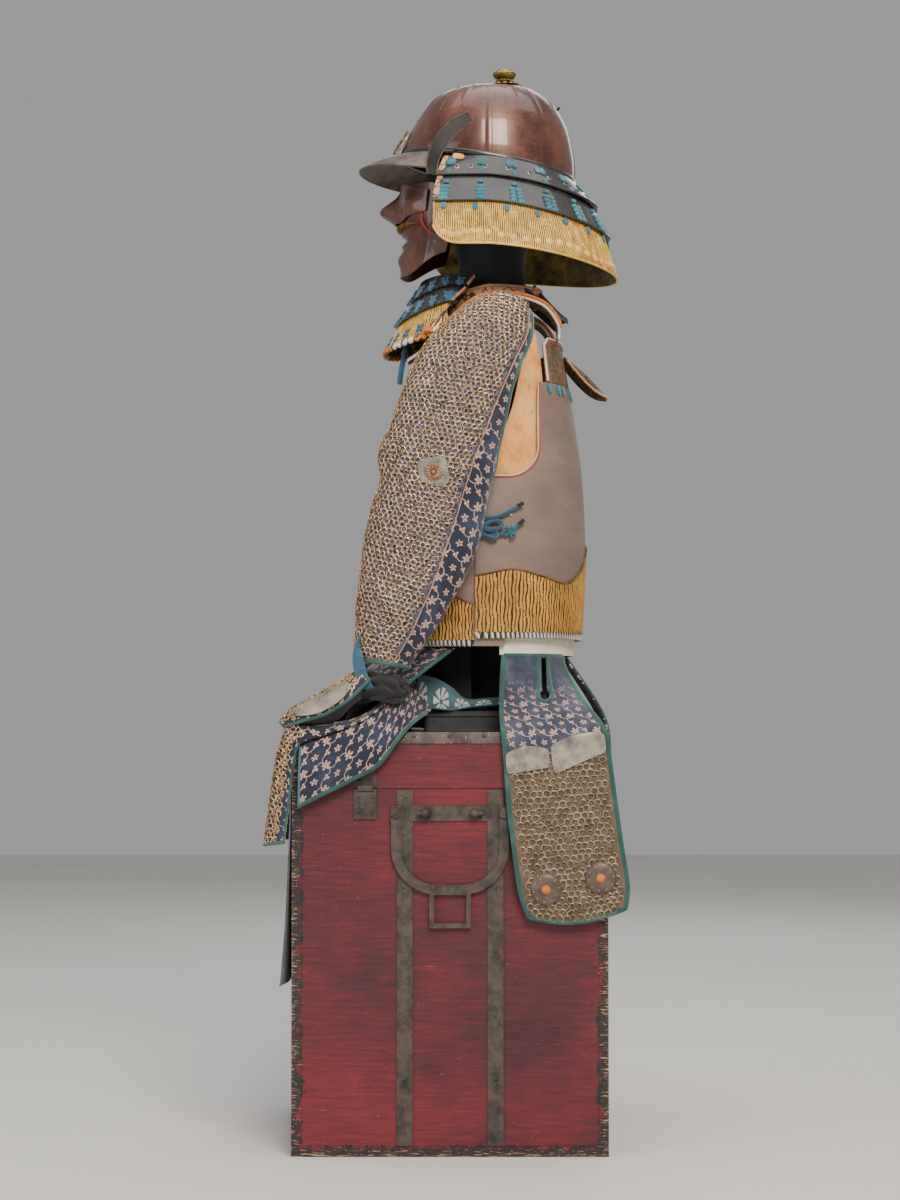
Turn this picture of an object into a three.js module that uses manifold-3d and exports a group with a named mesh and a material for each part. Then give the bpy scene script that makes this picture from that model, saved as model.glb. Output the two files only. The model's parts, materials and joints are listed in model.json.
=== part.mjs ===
// A samurai armour that sits on its stand, on top of its lacquered storage chest.
//
// Millimetres, +Z up. The armour faces -Y and its left side is +X. The origin is the
// middle of the chest's base, on the floor.

import * as THREE from "three";
import { LoftGeometry } from "three/addons/geometries/LoftGeometry.js";
import { mergeVertices } from "three/addons/utils/BufferGeometryUtils.js";
import Module from "manifold-3d";

const wasm = await Module();
wasm.setup();

const { Vector2, Vector3, Shape, MathUtils } = THREE;
const { degToRad, lerp, smoothstep, clamp } = MathUtils;

// ---------------------------------------------------------------- sizes: walls and gaps

const SEAM = 0.3; // clearance between two pieces that meet
const WELD = 1e-3; // points closer than this are one point

const CLOTH = 2.4; // quilted brocade
const MAIL = 1.6; // a layer of small rings
const PLATE = 2.2; // lacquered iron
const LEATHER = 2;
const SHELL = 3; // the two shells of the cuirass
const UNDER = PLATE + 4 * SEAM; // how far a plate that is tucked under another lies from its outer face

// ---------------------------------------------------------------- sizes: chest and stand

const CHEST = { width: 410, depth: 398, height: 530, board: 12, lid: 70, border: 12, recess: 1.5 };
const IRON = { strap: 20, thickness: 2.2, barTop: 438, barBottom: 419, bar: 76, studY: 57, studZ: 429 };
const STUD = { pin: 3.4, head: 6.5, headHeight: 2.6, eye: 3.9 };
const HANDLE = { reach: 74, bar: 12, thickness: 4, top: 438, bendZ: 385, bend: 58, ringHalf: 26, ringDrop: 42 };
const BLOCK = { width: 200, front: -34, back: 135, height: 26, corner: 8 };

// The form under the armour: height, middle of the section and its half sizes.
const FORM_SECTIONS = [
  { z: 556.6, y: 66, width: 60, depth: 52 },
  { z: 584, y: 66, width: 61, depth: 52 },
  { z: 640, y: 68, width: 62, depth: 47 },
  { z: 700, y: 50, width: 118, depth: 90 },
  { z: 790, y: 45, width: 130, depth: 106 },
  { z: 880, y: 44, width: 126, depth: 104 },
  { z: 960, y: 44, width: 112, depth: 92 },
  { z: 1030, y: 48, width: 84, depth: 70 },
  { z: 1080, y: 54, width: 48, depth: 50 },
  { z: 1130, y: 56, width: 44, depth: 46 },
  { z: 1185, y: 56, width: 46, depth: 50 },
  { z: 1240, y: 52, width: 66, depth: 74 },
  { z: 1300, y: 52, width: 74, depth: 86 },
  { z: 1350, y: 54, width: 62, depth: 70 },
  { z: 1382, y: 56, width: 26, depth: 30 },
];

// ---------------------------------------------------------------- sizes: helmet, mask and throat

const BOWL = { middle: 52, ribs: 8, ribHeight: 1.8, ribHalfTurn: 3 };
const BOWL_SECTIONS = [
  { frontZ: 1303, backZ: 1263, front: -66, back: 167, width: 99 },
  { frontZ: 1317, backZ: 1296, front: -62, back: 167, width: 99 },
  { frontZ: 1343, backZ: 1340, front: -50, back: 158, width: 93 },
  { frontZ: 1371, backZ: 1371, front: -31, back: 141, width: 79 },
  { frontZ: 1389, backZ: 1389, front: -7, back: 118, width: 57 },
  { frontZ: 1397, backZ: 1397, front: 24, back: 100, width: 33 },
  { frontZ: 1399, backZ: 1399, front: 62, back: 86, width: 11 },
];
const PEAK = { rootTurn: 52, rootGap: 3.4, half: 97, y: -30, z: 1271, reach: 92, rise: 13, crown: 3 };
const HOLDER = { y: -74, z: 1306.5, thickness: 3, lean: 58 };
const FINIAL = { y: 74, z: 1399.6 };
const FINIAL_PROFILE = [
  { radius: 0, height: 0 },
  { radius: 22, height: 0 },
  { radius: 23, height: 3 },
  { radius: 12, height: 6 },
  { radius: 10, height: 10 },
  { radius: 16, height: 14 },
  { radius: 16, height: 19 },
  { radius: 9, height: 23 },
  { radius: 0, height: 23.5 },
];

// The neck guard's edges from top to bottom; `front` is where each one ends beside the face, and
// `corner` how far that end is rounded up.
const NECK = { middle: 45, straight: 0.3, lap: 0.8 };
const NECK_EDGES = [
  { width: 106, back: 173, front: -8, sideZ: 1284, backZ: 1262, corner: 0 },
  { width: 118, back: 199, front: -18, sideZ: 1258, backZ: 1232, corner: 0 },
  { width: 132, back: 215, front: -24, sideZ: 1221, backZ: 1191, corner: 0 },
  { width: 151, back: 226, front: -22, sideZ: 1161, backZ: 1136, corner: 24 },
];

// The small wing turned back from the front corner of the neck guard.
const TURNBACK = { outward: 0.35 };
const TURNBACK_SECTIONS = [
  { x: 121, y: -24, z: 1256, half: 6.5 },
  { x: 121, y: -22, z: 1277, half: 8 },
  { x: 124, y: -11, z: 1300, half: 9 },
  { x: 128, y: 6, z: 1317, half: 9 },
  { x: 131, y: 26, z: 1330, half: 7 },
];

// The half mask: its plan at each height, then soft bumps, each at `turn` degrees round from the
// front and at height z, `spread` degrees wide and `tall` high.
const MASK_SECTIONS = [
  { z: 1140, front: -67, width: 54, side: -2 },
  { z: 1152, front: -64, width: 54, side: 0 },
  { z: 1182, front: -60, width: 62, side: 6 },
  { z: 1206, front: -64, width: 70, side: 12 },
  { z: 1232, front: -64, width: 74, side: 16 },
  { z: 1264, front: -62, width: 76, side: 18 },
];
const CHIN_AND_CHEEKS = [
  { turn: 0, z: 1164, spread: 22, tall: 13, height: 8 },
  { turn: 36, z: 1228, spread: 16, tall: 16, height: 7 },
  { turn: -36, z: 1228, spread: 16, tall: 16, height: 7 },
];
const NOSE = [
  { turn: 0, z: 1230, spread: 11, tall: 15, height: 25 },
  { turn: 9, z: 1222, spread: 8, tall: 8, height: 6 },
  { turn: -9, z: 1222, spread: 8, tall: 8, height: 6 },
];
const MASK = { reach: 82, bottom: 1140, lipZ: 1213, cheekTop: 1258, mouthZ: 1191, mouthHalf: 24, mouthOpen: 6 };

const THROAT = { middle: -4, straight: 0.28, lap: 0.78 };
const THROAT_EDGES = [
  { z: 1131, sideZ: 1136, front: -40, width: 58, end: 36 },
  { z: 1103, sideZ: 1120, front: -56, width: 72, end: 24 },
  { z: 1073, sideZ: 1096, front: -74, width: 87, end: 2 },
  { z: 1034, sideZ: 1054, front: -90, width: 100, end: -34 },
];

// ---------------------------------------------------------------- sizes: cuirass

const CUIRASS = { frontBottom: 640, backBottom: 650, frontTop: 1012, backTop: 984, square: 2.4, spans: 16 };
const FRONT_REACH = 100; // degrees round from the front where the front shell ends, under the back one
const BACK_FROM = 88.5; // and where the back shell starts
const BACK_LIFT = SHELL + 0.7; // the back shell laps over the front one
const CUIRASS_SECTIONS = [
  { z: 636, front: -92, back: 171, width: 157 },
  { z: 720, front: -97, back: 175, width: 161 },
  { z: 780, front: -98, back: 177.5, width: 162 },
  { z: 840, front: -96, back: 175, width: 159 },
  { z: 906, front: -89, back: 168.5, width: 153 },
  { z: 974, front: -68, back: 158, width: 145 },
  { z: 1050, front: -45, back: 146, width: 131 },
];
const ARMHOLE = { front: -28, back: 116, bottom: 857, corner: 42, top: 1200, half: 250 };

// The rippled hem, and the height of its waved upper edge at degrees round from the front.
const HEM = { thickness: 1, rise: 8, gap: 0.8 };
const FRONT_WAVE = [
  { turn: 0, z: 768 },
  { turn: 14, z: 736 },
  { turn: 34, z: 706 },
  { turn: 60, z: 713 },
  { turn: 76, z: 706 },
  { turn: 94, z: 688 },
];
const BACK_WAVE = [
  { turn: 85, z: 728 },
  { turn: 102, z: 738 },
  { turn: 118, z: 731 },
  { turn: 138, z: 722 },
  { turn: 155, z: 738 },
  { turn: 180, z: 779 },
];

// The soft leather that fills the back of the armhole, between its free edge and its held one.
const LINING_EDGES = [
  { z: 851, free: 40, held: 122 },
  { z: 900, free: 62, held: 122 },
  { z: 955, free: 82, held: 122 },
  { z: 1010, free: 94, held: 119 },
  { z: 1050, free: 105, held: 112 },
];
const LINING_INSET = SHELL + 2;

const BOARD = { from: 132, top: 1044, corner: 8 };
const STRAP_CROWN = 5;
const STRAP_PATH = [
  { x: 92, y: 143, z: 1047, half: 17 },
  { x: 89, y: 141, z: 1068, half: 20 },
  { x: 86, y: 122, z: 1092, half: 22 },
  { x: 85, y: 84, z: 1104, half: 23 },
  { x: 85, y: 42, z: 1102, half: 23 },
  { x: 79, y: 6, z: 1076, half: 18 },
  { x: 76, y: -30, z: 1040, half: 17 },
  { x: 75, y: -56, z: 1021, half: 16 },
];
const LEAF = { topY: 154, topZ: 1032, tipY: 211, tipZ: 975, half: 42, sag: 17, arch: 6 };
const COLLAR = { middle: 50, width: 52, front: -14, back: 118, flare: 5, bottom: 1098, top: 1121, dip: 16, open: 40 };

// ---------------------------------------------------------------- sizes: sleeves and hands

// Sections of the left sleeve from shoulder to cuff: its middle, its half sizes front to back and
// outwards, how the section leans forwards and outwards, and the turns in degrees (0 is its
// front, 90 its outside) from one edge of the cloth to the other, with the mail's back edge.
const SLEEVE_SECTIONS = [
  { x: 161, y: 64, z: 1064, deep: 42, out: 32, pitch: 2, roll: 68, from: -62, to: 196, mail: 150 },
  { x: 176, y: 46, z: 1034, deep: 60, out: 34, pitch: 6, roll: 40, from: -64, to: 196, mail: 150 },
  { x: 189, y: 25, z: 1000, deep: 65, out: 32, pitch: 8, roll: 18, from: -66, to: 196, mail: 147 },
  { x: 196, y: 10, z: 958, deep: 67, out: 30, pitch: 8, roll: 6, from: -68, to: 197, mail: 139 },
  { x: 200, y: -4, z: 912, deep: 70, out: 30, pitch: 8, roll: 2, from: -70, to: 198, mail: 131 },
  { x: 202, y: -16, z: 872, deep: 73, out: 30, pitch: 8, roll: 0, from: -72, to: 200, mail: 126 },
  { x: 202, y: -20, z: 834, deep: 68, out: 28, pitch: 10, roll: 0, from: -74, to: 202, mail: 121 },
  { x: 201, y: -30, z: 794, deep: 71, out: 28, pitch: 14, roll: 0, from: -76, to: 206, mail: 117 },
  { x: 199, y: -43, z: 748, deep: 67, out: 27, pitch: 16, roll: 0, from: -78, to: 208, mail: 116 },
  { x: 196, y: -60, z: 698, deep: 57, out: 26, pitch: 18, roll: 0, from: -80, to: 210, mail: 118 },
  { x: 191, y: -75, z: 652, deep: 45, out: 24, pitch: 16, roll: 0, from: -82, to: 212, mail: 117 },
  { x: 187, y: -86, z: 618, deep: 34, out: 21, pitch: 10, roll: 0, from: -84, to: 214, mail: 112 },
];
const SLEEVE = { mailFrom: -48, mailSpans: 8, rows: 12, hem: 0.25 };

// The hand guard over the back of the hand: its middle line from wrist to fingertips.
const HAND = { spread: 86, lean: 45, plateTurn: 56, plateHalf: 22, plateFrom: 0.18, plateTo: 0.74 };
const HAND_SECTIONS = [
  { x: 187, y: -100, z: 596, half: 29, arch: 20 },
  { x: 186, y: -123, z: 572, half: 36, arch: 29 },
  { x: 182, y: -154, z: 552, half: 38, arch: 31 },
  { x: 179, y: -186, z: 543, half: 33, arch: 23 },
  { x: 177, y: -208, z: 536, half: 20, arch: 12 },
];

// ---------------------------------------------------------------- sizes: thighs and skirt

// The left apron, from the waist over the front edge of the chest. Each row has its inner edge
// (x, y, z), the shoulder where it turns down (sx, sy, sz) and its outer edge (ex, ey, ez).
const THIGH_SECTIONS = [
  { x: 34, y: -50, z: 572, sx: 98, sy: -49, sz: 594, ex: 120, ey: -46, ez: 598 },
  { x: 18, y: -86, z: 556, sx: 152, sy: -78, sz: 577, ex: 178, ey: -73, ez: 574 },
  { x: 12, y: -128, z: 543, sx: 188, sy: -114, sz: 551, ex: 206, ey: -112, ez: 546 },
  { x: 10, y: -168, z: 537, sx: 203, sy: -162, sz: 539, ex: 214, ey: -158, ez: 528 },
  { x: 10, y: -202, z: 536, sx: 206, sy: -200, sz: 537, ex: 216, ey: -188, ez: 516 },
  { x: 10, y: -208.5, z: 520, sx: 204, sy: -214, sz: 512, ex: 216, ey: -196, ez: 490 },
  { x: 10, y: -209, z: 480, sx: 200, sy: -222, sz: 476, ex: 215.5, ey: -200, ez: 458 },
  { x: 10, y: -210, z: 434, sx: 200, sy: -228, sz: 432, ex: 215, ey: -204, ez: 426 },
  { x: 10, y: -211, z: 388, sx: 200, sy: -234, sz: 388, ex: 215, ey: -208, ez: 392 },
];
const THIGH = { shoulderAt: 0.86, rows: 16, bars: [0, 0.22, 0.44, 0.66, 0.8, 0.86, 0.93, 1] };

// The hem of the floral wing that hangs from the apron's outer edge, at a share of its length.
const WING = { drop: 4.6, belly: 7 };
const WING_HEM = [
  { at: 0, x: 158, y: -24, z: 558 },
  { at: 0.03, x: 185, y: -38, z: 549 },
  { at: 0.07, x: 206, y: -50, z: 539 },
  { at: 0.11, x: 217, y: -64, z: 523 },
  { at: 0.18, x: 219, y: -90, z: 489 },
  { at: 0.28, x: 219, y: -126, z: 469 },
  { at: 0.41, x: 219.5, y: -170, z: 447 },
  { at: 0.5, x: 219, y: -190, z: 437 },
];

// The long layer that falls in front of the chest, from under the apron.
const FALL_X = 14;
const FALL_SECTIONS = [
  { z: 500, y: -201.4, edge: 206, edgeY: -201.4 },
  { z: 430, y: -202, edge: 209, edgeY: -202 },
  { z: 360, y: -203, edge: 210, edgeY: -204 },
  { z: 290, y: -204.5, edge: 209, edgeY: -207 },
  { z: 212, y: -207, edge: 206, edgeY: -213 },
];

const TIE_PATH = [
  { x: 113, y: -42, top: 603, bottom: 562 },
  { x: 109, y: -20, top: 600, bottom: 560 },
  { x: 102, y: 2, top: 588, bottom: 558 },
  { x: 92, y: 22, top: 572, bottom: 561 },
  { x: 84, y: 54, top: 574, bottom: 564 },
  { x: 68, y: 98, top: 577, bottom: 566 },
  { x: 34, y: 124, top: 578, bottom: 567 },
  { x: 0, y: 128, top: 578, bottom: 567 },
];

const WAIST = { inset: SHELL + 2.5, top: 654, bottom: 629, thickness: 3, from: 98 };

// The left panel of the skirt: at the waist it follows the cuirass (`flat` 0), then it hangs flat
// (1) beside the chest between its front and back edges.
const SIDE_PANEL = [
  { flat: 0, x: 160, frontY: 62, backY: 150, frontZ: 628, backZ: 628 },
  { flat: 0.35, x: 178, frontY: 61, backY: 172, frontZ: 598, backZ: 600 },
  { flat: 0.75, x: 198, frontY: 62, backY: 184, frontZ: 562, backZ: 566 },
  { flat: 1, x: 213, frontY: 64, backY: 194, frontZ: 532, backZ: 538 },
  { flat: 1, x: 217.5, frontY: 67, backY: 201, frontZ: 500, backZ: 508 },
  { flat: 1, x: 218.5, frontY: 71, backY: 209, frontZ: 441, backZ: 450 },
  { flat: 1, x: 219, frontY: 78, backY: 217, frontZ: 381, backZ: 392 },
  { flat: 1, x: 219, frontY: 86, backY: 225, frontZ: 328, backZ: 340 },
  { flat: 1, x: 218, frontY: 98, backY: 222, frontZ: 298, backZ: 310 },
];
const PANEL = { bars: [0, 0.05, 0.2, 0.4, 0.6, 0.8, 0.95, 1], rows: 14, mailFrom: 7, hem: 0.3, belly: 12 };
const SLIT = { y: 121, half: 3, top: 660, bottom: 578, eye: 6 };

// The left front panel hangs from the waist, between two turns round the cuirass, and lies out on
// the apron: the front corner of its hem, then how far the hem's rear corner is out, back and up.
const FRONT_PANEL = { from: 9, to: 78, x: 22, y: -166, z: 557, reachX: 154, reachY: 96, rise: 22 };
const BACK_PANEL = [
  { y: 152, z: 628, half: 60 },
  { y: 172, z: 600, half: 66 },
  { y: 196, z: 562, half: 72 },
  { y: 206.5, z: 534, half: 76 },
  { y: 209, z: 500, half: 79 },
  { y: 210, z: 440, half: 82 },
  { y: 210, z: 380, half: 85 },
  { y: 210, z: 306, half: 88 },
];

// ---------------------------------------------------------------- sizes: cords

// The cord that ties the left sleeve to the cuirass: from one free end, through the eyelet in the
// sleeve's back edge, to the other.
const SIDE_TIE = { radius: 2.4, steps: 18 };
const SIDE_TIE_ROUTE = [
  [164.5, 92, 822],
  [167, 80, 815],
  [169, 68, 808],
  [170.5, 56, 804],
  [172, 44, 804],
  [173, 34, 800],
  [173.5, 30, 792],
  [173, 34, 784],
  [172, 44, 780],
  [170.5, 56, 781],
  [169, 67, 783],
  [167.5, 77, 787],
  [166, 85, 793],
  [164.5, 93, 800],
];
// The mask's cord, where it hangs out below the throat guard.
const CHIN_CORD = { radius: 4, steps: 8 };
const CHIN_CORD_ROUTE = [
  [44, -57, 1046],
  [46, -60, 1030],
  [46, -64, 1014],
  [45, -66, 1001],
  [42, -67, 991],
];

// ---------------------------------------------------------------- materials

const finish = (color, roughness, metalness = 0) =>
  new THREE.MeshStandardMaterial({ color, roughness, metalness });

const redLacquer = finish("#6e1a24", 0.45);
const strapIron = finish("#4a463f", 0.75, 0.6);
const blackWood = finish("#2e3034", 0.7);
const blackCotton = finish("#1c1a1e", 0.95);
const russetIron = finish("#5a3226", 0.5, 0.5);
const blackLacquer = finish("#2d2c30", 0.35);
const goldLacquer = finish("#b98a3c", 0.5, 0.2);
const brass = finish("#a98a45", 0.35, 0.9);
const bristle = finish("#7a6238", 0.95);
const brownLacquer = finish("#7a6761", 0.55);
const buffLeather = finish("#d9a765", 0.8);
const patternLeather = finish("#6a6247", 0.75);
const brocade = finish("#2f3350", 0.9);
const ringMail = finish("#9c8a68", 0.6, 0.6);
const greyIron = finish("#8c8877", 0.5, 0.7);
const printedCotton = finish("#5c7c85", 0.95);
const creamHemp = finish("#d8cfae", 0.95);
const blueSilk = finish("#2f6f95", 0.85);

// ---------------------------------------------------------------- tables and surfaces

/** The whole numbers from 0 to `count`, both ends included. */
const steps = (count) => Array.from({ length: count + 1 }, (_, i) => i);

/** The row that lies `at` of the way (0 to 1) down a table, each column on a smooth curve. */
function rowAt(table, at) {
  const last = table.length - 1;
  const i = clamp(Math.floor(at * last), 0, last - 1);
  const f = at * last - i;
  const near = (k) => table[clamp(k, 0, last)];
  const row = {};
  for (const column of Object.keys(table[0])) {
    const [a, b, c, d] = [i - 1, i, i + 1, i + 2].map((k) => near(k)[column]);
    const [leave, arrive] = [(c - a) / 2, (d - b) / 2];
    const bend = f * f * (3 * (c - b) - 2 * leave - arrive);
    row[column] = b + f * leave + bend + f * f * f * (2 * (b - c) + leave + arrive);
  }
  return row;
}

/** The row of a table where its rising column `key` has this value. */
function rowWhere(table, key, value) {
  const last = table.length - 1;
  let i = 0;
  while (i < last - 1 && table[i + 1][key] < value) i++;
  return rowAt(table, (i + (value - table[i][key]) / (table[i + 1][key] - table[i][key])) / last);
}

/** Rows of points of the surface point(u, v): u runs along a row, v from row to row. */
const grid = (across, along, point) =>
  steps(along).map((j) => steps(across).map((i) => point(i / across, j / along)));

/** The rows moved `distance` along their normals, away from the point `behind`. */
function lifted(rows, distance, behind, around = false) {
  const beside = (row, i) => {
    if (around) return row[(i + row.length) % row.length];
    return row[clamp(i, 0, row.length - 1)];
  };
  const normals = rows.map((row, j) => {
    const [under, over] = [rows[Math.max(j - 1, 0)], rows[Math.min(j + 1, rows.length - 1)]];
    return row.map((_, i) => {
      const across = beside(row, i + 1).clone().sub(beside(row, i - 1));
      return across.cross(over[i].clone().sub(under[i])).normalize();
    });
  });
  let facing = 0;
  rows.forEach((row, j) => row.forEach((p, i) => (facing += normals[j][i].dot(p.clone().sub(behind)))));
  const reach = distance * Math.sign(facing);
  return rows.map((row, j) => row.map((p, i) => p.clone().addScaledVector(normals[j][i], reach)));
}

/** A geometry as one closed body: points welded, collapsed faces dropped, faces turned outwards. */
function closed(geometry) {
  const bare = new THREE.BufferGeometry().setAttribute("position", geometry.getAttribute("position"));
  if (geometry.index) bare.setIndex(geometry.index);
  const welded = mergeVertices(bare, WELD);
  const position = welded.getAttribute("position");
  const corner = (i) => new Vector3().fromBufferAttribute(position, i);
  const faces = [];
  let volume = 0;
  for (let i = 0; i < welded.index.count; i += 3) {
    const [a, b, c] = [0, 1, 2].map((k) => welded.index.getX(i + k));
    if (a === b || b === c || c === a) continue;
    faces.push([a, b, c]);
    volume += corner(a).dot(corner(b).cross(corner(c)));
  }
  welded.setIndex(faces.flatMap(([a, b, c]) => (volume < 0 ? [a, c, b] : [a, b, c])));
  return welded;
}

/** The wall between two faces that have the same rows. */
function wall(outer, inner) {
  const ring = (front, back) => [...front, ...back.slice().reverse()];
  const last = outer.length - 1;
  return closed(
    new LoftGeometry([
      ring(inner[0], inner[0]),
      ...outer.map((row, i) => ring(row, inner[i])),
      ring(inner[last], inner[last]),
    ]),
  );
}

/** A sheet of this thickness: `rows` is its outer face, and `behind` a point on its inner side. */
const sheet = (rows, thickness, behind) => wall(rows, lifted(rows, -thickness, behind));

/**
 * A layer laid on the face `rows`, over the part of it that `pick` leaves. Its inner face comes
 * first, so that its quads are split along the same diagonals as those of the face under it.
 */
function layer(rows, thickness, behind, pick, gap = SEAM) {
  const inner = lifted(rows, gap, behind);
  const outer = lifted(rows, gap + thickness, behind);
  return wall(pick(inner), pick(outer));
}

/** A hollow shell open at both ends, from closed rings that are its outer face. */
function shell(rings, thickness, behind) {
  const inner = lifted(rings, -thickness, behind, true);
  return closed(new LoftGeometry([...rings, ...inner.reverse(), rings[0]]));
}

/** A full body through closed flat rings, with flat ends. */
const body = (rings) => closed(new LoftGeometry(rings, { capStart: true, capEnd: true }));

/** A body turned from a profile that starts and ends on its axis, Z. */
function turned(profile, sides) {
  const outline = profile.map(({ radius, height }) => new Vector2(radius, height));
  return closed(new THREE.LatheGeometry(outline, sides)).rotateX(Math.PI / 2);
}

/** A round cord along a smooth curve through these points. */
function cord(route, radius, count, sides = 8) {
  const section = new Shape(
    steps(sides - 1).map((i) => {
      const turn = (2 * Math.PI * i) / sides;
      return new Vector2(radius * Math.cos(turn), radius * Math.sin(turn));
    }),
  );
  const extrudePath = new THREE.CatmullRomCurve3(route.map((p) => new Vector3(...p)));
  return closed(new THREE.ExtrudeGeometry(section, { extrudePath, steps: count, bevelEnabled: false }));
}

/** A box between two corners. */
function box([x0, y0, z0], [x1, y1, z1]) {
  const g = new THREE.BoxGeometry(x1 - x0, y1 - y0, z1 - z0);
  return g.translate((x0 + x1) / 2, (y0 + y1) / 2, (z0 + z1) / 2);
}

/** An outline drawn in Y and Z, thickened along X from `x`. */
function plateX(outline, x, thickness, curveSegments = 5) {
  const g = new THREE.ExtrudeGeometry(outline, { depth: thickness, bevelEnabled: false, curveSegments });
  return g.rotateY(Math.PI / 2).rotateX(Math.PI / 2).translate(x, 0, 0);
}

/** A round bar along X. */
const barX = (radius, x0, x1, y, z, sides = 10) =>
  new THREE.CylinderGeometry(radius, radius, x1 - x0, sides)
    .rotateZ(Math.PI / 2)
    .translate((x0 + x1) / 2, y, z);

// ---------------------------------------------------------------- booleans

function solidOf(geometry) {
  const g = closed(geometry);
  const vertProperties = new Float32Array(g.getAttribute("position").array);
  return new wasm.Manifold(
    new wasm.Mesh({ numProp: 3, vertProperties, triVerts: new Uint32Array(g.index.array) }),
  );
}

function geometryOf(solid) {
  const { vertProperties, triVerts } = solid.getMesh();
  return new THREE.BufferGeometry()
    .setAttribute("position", new THREE.BufferAttribute(new Float32Array(vertProperties), 3))
    .setIndex(new THREE.BufferAttribute(new Uint32Array(triVerts), 1));
}

const cut = (geometry, ...tools) =>
  geometryOf(tools.reduce((solid, tool) => solid.subtract(solidOf(tool)), solidOf(geometry)));

const joined = (geometry, ...others) =>
  geometryOf(others.reduce((solid, other) => solid.add(solidOf(other)), solidOf(geometry)));

// ---------------------------------------------------------------- the group

const armour = new THREE.Group();
const leftSide = new THREE.Group();
const rightSide = new THREE.Group();
rightSide.scale.x = -1; // what is on the right is the left's mirror image
armour.add(leftSide, rightSide);

function add(name, geometry, material, parent = armour) {
  const mesh = new THREE.Mesh(geometry, material);
  mesh.name = name;
  parent.add(mesh);
}

function addPair(name, geometry, material) {
  add(`${name}_left`, geometry, material, leftSide);
  add(`${name}_right`, geometry, material, rightSide);
}

// ---------------------------------------------------------------- storage chest

function buildChest() {
  const { width, depth, height, board, lid, border, recess } = CHEST;
  const [x, y] = [width / 2, depth / 2];
  const seam = height - lid;
  const sidePanels = [-1, 1].map((s) =>
    box([s * x - recess, border - y, border], [s * x + recess, y - border, seam + 1]),
  );
  const endPanels = [-1, 1].map((s) =>
    box([border - x, s * y - recess, border], [x - border, s * y + recess, seam + 1]),
  );
  const hollow = box([board - x, board - y, board], [x - board, y - board, seam + 1]);
  const outside = box([-x, -y, 0], [x, y, seam - SEAM]);
  add("chest_body", cut(outside, hollow, ...sidePanels, ...endPanels), redLacquer);

  const cap = box([-x, -y, seam], [x, y, height]);
  const capHollow = box([board - x, board - y, seam - 1], [x - board, y - board, height - board]);
  add("chest_lid", cut(cap, capHollow), redLacquer);
}

const ironX = CHEST.width / 2 - CHEST.recess + SEAM;
const handleX = ironX + IRON.thickness + SEAM;
const studY = HANDLE.reach - HANDLE.bar / 2;

/** Two straps down the chest's side, a bar across them and the two studs that hold the handle. */
function ironsGeometry() {
  const outer = ironX + IRON.thickness;
  const foot = CHEST.border + 1;
  const head = CHEST.height - CHEST.lid - 2;
  const straps = [-1, 1].map((s) => {
    const y = s * IRON.studY;
    return box([ironX, y - IRON.strap / 2, foot], [outer, y + IRON.strap / 2, head]);
  });
  const across = box([ironX, -IRON.bar, IRON.barBottom], [outer, IRON.bar, IRON.barTop]);
  const face = handleX + HANDLE.thickness + SEAM;
  const studs = [-studY, studY].flatMap((y) => [
    barX(STUD.pin, ironX + 1, face + 1, y, IRON.studZ),
    barX(STUD.head, face, face + STUD.headHeight, y, IRON.studZ),
  ]);
  return joined(across, ...straps, ...studs);
}

/** The bail handle: a flat bar bent to a U, with a square ring under it. */
function handleGeometry() {
  const { reach, bar, thickness, top, bendZ, bend, ringHalf, ringDrop } = HANDLE;
  const centre = reach - bend;
  const inner = bend - bar;
  const bottom = bendZ - bend;
  const quarter = Math.PI / 2;
  const bail = new Shape()
    .moveTo(-reach, top)
    .lineTo(-reach, bendZ)
    .absarc(-centre, bendZ, bend, 2 * quarter, 3 * quarter)
    .lineTo(centre, bottom)
    .absarc(centre, bendZ, bend, -quarter, 0)
    .lineTo(reach, top)
    .lineTo(reach - bar, top)
    .lineTo(reach - bar, bendZ)
    .absarc(centre, bendZ, inner, 0, -quarter, true)
    .lineTo(-centre, bottom + bar)
    .absarc(-centre, bendZ, inner, 3 * quarter, 2 * quarter, true)
    .lineTo(bar - reach, top);
  const wire = bar / 2;
  const [back, front] = [handleX, handleX + thickness];
  const ring = box([back, -ringHalf, bottom - ringDrop], [front, ringHalf, bottom + wire]);
  const gap = box(
    [back - 1, wire - ringHalf, bottom - ringDrop + wire],
    [front + 1, ringHalf - wire, bottom - SEAM],
  );
  const eyes = [-studY, studY].map((y) => barX(STUD.eye, back - 1, front + 1, y, IRON.studZ));
  return cut(joined(plateX(bail, handleX, thickness), cut(ring, gap)), ...eyes);
}

// ---------------------------------------------------------------- stand

function buildStand() {
  const { width, front, back, height, corner } = BLOCK;
  const x = width / 2;
  const quarter = Math.PI / 2;
  const outline = new Shape()
    .moveTo(corner - x, front)
    .absarc(x - corner, front + corner, corner, -quarter, 0)
    .absarc(x - corner, back - corner, corner, 0, quarter)
    .absarc(corner - x, back - corner, corner, quarter, 2 * quarter)
    .absarc(corner - x, front + corner, corner, 2 * quarter, 3 * quarter);
  const block = new THREE.ExtrudeGeometry(outline, { depth: height, bevelEnabled: false, curveSegments: 3 });
  add("stand_block", block.translate(0, 0, CHEST.height + SEAM), blackWood);

  const sides = 18;
  const rings = FORM_SECTIONS.map(({ z, y, width: half, depth }) =>
    steps(sides - 1).map((i) => {
      const turn = (2 * Math.PI * i) / sides;
      return new Vector3(half * Math.sin(turn), y - depth * Math.cos(turn), z);
    }),
  );
  add("stand_form", body(rings), blackCotton);
}

// ---------------------------------------------------------------- helmet

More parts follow.
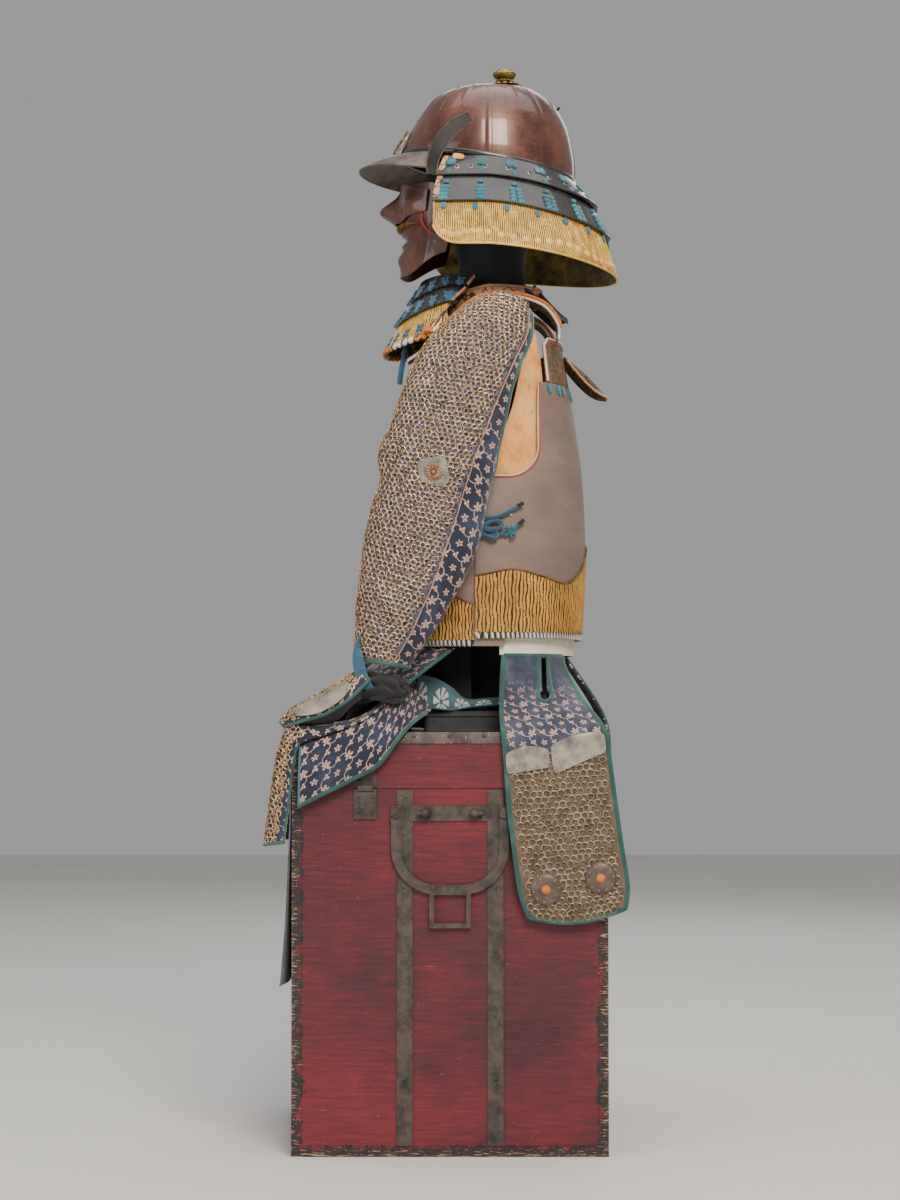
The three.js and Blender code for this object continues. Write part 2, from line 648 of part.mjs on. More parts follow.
/** A point of the bowl at `turn` degrees round from its front, at a section. */
function bowlPoint({ frontZ, backZ, front, back, width }, turn, rib = 0) {
  const [s, c] = [Math.sin(degToRad(turn)), Math.cos(degToRad(turn))];
  const middle = front > BOWL.middle ? (front + back) / 2 : BOWL.middle;
  const reach = c > 0 ? middle - front : back - middle;
  return new Vector3((width + rib) * s, middle - (reach + rib) * c, lerp(frontZ, backZ, (1 - c) / 2));
}

function buildBowl() {
  const { ribs, ribHeight, ribHalfTurn } = BOWL;
  const pitch = 360 / ribs;
  const stations = steps(ribs - 1).flatMap((k) =>
    [-ribHalfTurn, 0, ribHalfTurn, pitch / 2].map((offset) => ({
      turn: k * pitch + offset,
      rib: offset === 0 ? ribHeight : 0,
    })),
  );
  const rings = BOWL_SECTIONS.map((section) =>
    stations.map(({ turn, rib }) => bowlPoint(section, turn, rib)),
  );
  add("helmet_bowl", shell(rings, PLATE, new Vector3(0, BOWL.middle, 1300)), russetIron);
}

/** The brim: from the bowl's front edge out to a rounded, slightly drooping edge. */
function buildPeak() {
  const { rootTurn, rootGap, half, y, z, reach, rise, crown } = PEAK;
  const rows = grid(12, 3, (u, v) => {
    const root = bowlPoint(BOWL_SECTIONS[0], lerp(-rootTurn, rootTurn, u), rootGap);
    const around = degToRad(lerp(-90, 90, u));
    const edge = new Vector3(half * Math.sin(around), y - reach * Math.cos(around), z + rise * Math.cos(around));
    const point = root.lerp(edge, v);
    point.z += crown * Math.sin(Math.PI * v);
    return point;
  });
  add("helmet_peak", sheet(rows, PLATE, new Vector3(0, 0, 1100)), russetIron);
}

/** The forked holder for a crest, standing on the brim against the bowl. */
function buildCrestHolder() {
  const outline = new Shape()
    .moveTo(-15, 0)
    .lineTo(15, 0)
    .lineTo(17, 34)
    .lineTo(11, 36)
    .lineTo(8, 14)
    .lineTo(-8, 14)
    .lineTo(-11, 36)
    .lineTo(-17, 34);
  const g = new THREE.ExtrudeGeometry(outline, { depth: HOLDER.thickness, bevelEnabled: false });
  add("crest_holder", g.rotateX(degToRad(HOLDER.lean)).translate(0, HOLDER.y, HOLDER.z), brass);
}

/** A point of an edge of the neck guard, u from 0 at its left end round the back to 1. */
function neckPoint({ width, back, front, sideZ, backZ, corner }, u) {
  const { middle, straight } = NECK;
  const along = 1 - 2 * u;
  const past = Math.max(0, (Math.abs(along) - (1 - straight)) / straight);
  const turn = Math.min(1, Math.abs(along) / (1 - straight)) * (Math.PI / 2);
  const y = past > 0 ? lerp(middle, front, past) : middle + (back - middle) * Math.cos(turn);
  const x = Math.sign(along) * width * Math.sin(turn) * (1 - 0.04 * past * past);
  return new Vector3(x, y, lerp(sideZ, backZ, Math.cos(turn) ** 1.5) + corner * past ** 6);
}

/** A point of an edge of the throat guard, u from 0 at its right end round the front to 1. */
function throatPoint({ z, sideZ, front, width, end }, u) {
  const { middle, straight } = THROAT;
  const along = 2 * u - 1;
  const past = Math.max(0, (Math.abs(along) - (1 - straight)) / straight);
  const turn = Math.min(1, Math.abs(along) / (1 - straight)) * (Math.PI / 2);
  const y = past > 0 ? lerp(middle, end, past) : middle - (middle - front) * Math.cos(turn);
  return new Vector3(Math.sign(along) * width * Math.sin(turn), y, lerp(z, sideZ, 1 - Math.cos(turn)));
}

/** Lames between these edges, each one with its upper edge tucked behind the one above it. */
function addLames(name, edges, point, across, lap, behind, materials) {
  let under = null;
  materials.forEach((material, k) => {
    const top = under ?? steps(across).map((i) => point(edges[k], i / across));
    const bottom = steps(across).map((i) => point(edges[k + 1], i / across));
    const between = (v) => top.map((p, i) => p.clone().lerp(bottom[i], v));
    const rows = [top, between(0.5), bottom];
    add(`${name}_${k + 1}`, sheet(rows, PLATE, behind), material);
    under = lifted([top, between(lap), bottom], -UNDER, behind)[1];
  });
}

function buildNeckGuard() {
  const behind = new Vector3(0, NECK.middle, 1200);
  const materials = [blackLacquer, blackLacquer, goldLacquer];
  addLames("neck_lame", NECK_EDGES, neckPoint, 28, NECK.lap, behind, materials);
}

function buildTurnbacks() {
  const rows = grid(3, 7, (u, v) => {
    const here = rowAt(TURNBACK_SECTIONS, v);
    const next = rowAt(TURNBACK_SECTIONS, Math.min(1, v + 0.01));
    const last = rowAt(TURNBACK_SECTIONS, Math.max(0, v - 0.01));
    const along = new Vector2(next.y - last.y, next.z - last.z).normalize();
    const across = new Vector3(TURNBACK.outward, -along.y, along.x).normalize();
    return new Vector3(here.x, here.y, here.z).addScaledVector(across, lerp(-here.half, here.half, u));
  });
  addPair("turnback", sheet(rows, PLATE, new Vector3(0, 40, 1290)), blackLacquer);
}

// ---------------------------------------------------------------- mask and throat guard

/** A point of the mask at `turn` degrees round from its front, its bumps and `lift` standing out. */
function maskPoint(turn, z, bumps, lift = 0) {
  const { front, width, side } = rowWhere(MASK_SECTIONS, "z", z);
  const [s, c] = [Math.sin(degToRad(turn)), Math.cos(degToRad(turn))];
  const out = bumps.reduce((sum, bump) => {
    const [du, dz] = [(turn - bump.turn) / bump.spread, (z - bump.z) / bump.tall];
    return sum + bump.height * Math.exp(-du * du - dz * dz);
  }, lift);
  return new Vector3((width + out) * s, side - (side - front + out) * c, z);
}

function buildMask() {
  const { reach, bottom, lipZ, cheekTop, mouthZ, mouthHalf, mouthOpen } = MASK;
  const behind = new Vector3(0, 40, 1200);
  const faceRows = grid(16, 9, (u, v) => {
    const turn = lerp(-reach, reach, u);
    const cheek = smoothstep(Math.abs(turn), 12, 40) - 0.35 * smoothstep(Math.abs(turn), 55, reach);
    const from = bottom + 26 * smoothstep(Math.abs(turn), 30, reach);
    return maskPoint(turn, lerp(from, lerp(lipZ, cheekTop, cheek), v), CHIN_AND_CHEEKS);
  });
  const mouth = new Shape()
    .moveTo(-mouthHalf, mouthZ)
    .quadraticCurveTo(0, mouthZ + 2 * mouthOpen, mouthHalf, mouthZ)
    .quadraticCurveTo(0, mouthZ - mouthOpen, -mouthHalf, mouthZ);
  const opening = new THREE.ExtrudeGeometry(mouth, { depth: 90, bevelEnabled: false, curveSegments: 4 });
  opening.rotateX(Math.PI / 2).translate(0, -20, 0);
  add("mask_face", cut(sheet(faceRows, PLATE, behind), opening), russetIron);

  const noseReach = 56;
  const noseRows = grid(12, 6, (u, v) => {
    const turn = lerp(-noseReach, noseReach, u);
    const wing = smoothstep(Math.abs(turn), 14, noseReach);
    const z = lerp(lipZ - 1 + 8 * wing, 1262 - 14 * wing, v);
    return maskPoint(turn, z, [...CHIN_AND_CHEEKS, ...NOSE], PLATE + 2);
  });
  add("mask_nose", sheet(noseRows, PLATE, behind), russetIron);

  const tuftReach = 44;
  const tuftRows = grid(10, 2, (u, v) => {
    const turn = lerp(-tuftReach, tuftReach, u);
    const droop = 6 * (2 * u - 1) ** 2;
    return maskPoint(turn, lerp(1202, 1210, v) - droop, CHIN_AND_CHEEKS, 9 + 8 * Math.cos(degToRad(turn * 1.6)));
  });
  add("mask_moustache", sheet(tuftRows, 5, behind), bristle);
}

function buildThroatGuard() {
  const behind = new Vector3(0, 60, 1120);
  const materials = [blackLacquer, blackLacquer, goldLacquer];
  addLames("throat_lame", THROAT_EDGES, throatPoint, 18, THROAT.lap, behind, materials);
}

// ---------------------------------------------------------------- cuirass

const cuirassAxis = new Vector3(0, 43, 800);

/** A point of the cuirass at `turn` degrees round from its front towards its left. */
function cuirassPoint(turn, z, lift = 0) {
  const { front, back, width } = rowWhere(CUIRASS_SECTIONS, "z", z);
  const [s, c] = [Math.sin(degToRad(turn)), Math.cos(degToRad(turn))];
  const square = (value) => Math.sign(value) * Math.abs(value) ** (2 / CUIRASS.square);
  const reach = (back - front) / 2 + lift;
  return new Vector3((width + lift) * square(s), (front + back) / 2 - reach * square(c), z);
}

/** How far out the cuirass is on its left side, at this y and z. */
function cuirassSide(y, z, lift) {
  const { front, back, width } = rowWhere(CUIRASS_SECTIONS, "z", z);
  const share = Math.abs((y - (front + back) / 2) / ((back - front) / 2 + lift));
  return (width + lift) * (1 - share ** CUIRASS.square) ** (1 / CUIRASS.square);
}

/** The two armholes as one bar through the cuirass, rounded at its lower corners. */
function armholeTool() {
  const { front, back, bottom, corner, top, half } = ARMHOLE;
  const outline = new Shape()
    .moveTo(front, top)
    .lineTo(front, bottom + corner)
    .absarc(front + corner, bottom + corner, corner, Math.PI, 1.5 * Math.PI)
    .lineTo(back - corner, bottom)
    .absarc(back - corner, bottom + corner, corner, -Math.PI / 2, 0)
    .lineTo(back, top);
  return plateX(outline, -half, 2 * half);
}

/** One shell of the cuirass between two heights, through these turns. */
function addShell(side, turns, bottom, top, lift) {
  const rows = steps(6).map((j) => turns.map((turn) => cuirassPoint(turn, lerp(bottom, top, j / 6), lift)));
  add(`cuirass_${side}`, cut(sheet(rows, SHELL, cuirassAxis), armholeTool()), brownLacquer);
}

/** The rippled hem on a shell, at the same turns, up to the waved edge of its table. */
function addHem(side, turns, bottom, lift, wave) {
  const rows = steps(2).map((j) =>
    turns.map((turn) => {
      const round = 180 - Math.abs(180 - Math.abs(turn));
      const z = lerp(bottom + HEM.rise, rowWhere(wave, "turn", round).z, j / 2);
      return cuirassPoint(turn, z, lift + HEM.thickness + HEM.gap);
    }),
  );
  add(`cuirass_hem_${side}`, sheet(rows, HEM.thickness, cuirassAxis), goldLacquer);
}

function buildCuirass() {
  const { frontBottom, backBottom, frontTop, backTop, spans } = CUIRASS;
  const between = (from, to) => steps(spans).map((i) => lerp(from, to, i / spans));
  const front = between(-FRONT_REACH, FRONT_REACH);
  const back = between(BACK_FROM, 360 - BACK_FROM);
  addShell("front", front, frontBottom, frontTop, 0);
  addShell("back", back, backBottom, backTop, BACK_LIFT);
  addHem("front", front.slice(1, -1), frontBottom, 0, FRONT_WAVE);
  addHem("back", back, backBottom, BACK_LIFT, BACK_WAVE);
}

function buildLinings() {
  const rows = grid(4, 5, (u, v) => {
    const { z, free, held } = rowAt(LINING_EDGES, v);
    const y = lerp(free, held, u);
    return new Vector3(cuirassSide(y, z, -LINING_INSET), y, z);
  });
  addPair("armhole_lining", sheet(rows, LEATHER, cuirassAxis), buffLeather);
}

function buildShoulders() {
  const boardRows = grid(14, 2, (u, v) => {
    const corner = BOARD.corner * smoothstep(Math.abs(2 * u - 1), 0.88, 1);
    const z = lerp(CUIRASS.backTop + 2 * SEAM, BOARD.top - corner, v);
    return cuirassPoint(lerp(BOARD.from, 360 - BOARD.from, u), z, BACK_LIFT);
  });
  add("collar_board", sheet(boardRows, SHELL, cuirassAxis), patternLeather);

  const strapRows = grid(2, 12, (u, v) => {
    const { x, y, z, half } = rowAt(STRAP_PATH, v);
    return new Vector3(x + lerp(-half, half, u), y, z - STRAP_CROWN * (2 * u - 1) ** 2);
  });
  addPair("shoulder_strap", sheet(strapRows, LEATHER + 1, new Vector3(85, 50, 1000)), patternLeather);

  const { topY, topZ, tipY, tipZ, half, sag, arch } = LEAF;
  const leafRows = grid(6, 6, (u, v) => {
    const across = lerp(-1, 1, u);
    const width = half * Math.sqrt(1 - (v * 0.96) ** 2.2);
    const fall = sag * across * across * Math.sin(Math.PI * Math.min(1, v * 0.9 + 0.12));
    return new Vector3(
      across * width,
      lerp(topY, tipY, v) + arch * Math.sin(Math.PI * v),
      lerp(topZ, tipZ, v) - fall,
    );
  });
  add("back_leaf", sheet(leafRows, LEATHER, new Vector3(0, 100, 900)), patternLeather);
}

/** The standing collar round the neck, open at the front. */
function buildCollar() {
  const { middle, width, front, back, flare, bottom, top, dip, open } = COLLAR;
  const rows = grid(18, 1, (u, v) => {
    const turn = degToRad(lerp(open, 360 - open, u));
    const c = Math.cos(turn);
    const reach = c > 0 ? middle - front : back - middle;
    const grow = flare * v;
    const z = lerp(bottom, top, v) - dip * Math.max(0, c);
    return new Vector3((width + grow) * Math.sin(turn), middle - (reach + grow) * c, z);
  });
  add("neck_collar", sheet(rows, LEATHER + 1, new Vector3(0, middle, 1100)), buffLeather);
}

// ---------------------------------------------------------------- sleeves and hands

const sleeveAxis = new Vector3(196, -10, 850);
const handAxis = new Vector3(182, -140, 540);

/** A point of the left sleeve's outer face at `turn` degrees, `at` of the way to the cuff. */
function sleevePoint(turn, at) {
  const { x, y, z, deep, out, pitch, roll } = rowAt(SLEEVE_SECTIONS, at);
  const [p, r, t] = [pitch, roll, turn].map(degToRad);
  const forward = new Vector3(0, -Math.cos(p), Math.sin(p));
  const outward = new Vector3(Math.cos(r), 0, Math.sin(r));
  return new Vector3(x, y, z)
    .addScaledVector(forward, deep * Math.cos(t))
    .addScaledVector(outward, out * Math.sin(t));
}

function buildSleeves() {
  const { mailFrom, mailSpans, rows: count } = SLEEVE;
  const rows = steps(count).map((j) => {
    const at = j / count;
    const { from, to, mail } = rowAt(SLEEVE_SECTIONS, at);
    const under = steps(mailSpans).map((i) => lerp(mailFrom, mail, i / mailSpans));
    const border = [1, 2, 3, 4].map((i) => lerp(mail, to, i / 4));
    return [from, ...under, ...border].map((turn) => sleevePoint(turn, at));
  });
  addPair("sleeve", sheet(rows, CLOTH, sleeveAxis), brocade);

  const underMail = (face) => {
    const kept = face.map((row) => row.slice(1, mailSpans + 2));
    kept[count] = kept[count].map((p, i) => p.lerp(kept[count - 1][i], SLEEVE.hem));
    return kept;
  };
  addPair("sleeve_mail", layer(rows, MAIL, sleeveAxis, underMail, 2 * SEAM), ringMail);
}

/** A point of the hand guard's outer face at `turn` degrees, `at` of the way to the fingertips. */
function handPoint(turn, at) {
  const { x, y, z, half, arch } = rowAt(HAND_SECTIONS, at);
  const [t, lean] = [turn, HAND.lean].map(degToRad);
  const ridge = new Vector3(0, -Math.sin(lean), Math.cos(lean));
  return new Vector3(x + half * Math.sin(t), y, z).addScaledVector(ridge, arch * Math.cos(t));
}

function buildHandGuards() {
  const { spread, plateTurn, plateHalf, plateFrom, plateTo } = HAND;
  const rows = grid(10, 6, (u, v) => handPoint(lerp(-spread, spread, u), v));
  addPair("hand_guard", sheet(rows, CLOTH, handAxis), brocade);
  const plateRows = grid(3, 4, (u, v) => {
    const waist = 1 - 0.55 * Math.abs(2 * v - 1) ** 3;
    return handPoint(plateTurn + lerp(-plateHalf, plateHalf, u) * waist, lerp(plateFrom, plateTo, v));
  });
  const raised = lifted(plateRows, PLATE + 1.7, handAxis);
  addPair("hand_plate", sheet(raised, PLATE, handAxis), greyIron);
}

// ---------------------------------------------------------------- thigh guards

const chestHeart = new Vector3(60, 0, 300);

/** A point of the left apron: u from its inner edge over its shoulder to its outer edge. */
function thighPoint(u, at) {
  const { x, y, z, sx, sy, sz, ex, ey, ez } = rowAt(THIGH_SECTIONS, at);
  const { shoulderAt } = THIGH;
  const shoulder = new Vector3(sx, sy, sz);
  if (u <= shoulderAt) return new Vector3(x, y, z).lerp(shoulder, u / shoulderAt);
  return shoulder.lerp(new Vector3(ex, ey, ez), (u - shoulderAt) / (1 - shoulderAt));
}

function buildThighGuards() {
  const rows = steps(THIGH.rows).map((j) => THIGH.bars.map((u) => thighPoint(u, j / THIGH.rows)));
  addPair("thigh_apron", sheet(rows, CLOTH, chestHeart), brocade);

  const wingRows = grid(3, 9, (u, v) => {
    const { at, x, y, z } = rowAt(WING_HEM, v);
    const hem = new Vector3(x, y, z);
    const edge = thighPoint(1, at);
    const fall = hem.clone().sub(edge).normalize();
    const point = edge.addScaledVector(fall, WING.drop).lerp(hem, u);
    point.x += WING.belly * Math.sin(Math.PI * u) * smoothstep(v, 0, 0.4);
    return point;
  });
  addPair("thigh_wing", sheet(wingRows, CLOTH, chestHeart), brocade);

  const fallRows = grid(4, 6, (u, v) => {
    const { z, y, edge, edgeY } = rowAt(FALL_SECTIONS, v);
    return new Vector3(lerp(FALL_X, edge, u), lerp(y, edgeY, smoothstep(u, 0.7, 1)), z);
  });
  addPair("thigh_fall", sheet(fallRows, CLOTH / 2, chestHeart), brocade);
}

/** The printed waist tie, from the left apron round the stand's column and back to the right. */
function buildWaistTie() {
  const mirrored = TIE_PATH.slice(0, -1).reverse();
  const path = [...TIE_PATH, ...mirrored.map((p) => ({ ...p, x: -p.x }))];
  const rows = grid(1, 20, (u, v) => {
    const { x, y, top, bottom } = rowAt(path, v);
    return new Vector3(x, y, lerp(bottom, top, u));
  });
  add("waist_tie", sheet(rows, LEATHER, new Vector3(0, 60, 570)), printedCotton);
}

// ---------------------------------------------------------------- skirt

/** A point of the left skirt panel, u from its front edge to its back edge. */
function sidePanelPoint(u, at) {
  const { flat, x, frontY, backY, frontZ, backZ } = rowAt(SIDE_PANEL, at);
  const belly = PANEL.belly * Math.sin(Math.PI * u) * smoothstep(at, 0.85, 1);
  const z = lerp(frontZ, backZ, u) - belly;
  const curve = cuirassPoint(lerp(99, 146, u), CUIRASS.frontBottom, -WAIST.inset);
  curve.z = z;
  return curve.lerp(new Vector3(x, lerp(frontY, backY, u), z), clamp(flat, 0, 1));
}

function buildSkirt() {
  const { inset, top, bottom, thickness, from } = WAIST;
  const bandRows = grid(18, 1, (u, v) => cuirassPoint(lerp(from, 360 - from, u), lerp(bottom, top, v), -inset));
  add("skirt_band", sheet(bandRows, thickness, cuirassAxis), creamHemp);

  const slit = new Shape()
    .moveTo(SLIT.y - SLIT.half, SLIT.top)
    .absarc(SLIT.y, SLIT.bottom, SLIT.eye, Math.PI, 2 * Math.PI)
    .lineTo(SLIT.y + SLIT.half, SLIT.top);
  const rows = steps(PANEL.rows).map((j) => PANEL.bars.map((u) => sidePanelPoint(u, j / PANEL.rows)));
  addPair("skirt_side", cut(sheet(rows, CLOTH, chestHeart), plateX(slit, 120, 120, 4)), brocade);

  const underMail = (face) => {
    const kept = face.slice(PANEL.mailFrom).map((row) => row.slice(1, -1));
    const last = kept.length - 1;
    kept[last] = kept[last].map((p, i) => p.lerp(kept[last - 1][i], PANEL.hem));
    return kept;
  };
  addPair("skirt_mail", layer(rows, MAIL, chestHeart, underMail), ringMail);

  const { from: turnFrom, to: turnTo, x, y, z, reachX, reachY, rise } = FRONT_PANEL;
  const frontRows = grid(10, 4, (u, v) => {
    const waist = cuirassPoint(lerp(turnFrom, turnTo, u), CUIRASS.frontBottom, -inset);
    const around = (u * Math.PI) / 2;
    const hem = new Vector3(
      x + reachX * Math.sin(around),
      y + reachY * (1 - Math.cos(around)),
      z + rise * u * u,
    );
    return waist.add(new Vector3(0, 0, -2)).lerp(hem, v);
  });
  addPair("skirt_front", sheet(frontRows, CLOTH, new Vector3(60, 0, 500)), brocade);

  const backRows = grid(5, 11, (u, v) => {
    const { y, z, half } = rowAt(BACK_PANEL, v);
    return new Vector3(lerp(half, -half, u), y, z);
  });
  add("skirt_back", sheet(backRows, CLOTH, new Vector3(0, 0, 300)), brocade);
}

// ---------------------------------------------------------------- all together

buildChest();
addPair("chest_irons", ironsGeometry(), strapIron);
addPair("chest_handle", handleGeometry(), strapIron);
buildStand();
buildBowl();
buildPeak();
buildCrestHolder();
add("helmet_finial", turned(FINIAL_PROFILE, 14).translate(0, FINIAL.y, FINIAL.z), brass);
buildNeckGuard();
buildTurnbacks();
buildMask();
buildThroatGuard();
buildCuirass();
buildLinings();
buildShoulders();
buildCollar();
buildSleeves();
buildHandGuards();
buildThighGuards();
buildWaistTie();
buildSkirt();
addPair("side_tie", cord(SIDE_TIE_ROUTE, SIDE_TIE.radius, SIDE_TIE.steps), blueSilk);
add("chin_cord", cord(CHIN_CORD_ROUTE, CHIN_CORD.radius, CHIN_CORD.steps), blueSilk);

export default armour;
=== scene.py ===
"""A samurai armour on its stand, seated on the lacquered chest that it is kept in.

The armour faces -Y, its left side is +X, and the floor is z = 0. Sizes are in millimetres in the
tables and functions here, and in metres once they are meshes.
"""

import json
import logging
import math
from collections.abc import Callable, Sequence
from dataclasses import dataclass, field
from enum import Enum

import bpy
import numpy as np
from mathutils import Matrix, Vector

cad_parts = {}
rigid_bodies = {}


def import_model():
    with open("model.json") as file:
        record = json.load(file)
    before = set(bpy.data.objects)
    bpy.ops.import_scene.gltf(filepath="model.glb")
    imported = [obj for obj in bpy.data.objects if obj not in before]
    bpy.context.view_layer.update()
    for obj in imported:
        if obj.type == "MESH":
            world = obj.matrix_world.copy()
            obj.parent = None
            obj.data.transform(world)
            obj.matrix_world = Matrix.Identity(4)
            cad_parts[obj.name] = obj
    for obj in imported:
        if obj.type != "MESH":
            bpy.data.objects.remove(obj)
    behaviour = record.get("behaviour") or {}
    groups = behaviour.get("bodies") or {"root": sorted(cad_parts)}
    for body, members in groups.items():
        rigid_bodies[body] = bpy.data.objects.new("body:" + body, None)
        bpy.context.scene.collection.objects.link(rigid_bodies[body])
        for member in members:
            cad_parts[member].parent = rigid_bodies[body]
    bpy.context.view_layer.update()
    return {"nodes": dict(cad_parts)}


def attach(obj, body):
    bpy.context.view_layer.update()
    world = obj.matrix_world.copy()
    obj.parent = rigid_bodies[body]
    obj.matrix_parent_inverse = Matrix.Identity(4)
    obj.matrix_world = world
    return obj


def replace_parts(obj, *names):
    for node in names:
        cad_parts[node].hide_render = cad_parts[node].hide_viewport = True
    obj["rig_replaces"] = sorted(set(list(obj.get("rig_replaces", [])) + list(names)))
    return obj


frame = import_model()

log = logging.getLogger("armour")

MM = 0.001
LEFT = np.array([1.0, 0.0, 0.0])
# The directions of a small shape's X, Y and Z where it stands out from the armour's left side.
LEFT_AXES = np.array([(0.0, 1.0, 0.0), (0.0, 0.0, 1.0), (1.0, 0.0, 0.0)])

Array = np.ndarray
Piece = bpy.types.Object
Surface = Callable[[Array, Array], Array]
Span = Callable[[Array], tuple[Array, Array]]


class Held(Enum):
    """How a sheet of cloth is held where it lies."""

    LAID = "laid"
    HUNG = "hung"
    GATHERED = "gathered"
    STRETCHED = "stretched"


# ------------------------------------------------------------------ tables and surfaces


class Table:
    """Rows of sizes under named columns, read on smooth curves between the rows."""

    def __init__(self, columns: str, *rows: tuple[float, ...]) -> None:
        """Keeps the rows.

        Args:
            columns: the columns' names, with spaces between them.
            rows: one tuple of numbers for each row.
        """
        self.columns = columns.split()
        self.rows = np.array(rows, float)

    def at(self, share: Array | float) -> dict[str, Array]:
        """Reads all columns part of the way down the table.

        Args:
            share: 0 at the first row, 1 at the last.

        Returns:
            Each column's value by its name.
        """
        last = len(self.rows) - 1
        place = np.asarray(share, float) * last
        i = np.clip(np.floor(place).astype(int), 0, last - 1)
        f = (place - i)[..., None]
        a, b, c, d = (self.rows[np.clip(i + k, 0, last)] for k in (-1, 0, 1, 2))
        leave, arrive = (c - a) / 2, (d - b) / 2
        bend = 3 * (c - b) - 2 * leave - arrive
        values = b + f * leave + f**2 * bend + f**3 * (2 * (b - c) + leave + arrive)
        return dict(zip(self.columns, np.moveaxis(values, -1, 0), strict=True))

    def where(self, column: str, value: Array | float) -> dict[str, Array]:
        """Reads all columns where a rising column has this value.

        Args:
            column: the rising column.
            value: what it is there.

        Returns:
            Each column's value by its name.
        """
        keys = self.rows[:, self.columns.index(column)]
        last = len(keys) - 1
        value = np.asarray(value, float)
        i = np.clip(np.searchsorted(keys, value) - 1, 0, last - 1)
        return self.at((i + (value - keys[i]) / (keys[i + 1] - keys[i])) / last)


def xyz(x: Array, y: Array, z: Array) -> Array:
    """Joins three coordinates of the same or matching shapes as points."""
    return np.stack(np.broadcast_arrays(x, y, z), axis=-1).astype(float)


def mix(a: Array | float, b: Array | float, share: Array | float) -> Array:
    """Goes from a to b by this share."""
    return a + (b - a) * share


def ease(value: Array, low: float, high: float) -> Array:
    """Rises smoothly from 0 at `low` to 1 at `high`."""
    t = np.clip((np.asarray(value, float) - low) / (high - low), 0, 1)
    return t * t * (3 - 2 * t)


def unit(vectors: Array) -> Array:
    """Scales vectors to a length of 1."""
    return vectors / np.maximum(np.linalg.norm(vectors, axis=-1, keepdims=True), 1e-9)


def normals_of(surface: Surface, u: Array, v: Array, behind: Sequence[float]) -> Array:
    """Finds a surface's outward normals.

    Args:
        surface: the point at (u, v), in millimetres.
        u: where, across the surface.
        v: where, along it.
        behind: a point on its inner side.

    Returns:
        A unit vector for each place.
    """
    step = 2e-3
    across = surface(u + step, v) - surface(u - step, v)
    along = surface(u, v + step) - surface(u, v - step)
    normal = unit(np.cross(across, along))
    facing = np.sum(normal * (surface(u, v) - np.array(behind, float)))
    return normal * np.sign(facing)


def running_length(points: Array) -> Array:
    """Measures a line of points: how far each one is from the first, along it."""
    return np.concatenate([[0], np.cumsum(np.linalg.norm(np.diff(points, axis=0), axis=1))])


def lifted(surface: Surface, height: float, behind: Sequence[float]) -> Surface:
    """Gives the surface that lies outside another one.

    Args:
        surface: the one that is known.
        height: how far out the new one lies.
        behind: a point on their inner side.

    Returns:
        The new surface.
    """

    def raised(u: Array, v: Array) -> Array:
        """Returns the raised points."""
        return surface(u, v) + height * normals_of(surface, u, v, behind)

    return raised


def arc_places(points: Array, pitch: float, phase: float = 0.5, ends: float = 0.0) -> Array:
    """Spreads places evenly along a line of points.

    Args:
        points: the line.
        pitch: the distance between places, made a little longer or shorter to come out even.
        phase: how far into its pitch the first place lies.
        ends: how much of each end of the line is left free.

    Returns:
        Each place's share of the points, 0 at the first and 1 at the last.
    """
    arc = running_length(points)
    count = max(1, round((arc[-1] - 2 * ends) / pitch))
    wanted = ends + (arc[-1] - 2 * ends) * (np.arange(count) + phase) / count
    return np.interp(wanted, arc, np.linspace(0, 1, len(arc)))


# ------------------------------------------------------------------ meshes


def select_only(piece: Piece) -> None:
    """Makes a piece the one that operators act on.

    Args:
        piece: the piece to act on.
    """
    bpy.ops.object.select_all(action="DESELECT")
    piece.select_set(True)
    bpy.context.view_layer.objects.active = piece


def apply_modifier(piece: Piece, kind: str, **settings: object) -> None:
    """Adds a modifier to a piece and applies it.

    Args:
        piece: what is modified.
        kind: the modifier's type.
        settings: its properties.
    """
    select_only(piece)
    modifier = piece.modifiers.new(kind.title(), kind)
    for name, value in settings.items():
        setattr(modifier, name, value)
    bpy.ops.object.modifier_apply(modifier=modifier.name)


def edit(piece: Piece, *steps: Callable[[], object]) -> None:
    """Shapes a piece in edit mode, with all of it selected at first.

    Args:
        piece: what is shaped.
        steps: what is done to it, in order.
    """
    select_only(piece)
    bpy.ops.object.mode_set(mode="EDIT")
    bpy.ops.mesh.select_all(action="SELECT")
    for step in steps:
        step()
    bpy.ops.object.mode_set(mode="OBJECT")


def face_outwards(piece: Piece) -> None:
    """Turns all of a closed piece's faces outwards."""
    edit(piece, lambda: bpy.ops.mesh.normals_make_consistent(inside=False))


def cut(piece: Piece, tool: Piece) -> None:
    """Cuts the shape of a tool out of a piece and puts the tool away."""
    apply_modifier(piece, "BOOLEAN", operation="DIFFERENCE", object=tool, solver="EXACT")
    bpy.data.objects.remove(tool)


@dataclass(frozen=True)
class Shape:
    """A small shape that is repeated over a surface: its corners in millimetres and its faces."""

    corners: Array
    faces: list[tuple[int, ...]]


def small_shape(add: Callable[[], object], *steps: Callable[[], object]) -> Shape:
    """Models one small shape about the origin and takes its mesh.

    Args:
        add: adds the primitive, in millimetres.
        steps: the edit-mode steps that shape it.

    Returns:
        The shape.
    """
    bpy.ops.object.select_all(action="DESELECT")
    add()
    made = bpy.context.object
    edit(made, *steps)
    corners = np.array([vertex.co for vertex in made.data.vertices], float)
    faces = [tuple(polygon.vertices) for polygon in made.data.polygons]
    bpy.data.meshes.remove(made.data)
    return Shape(corners, faces)


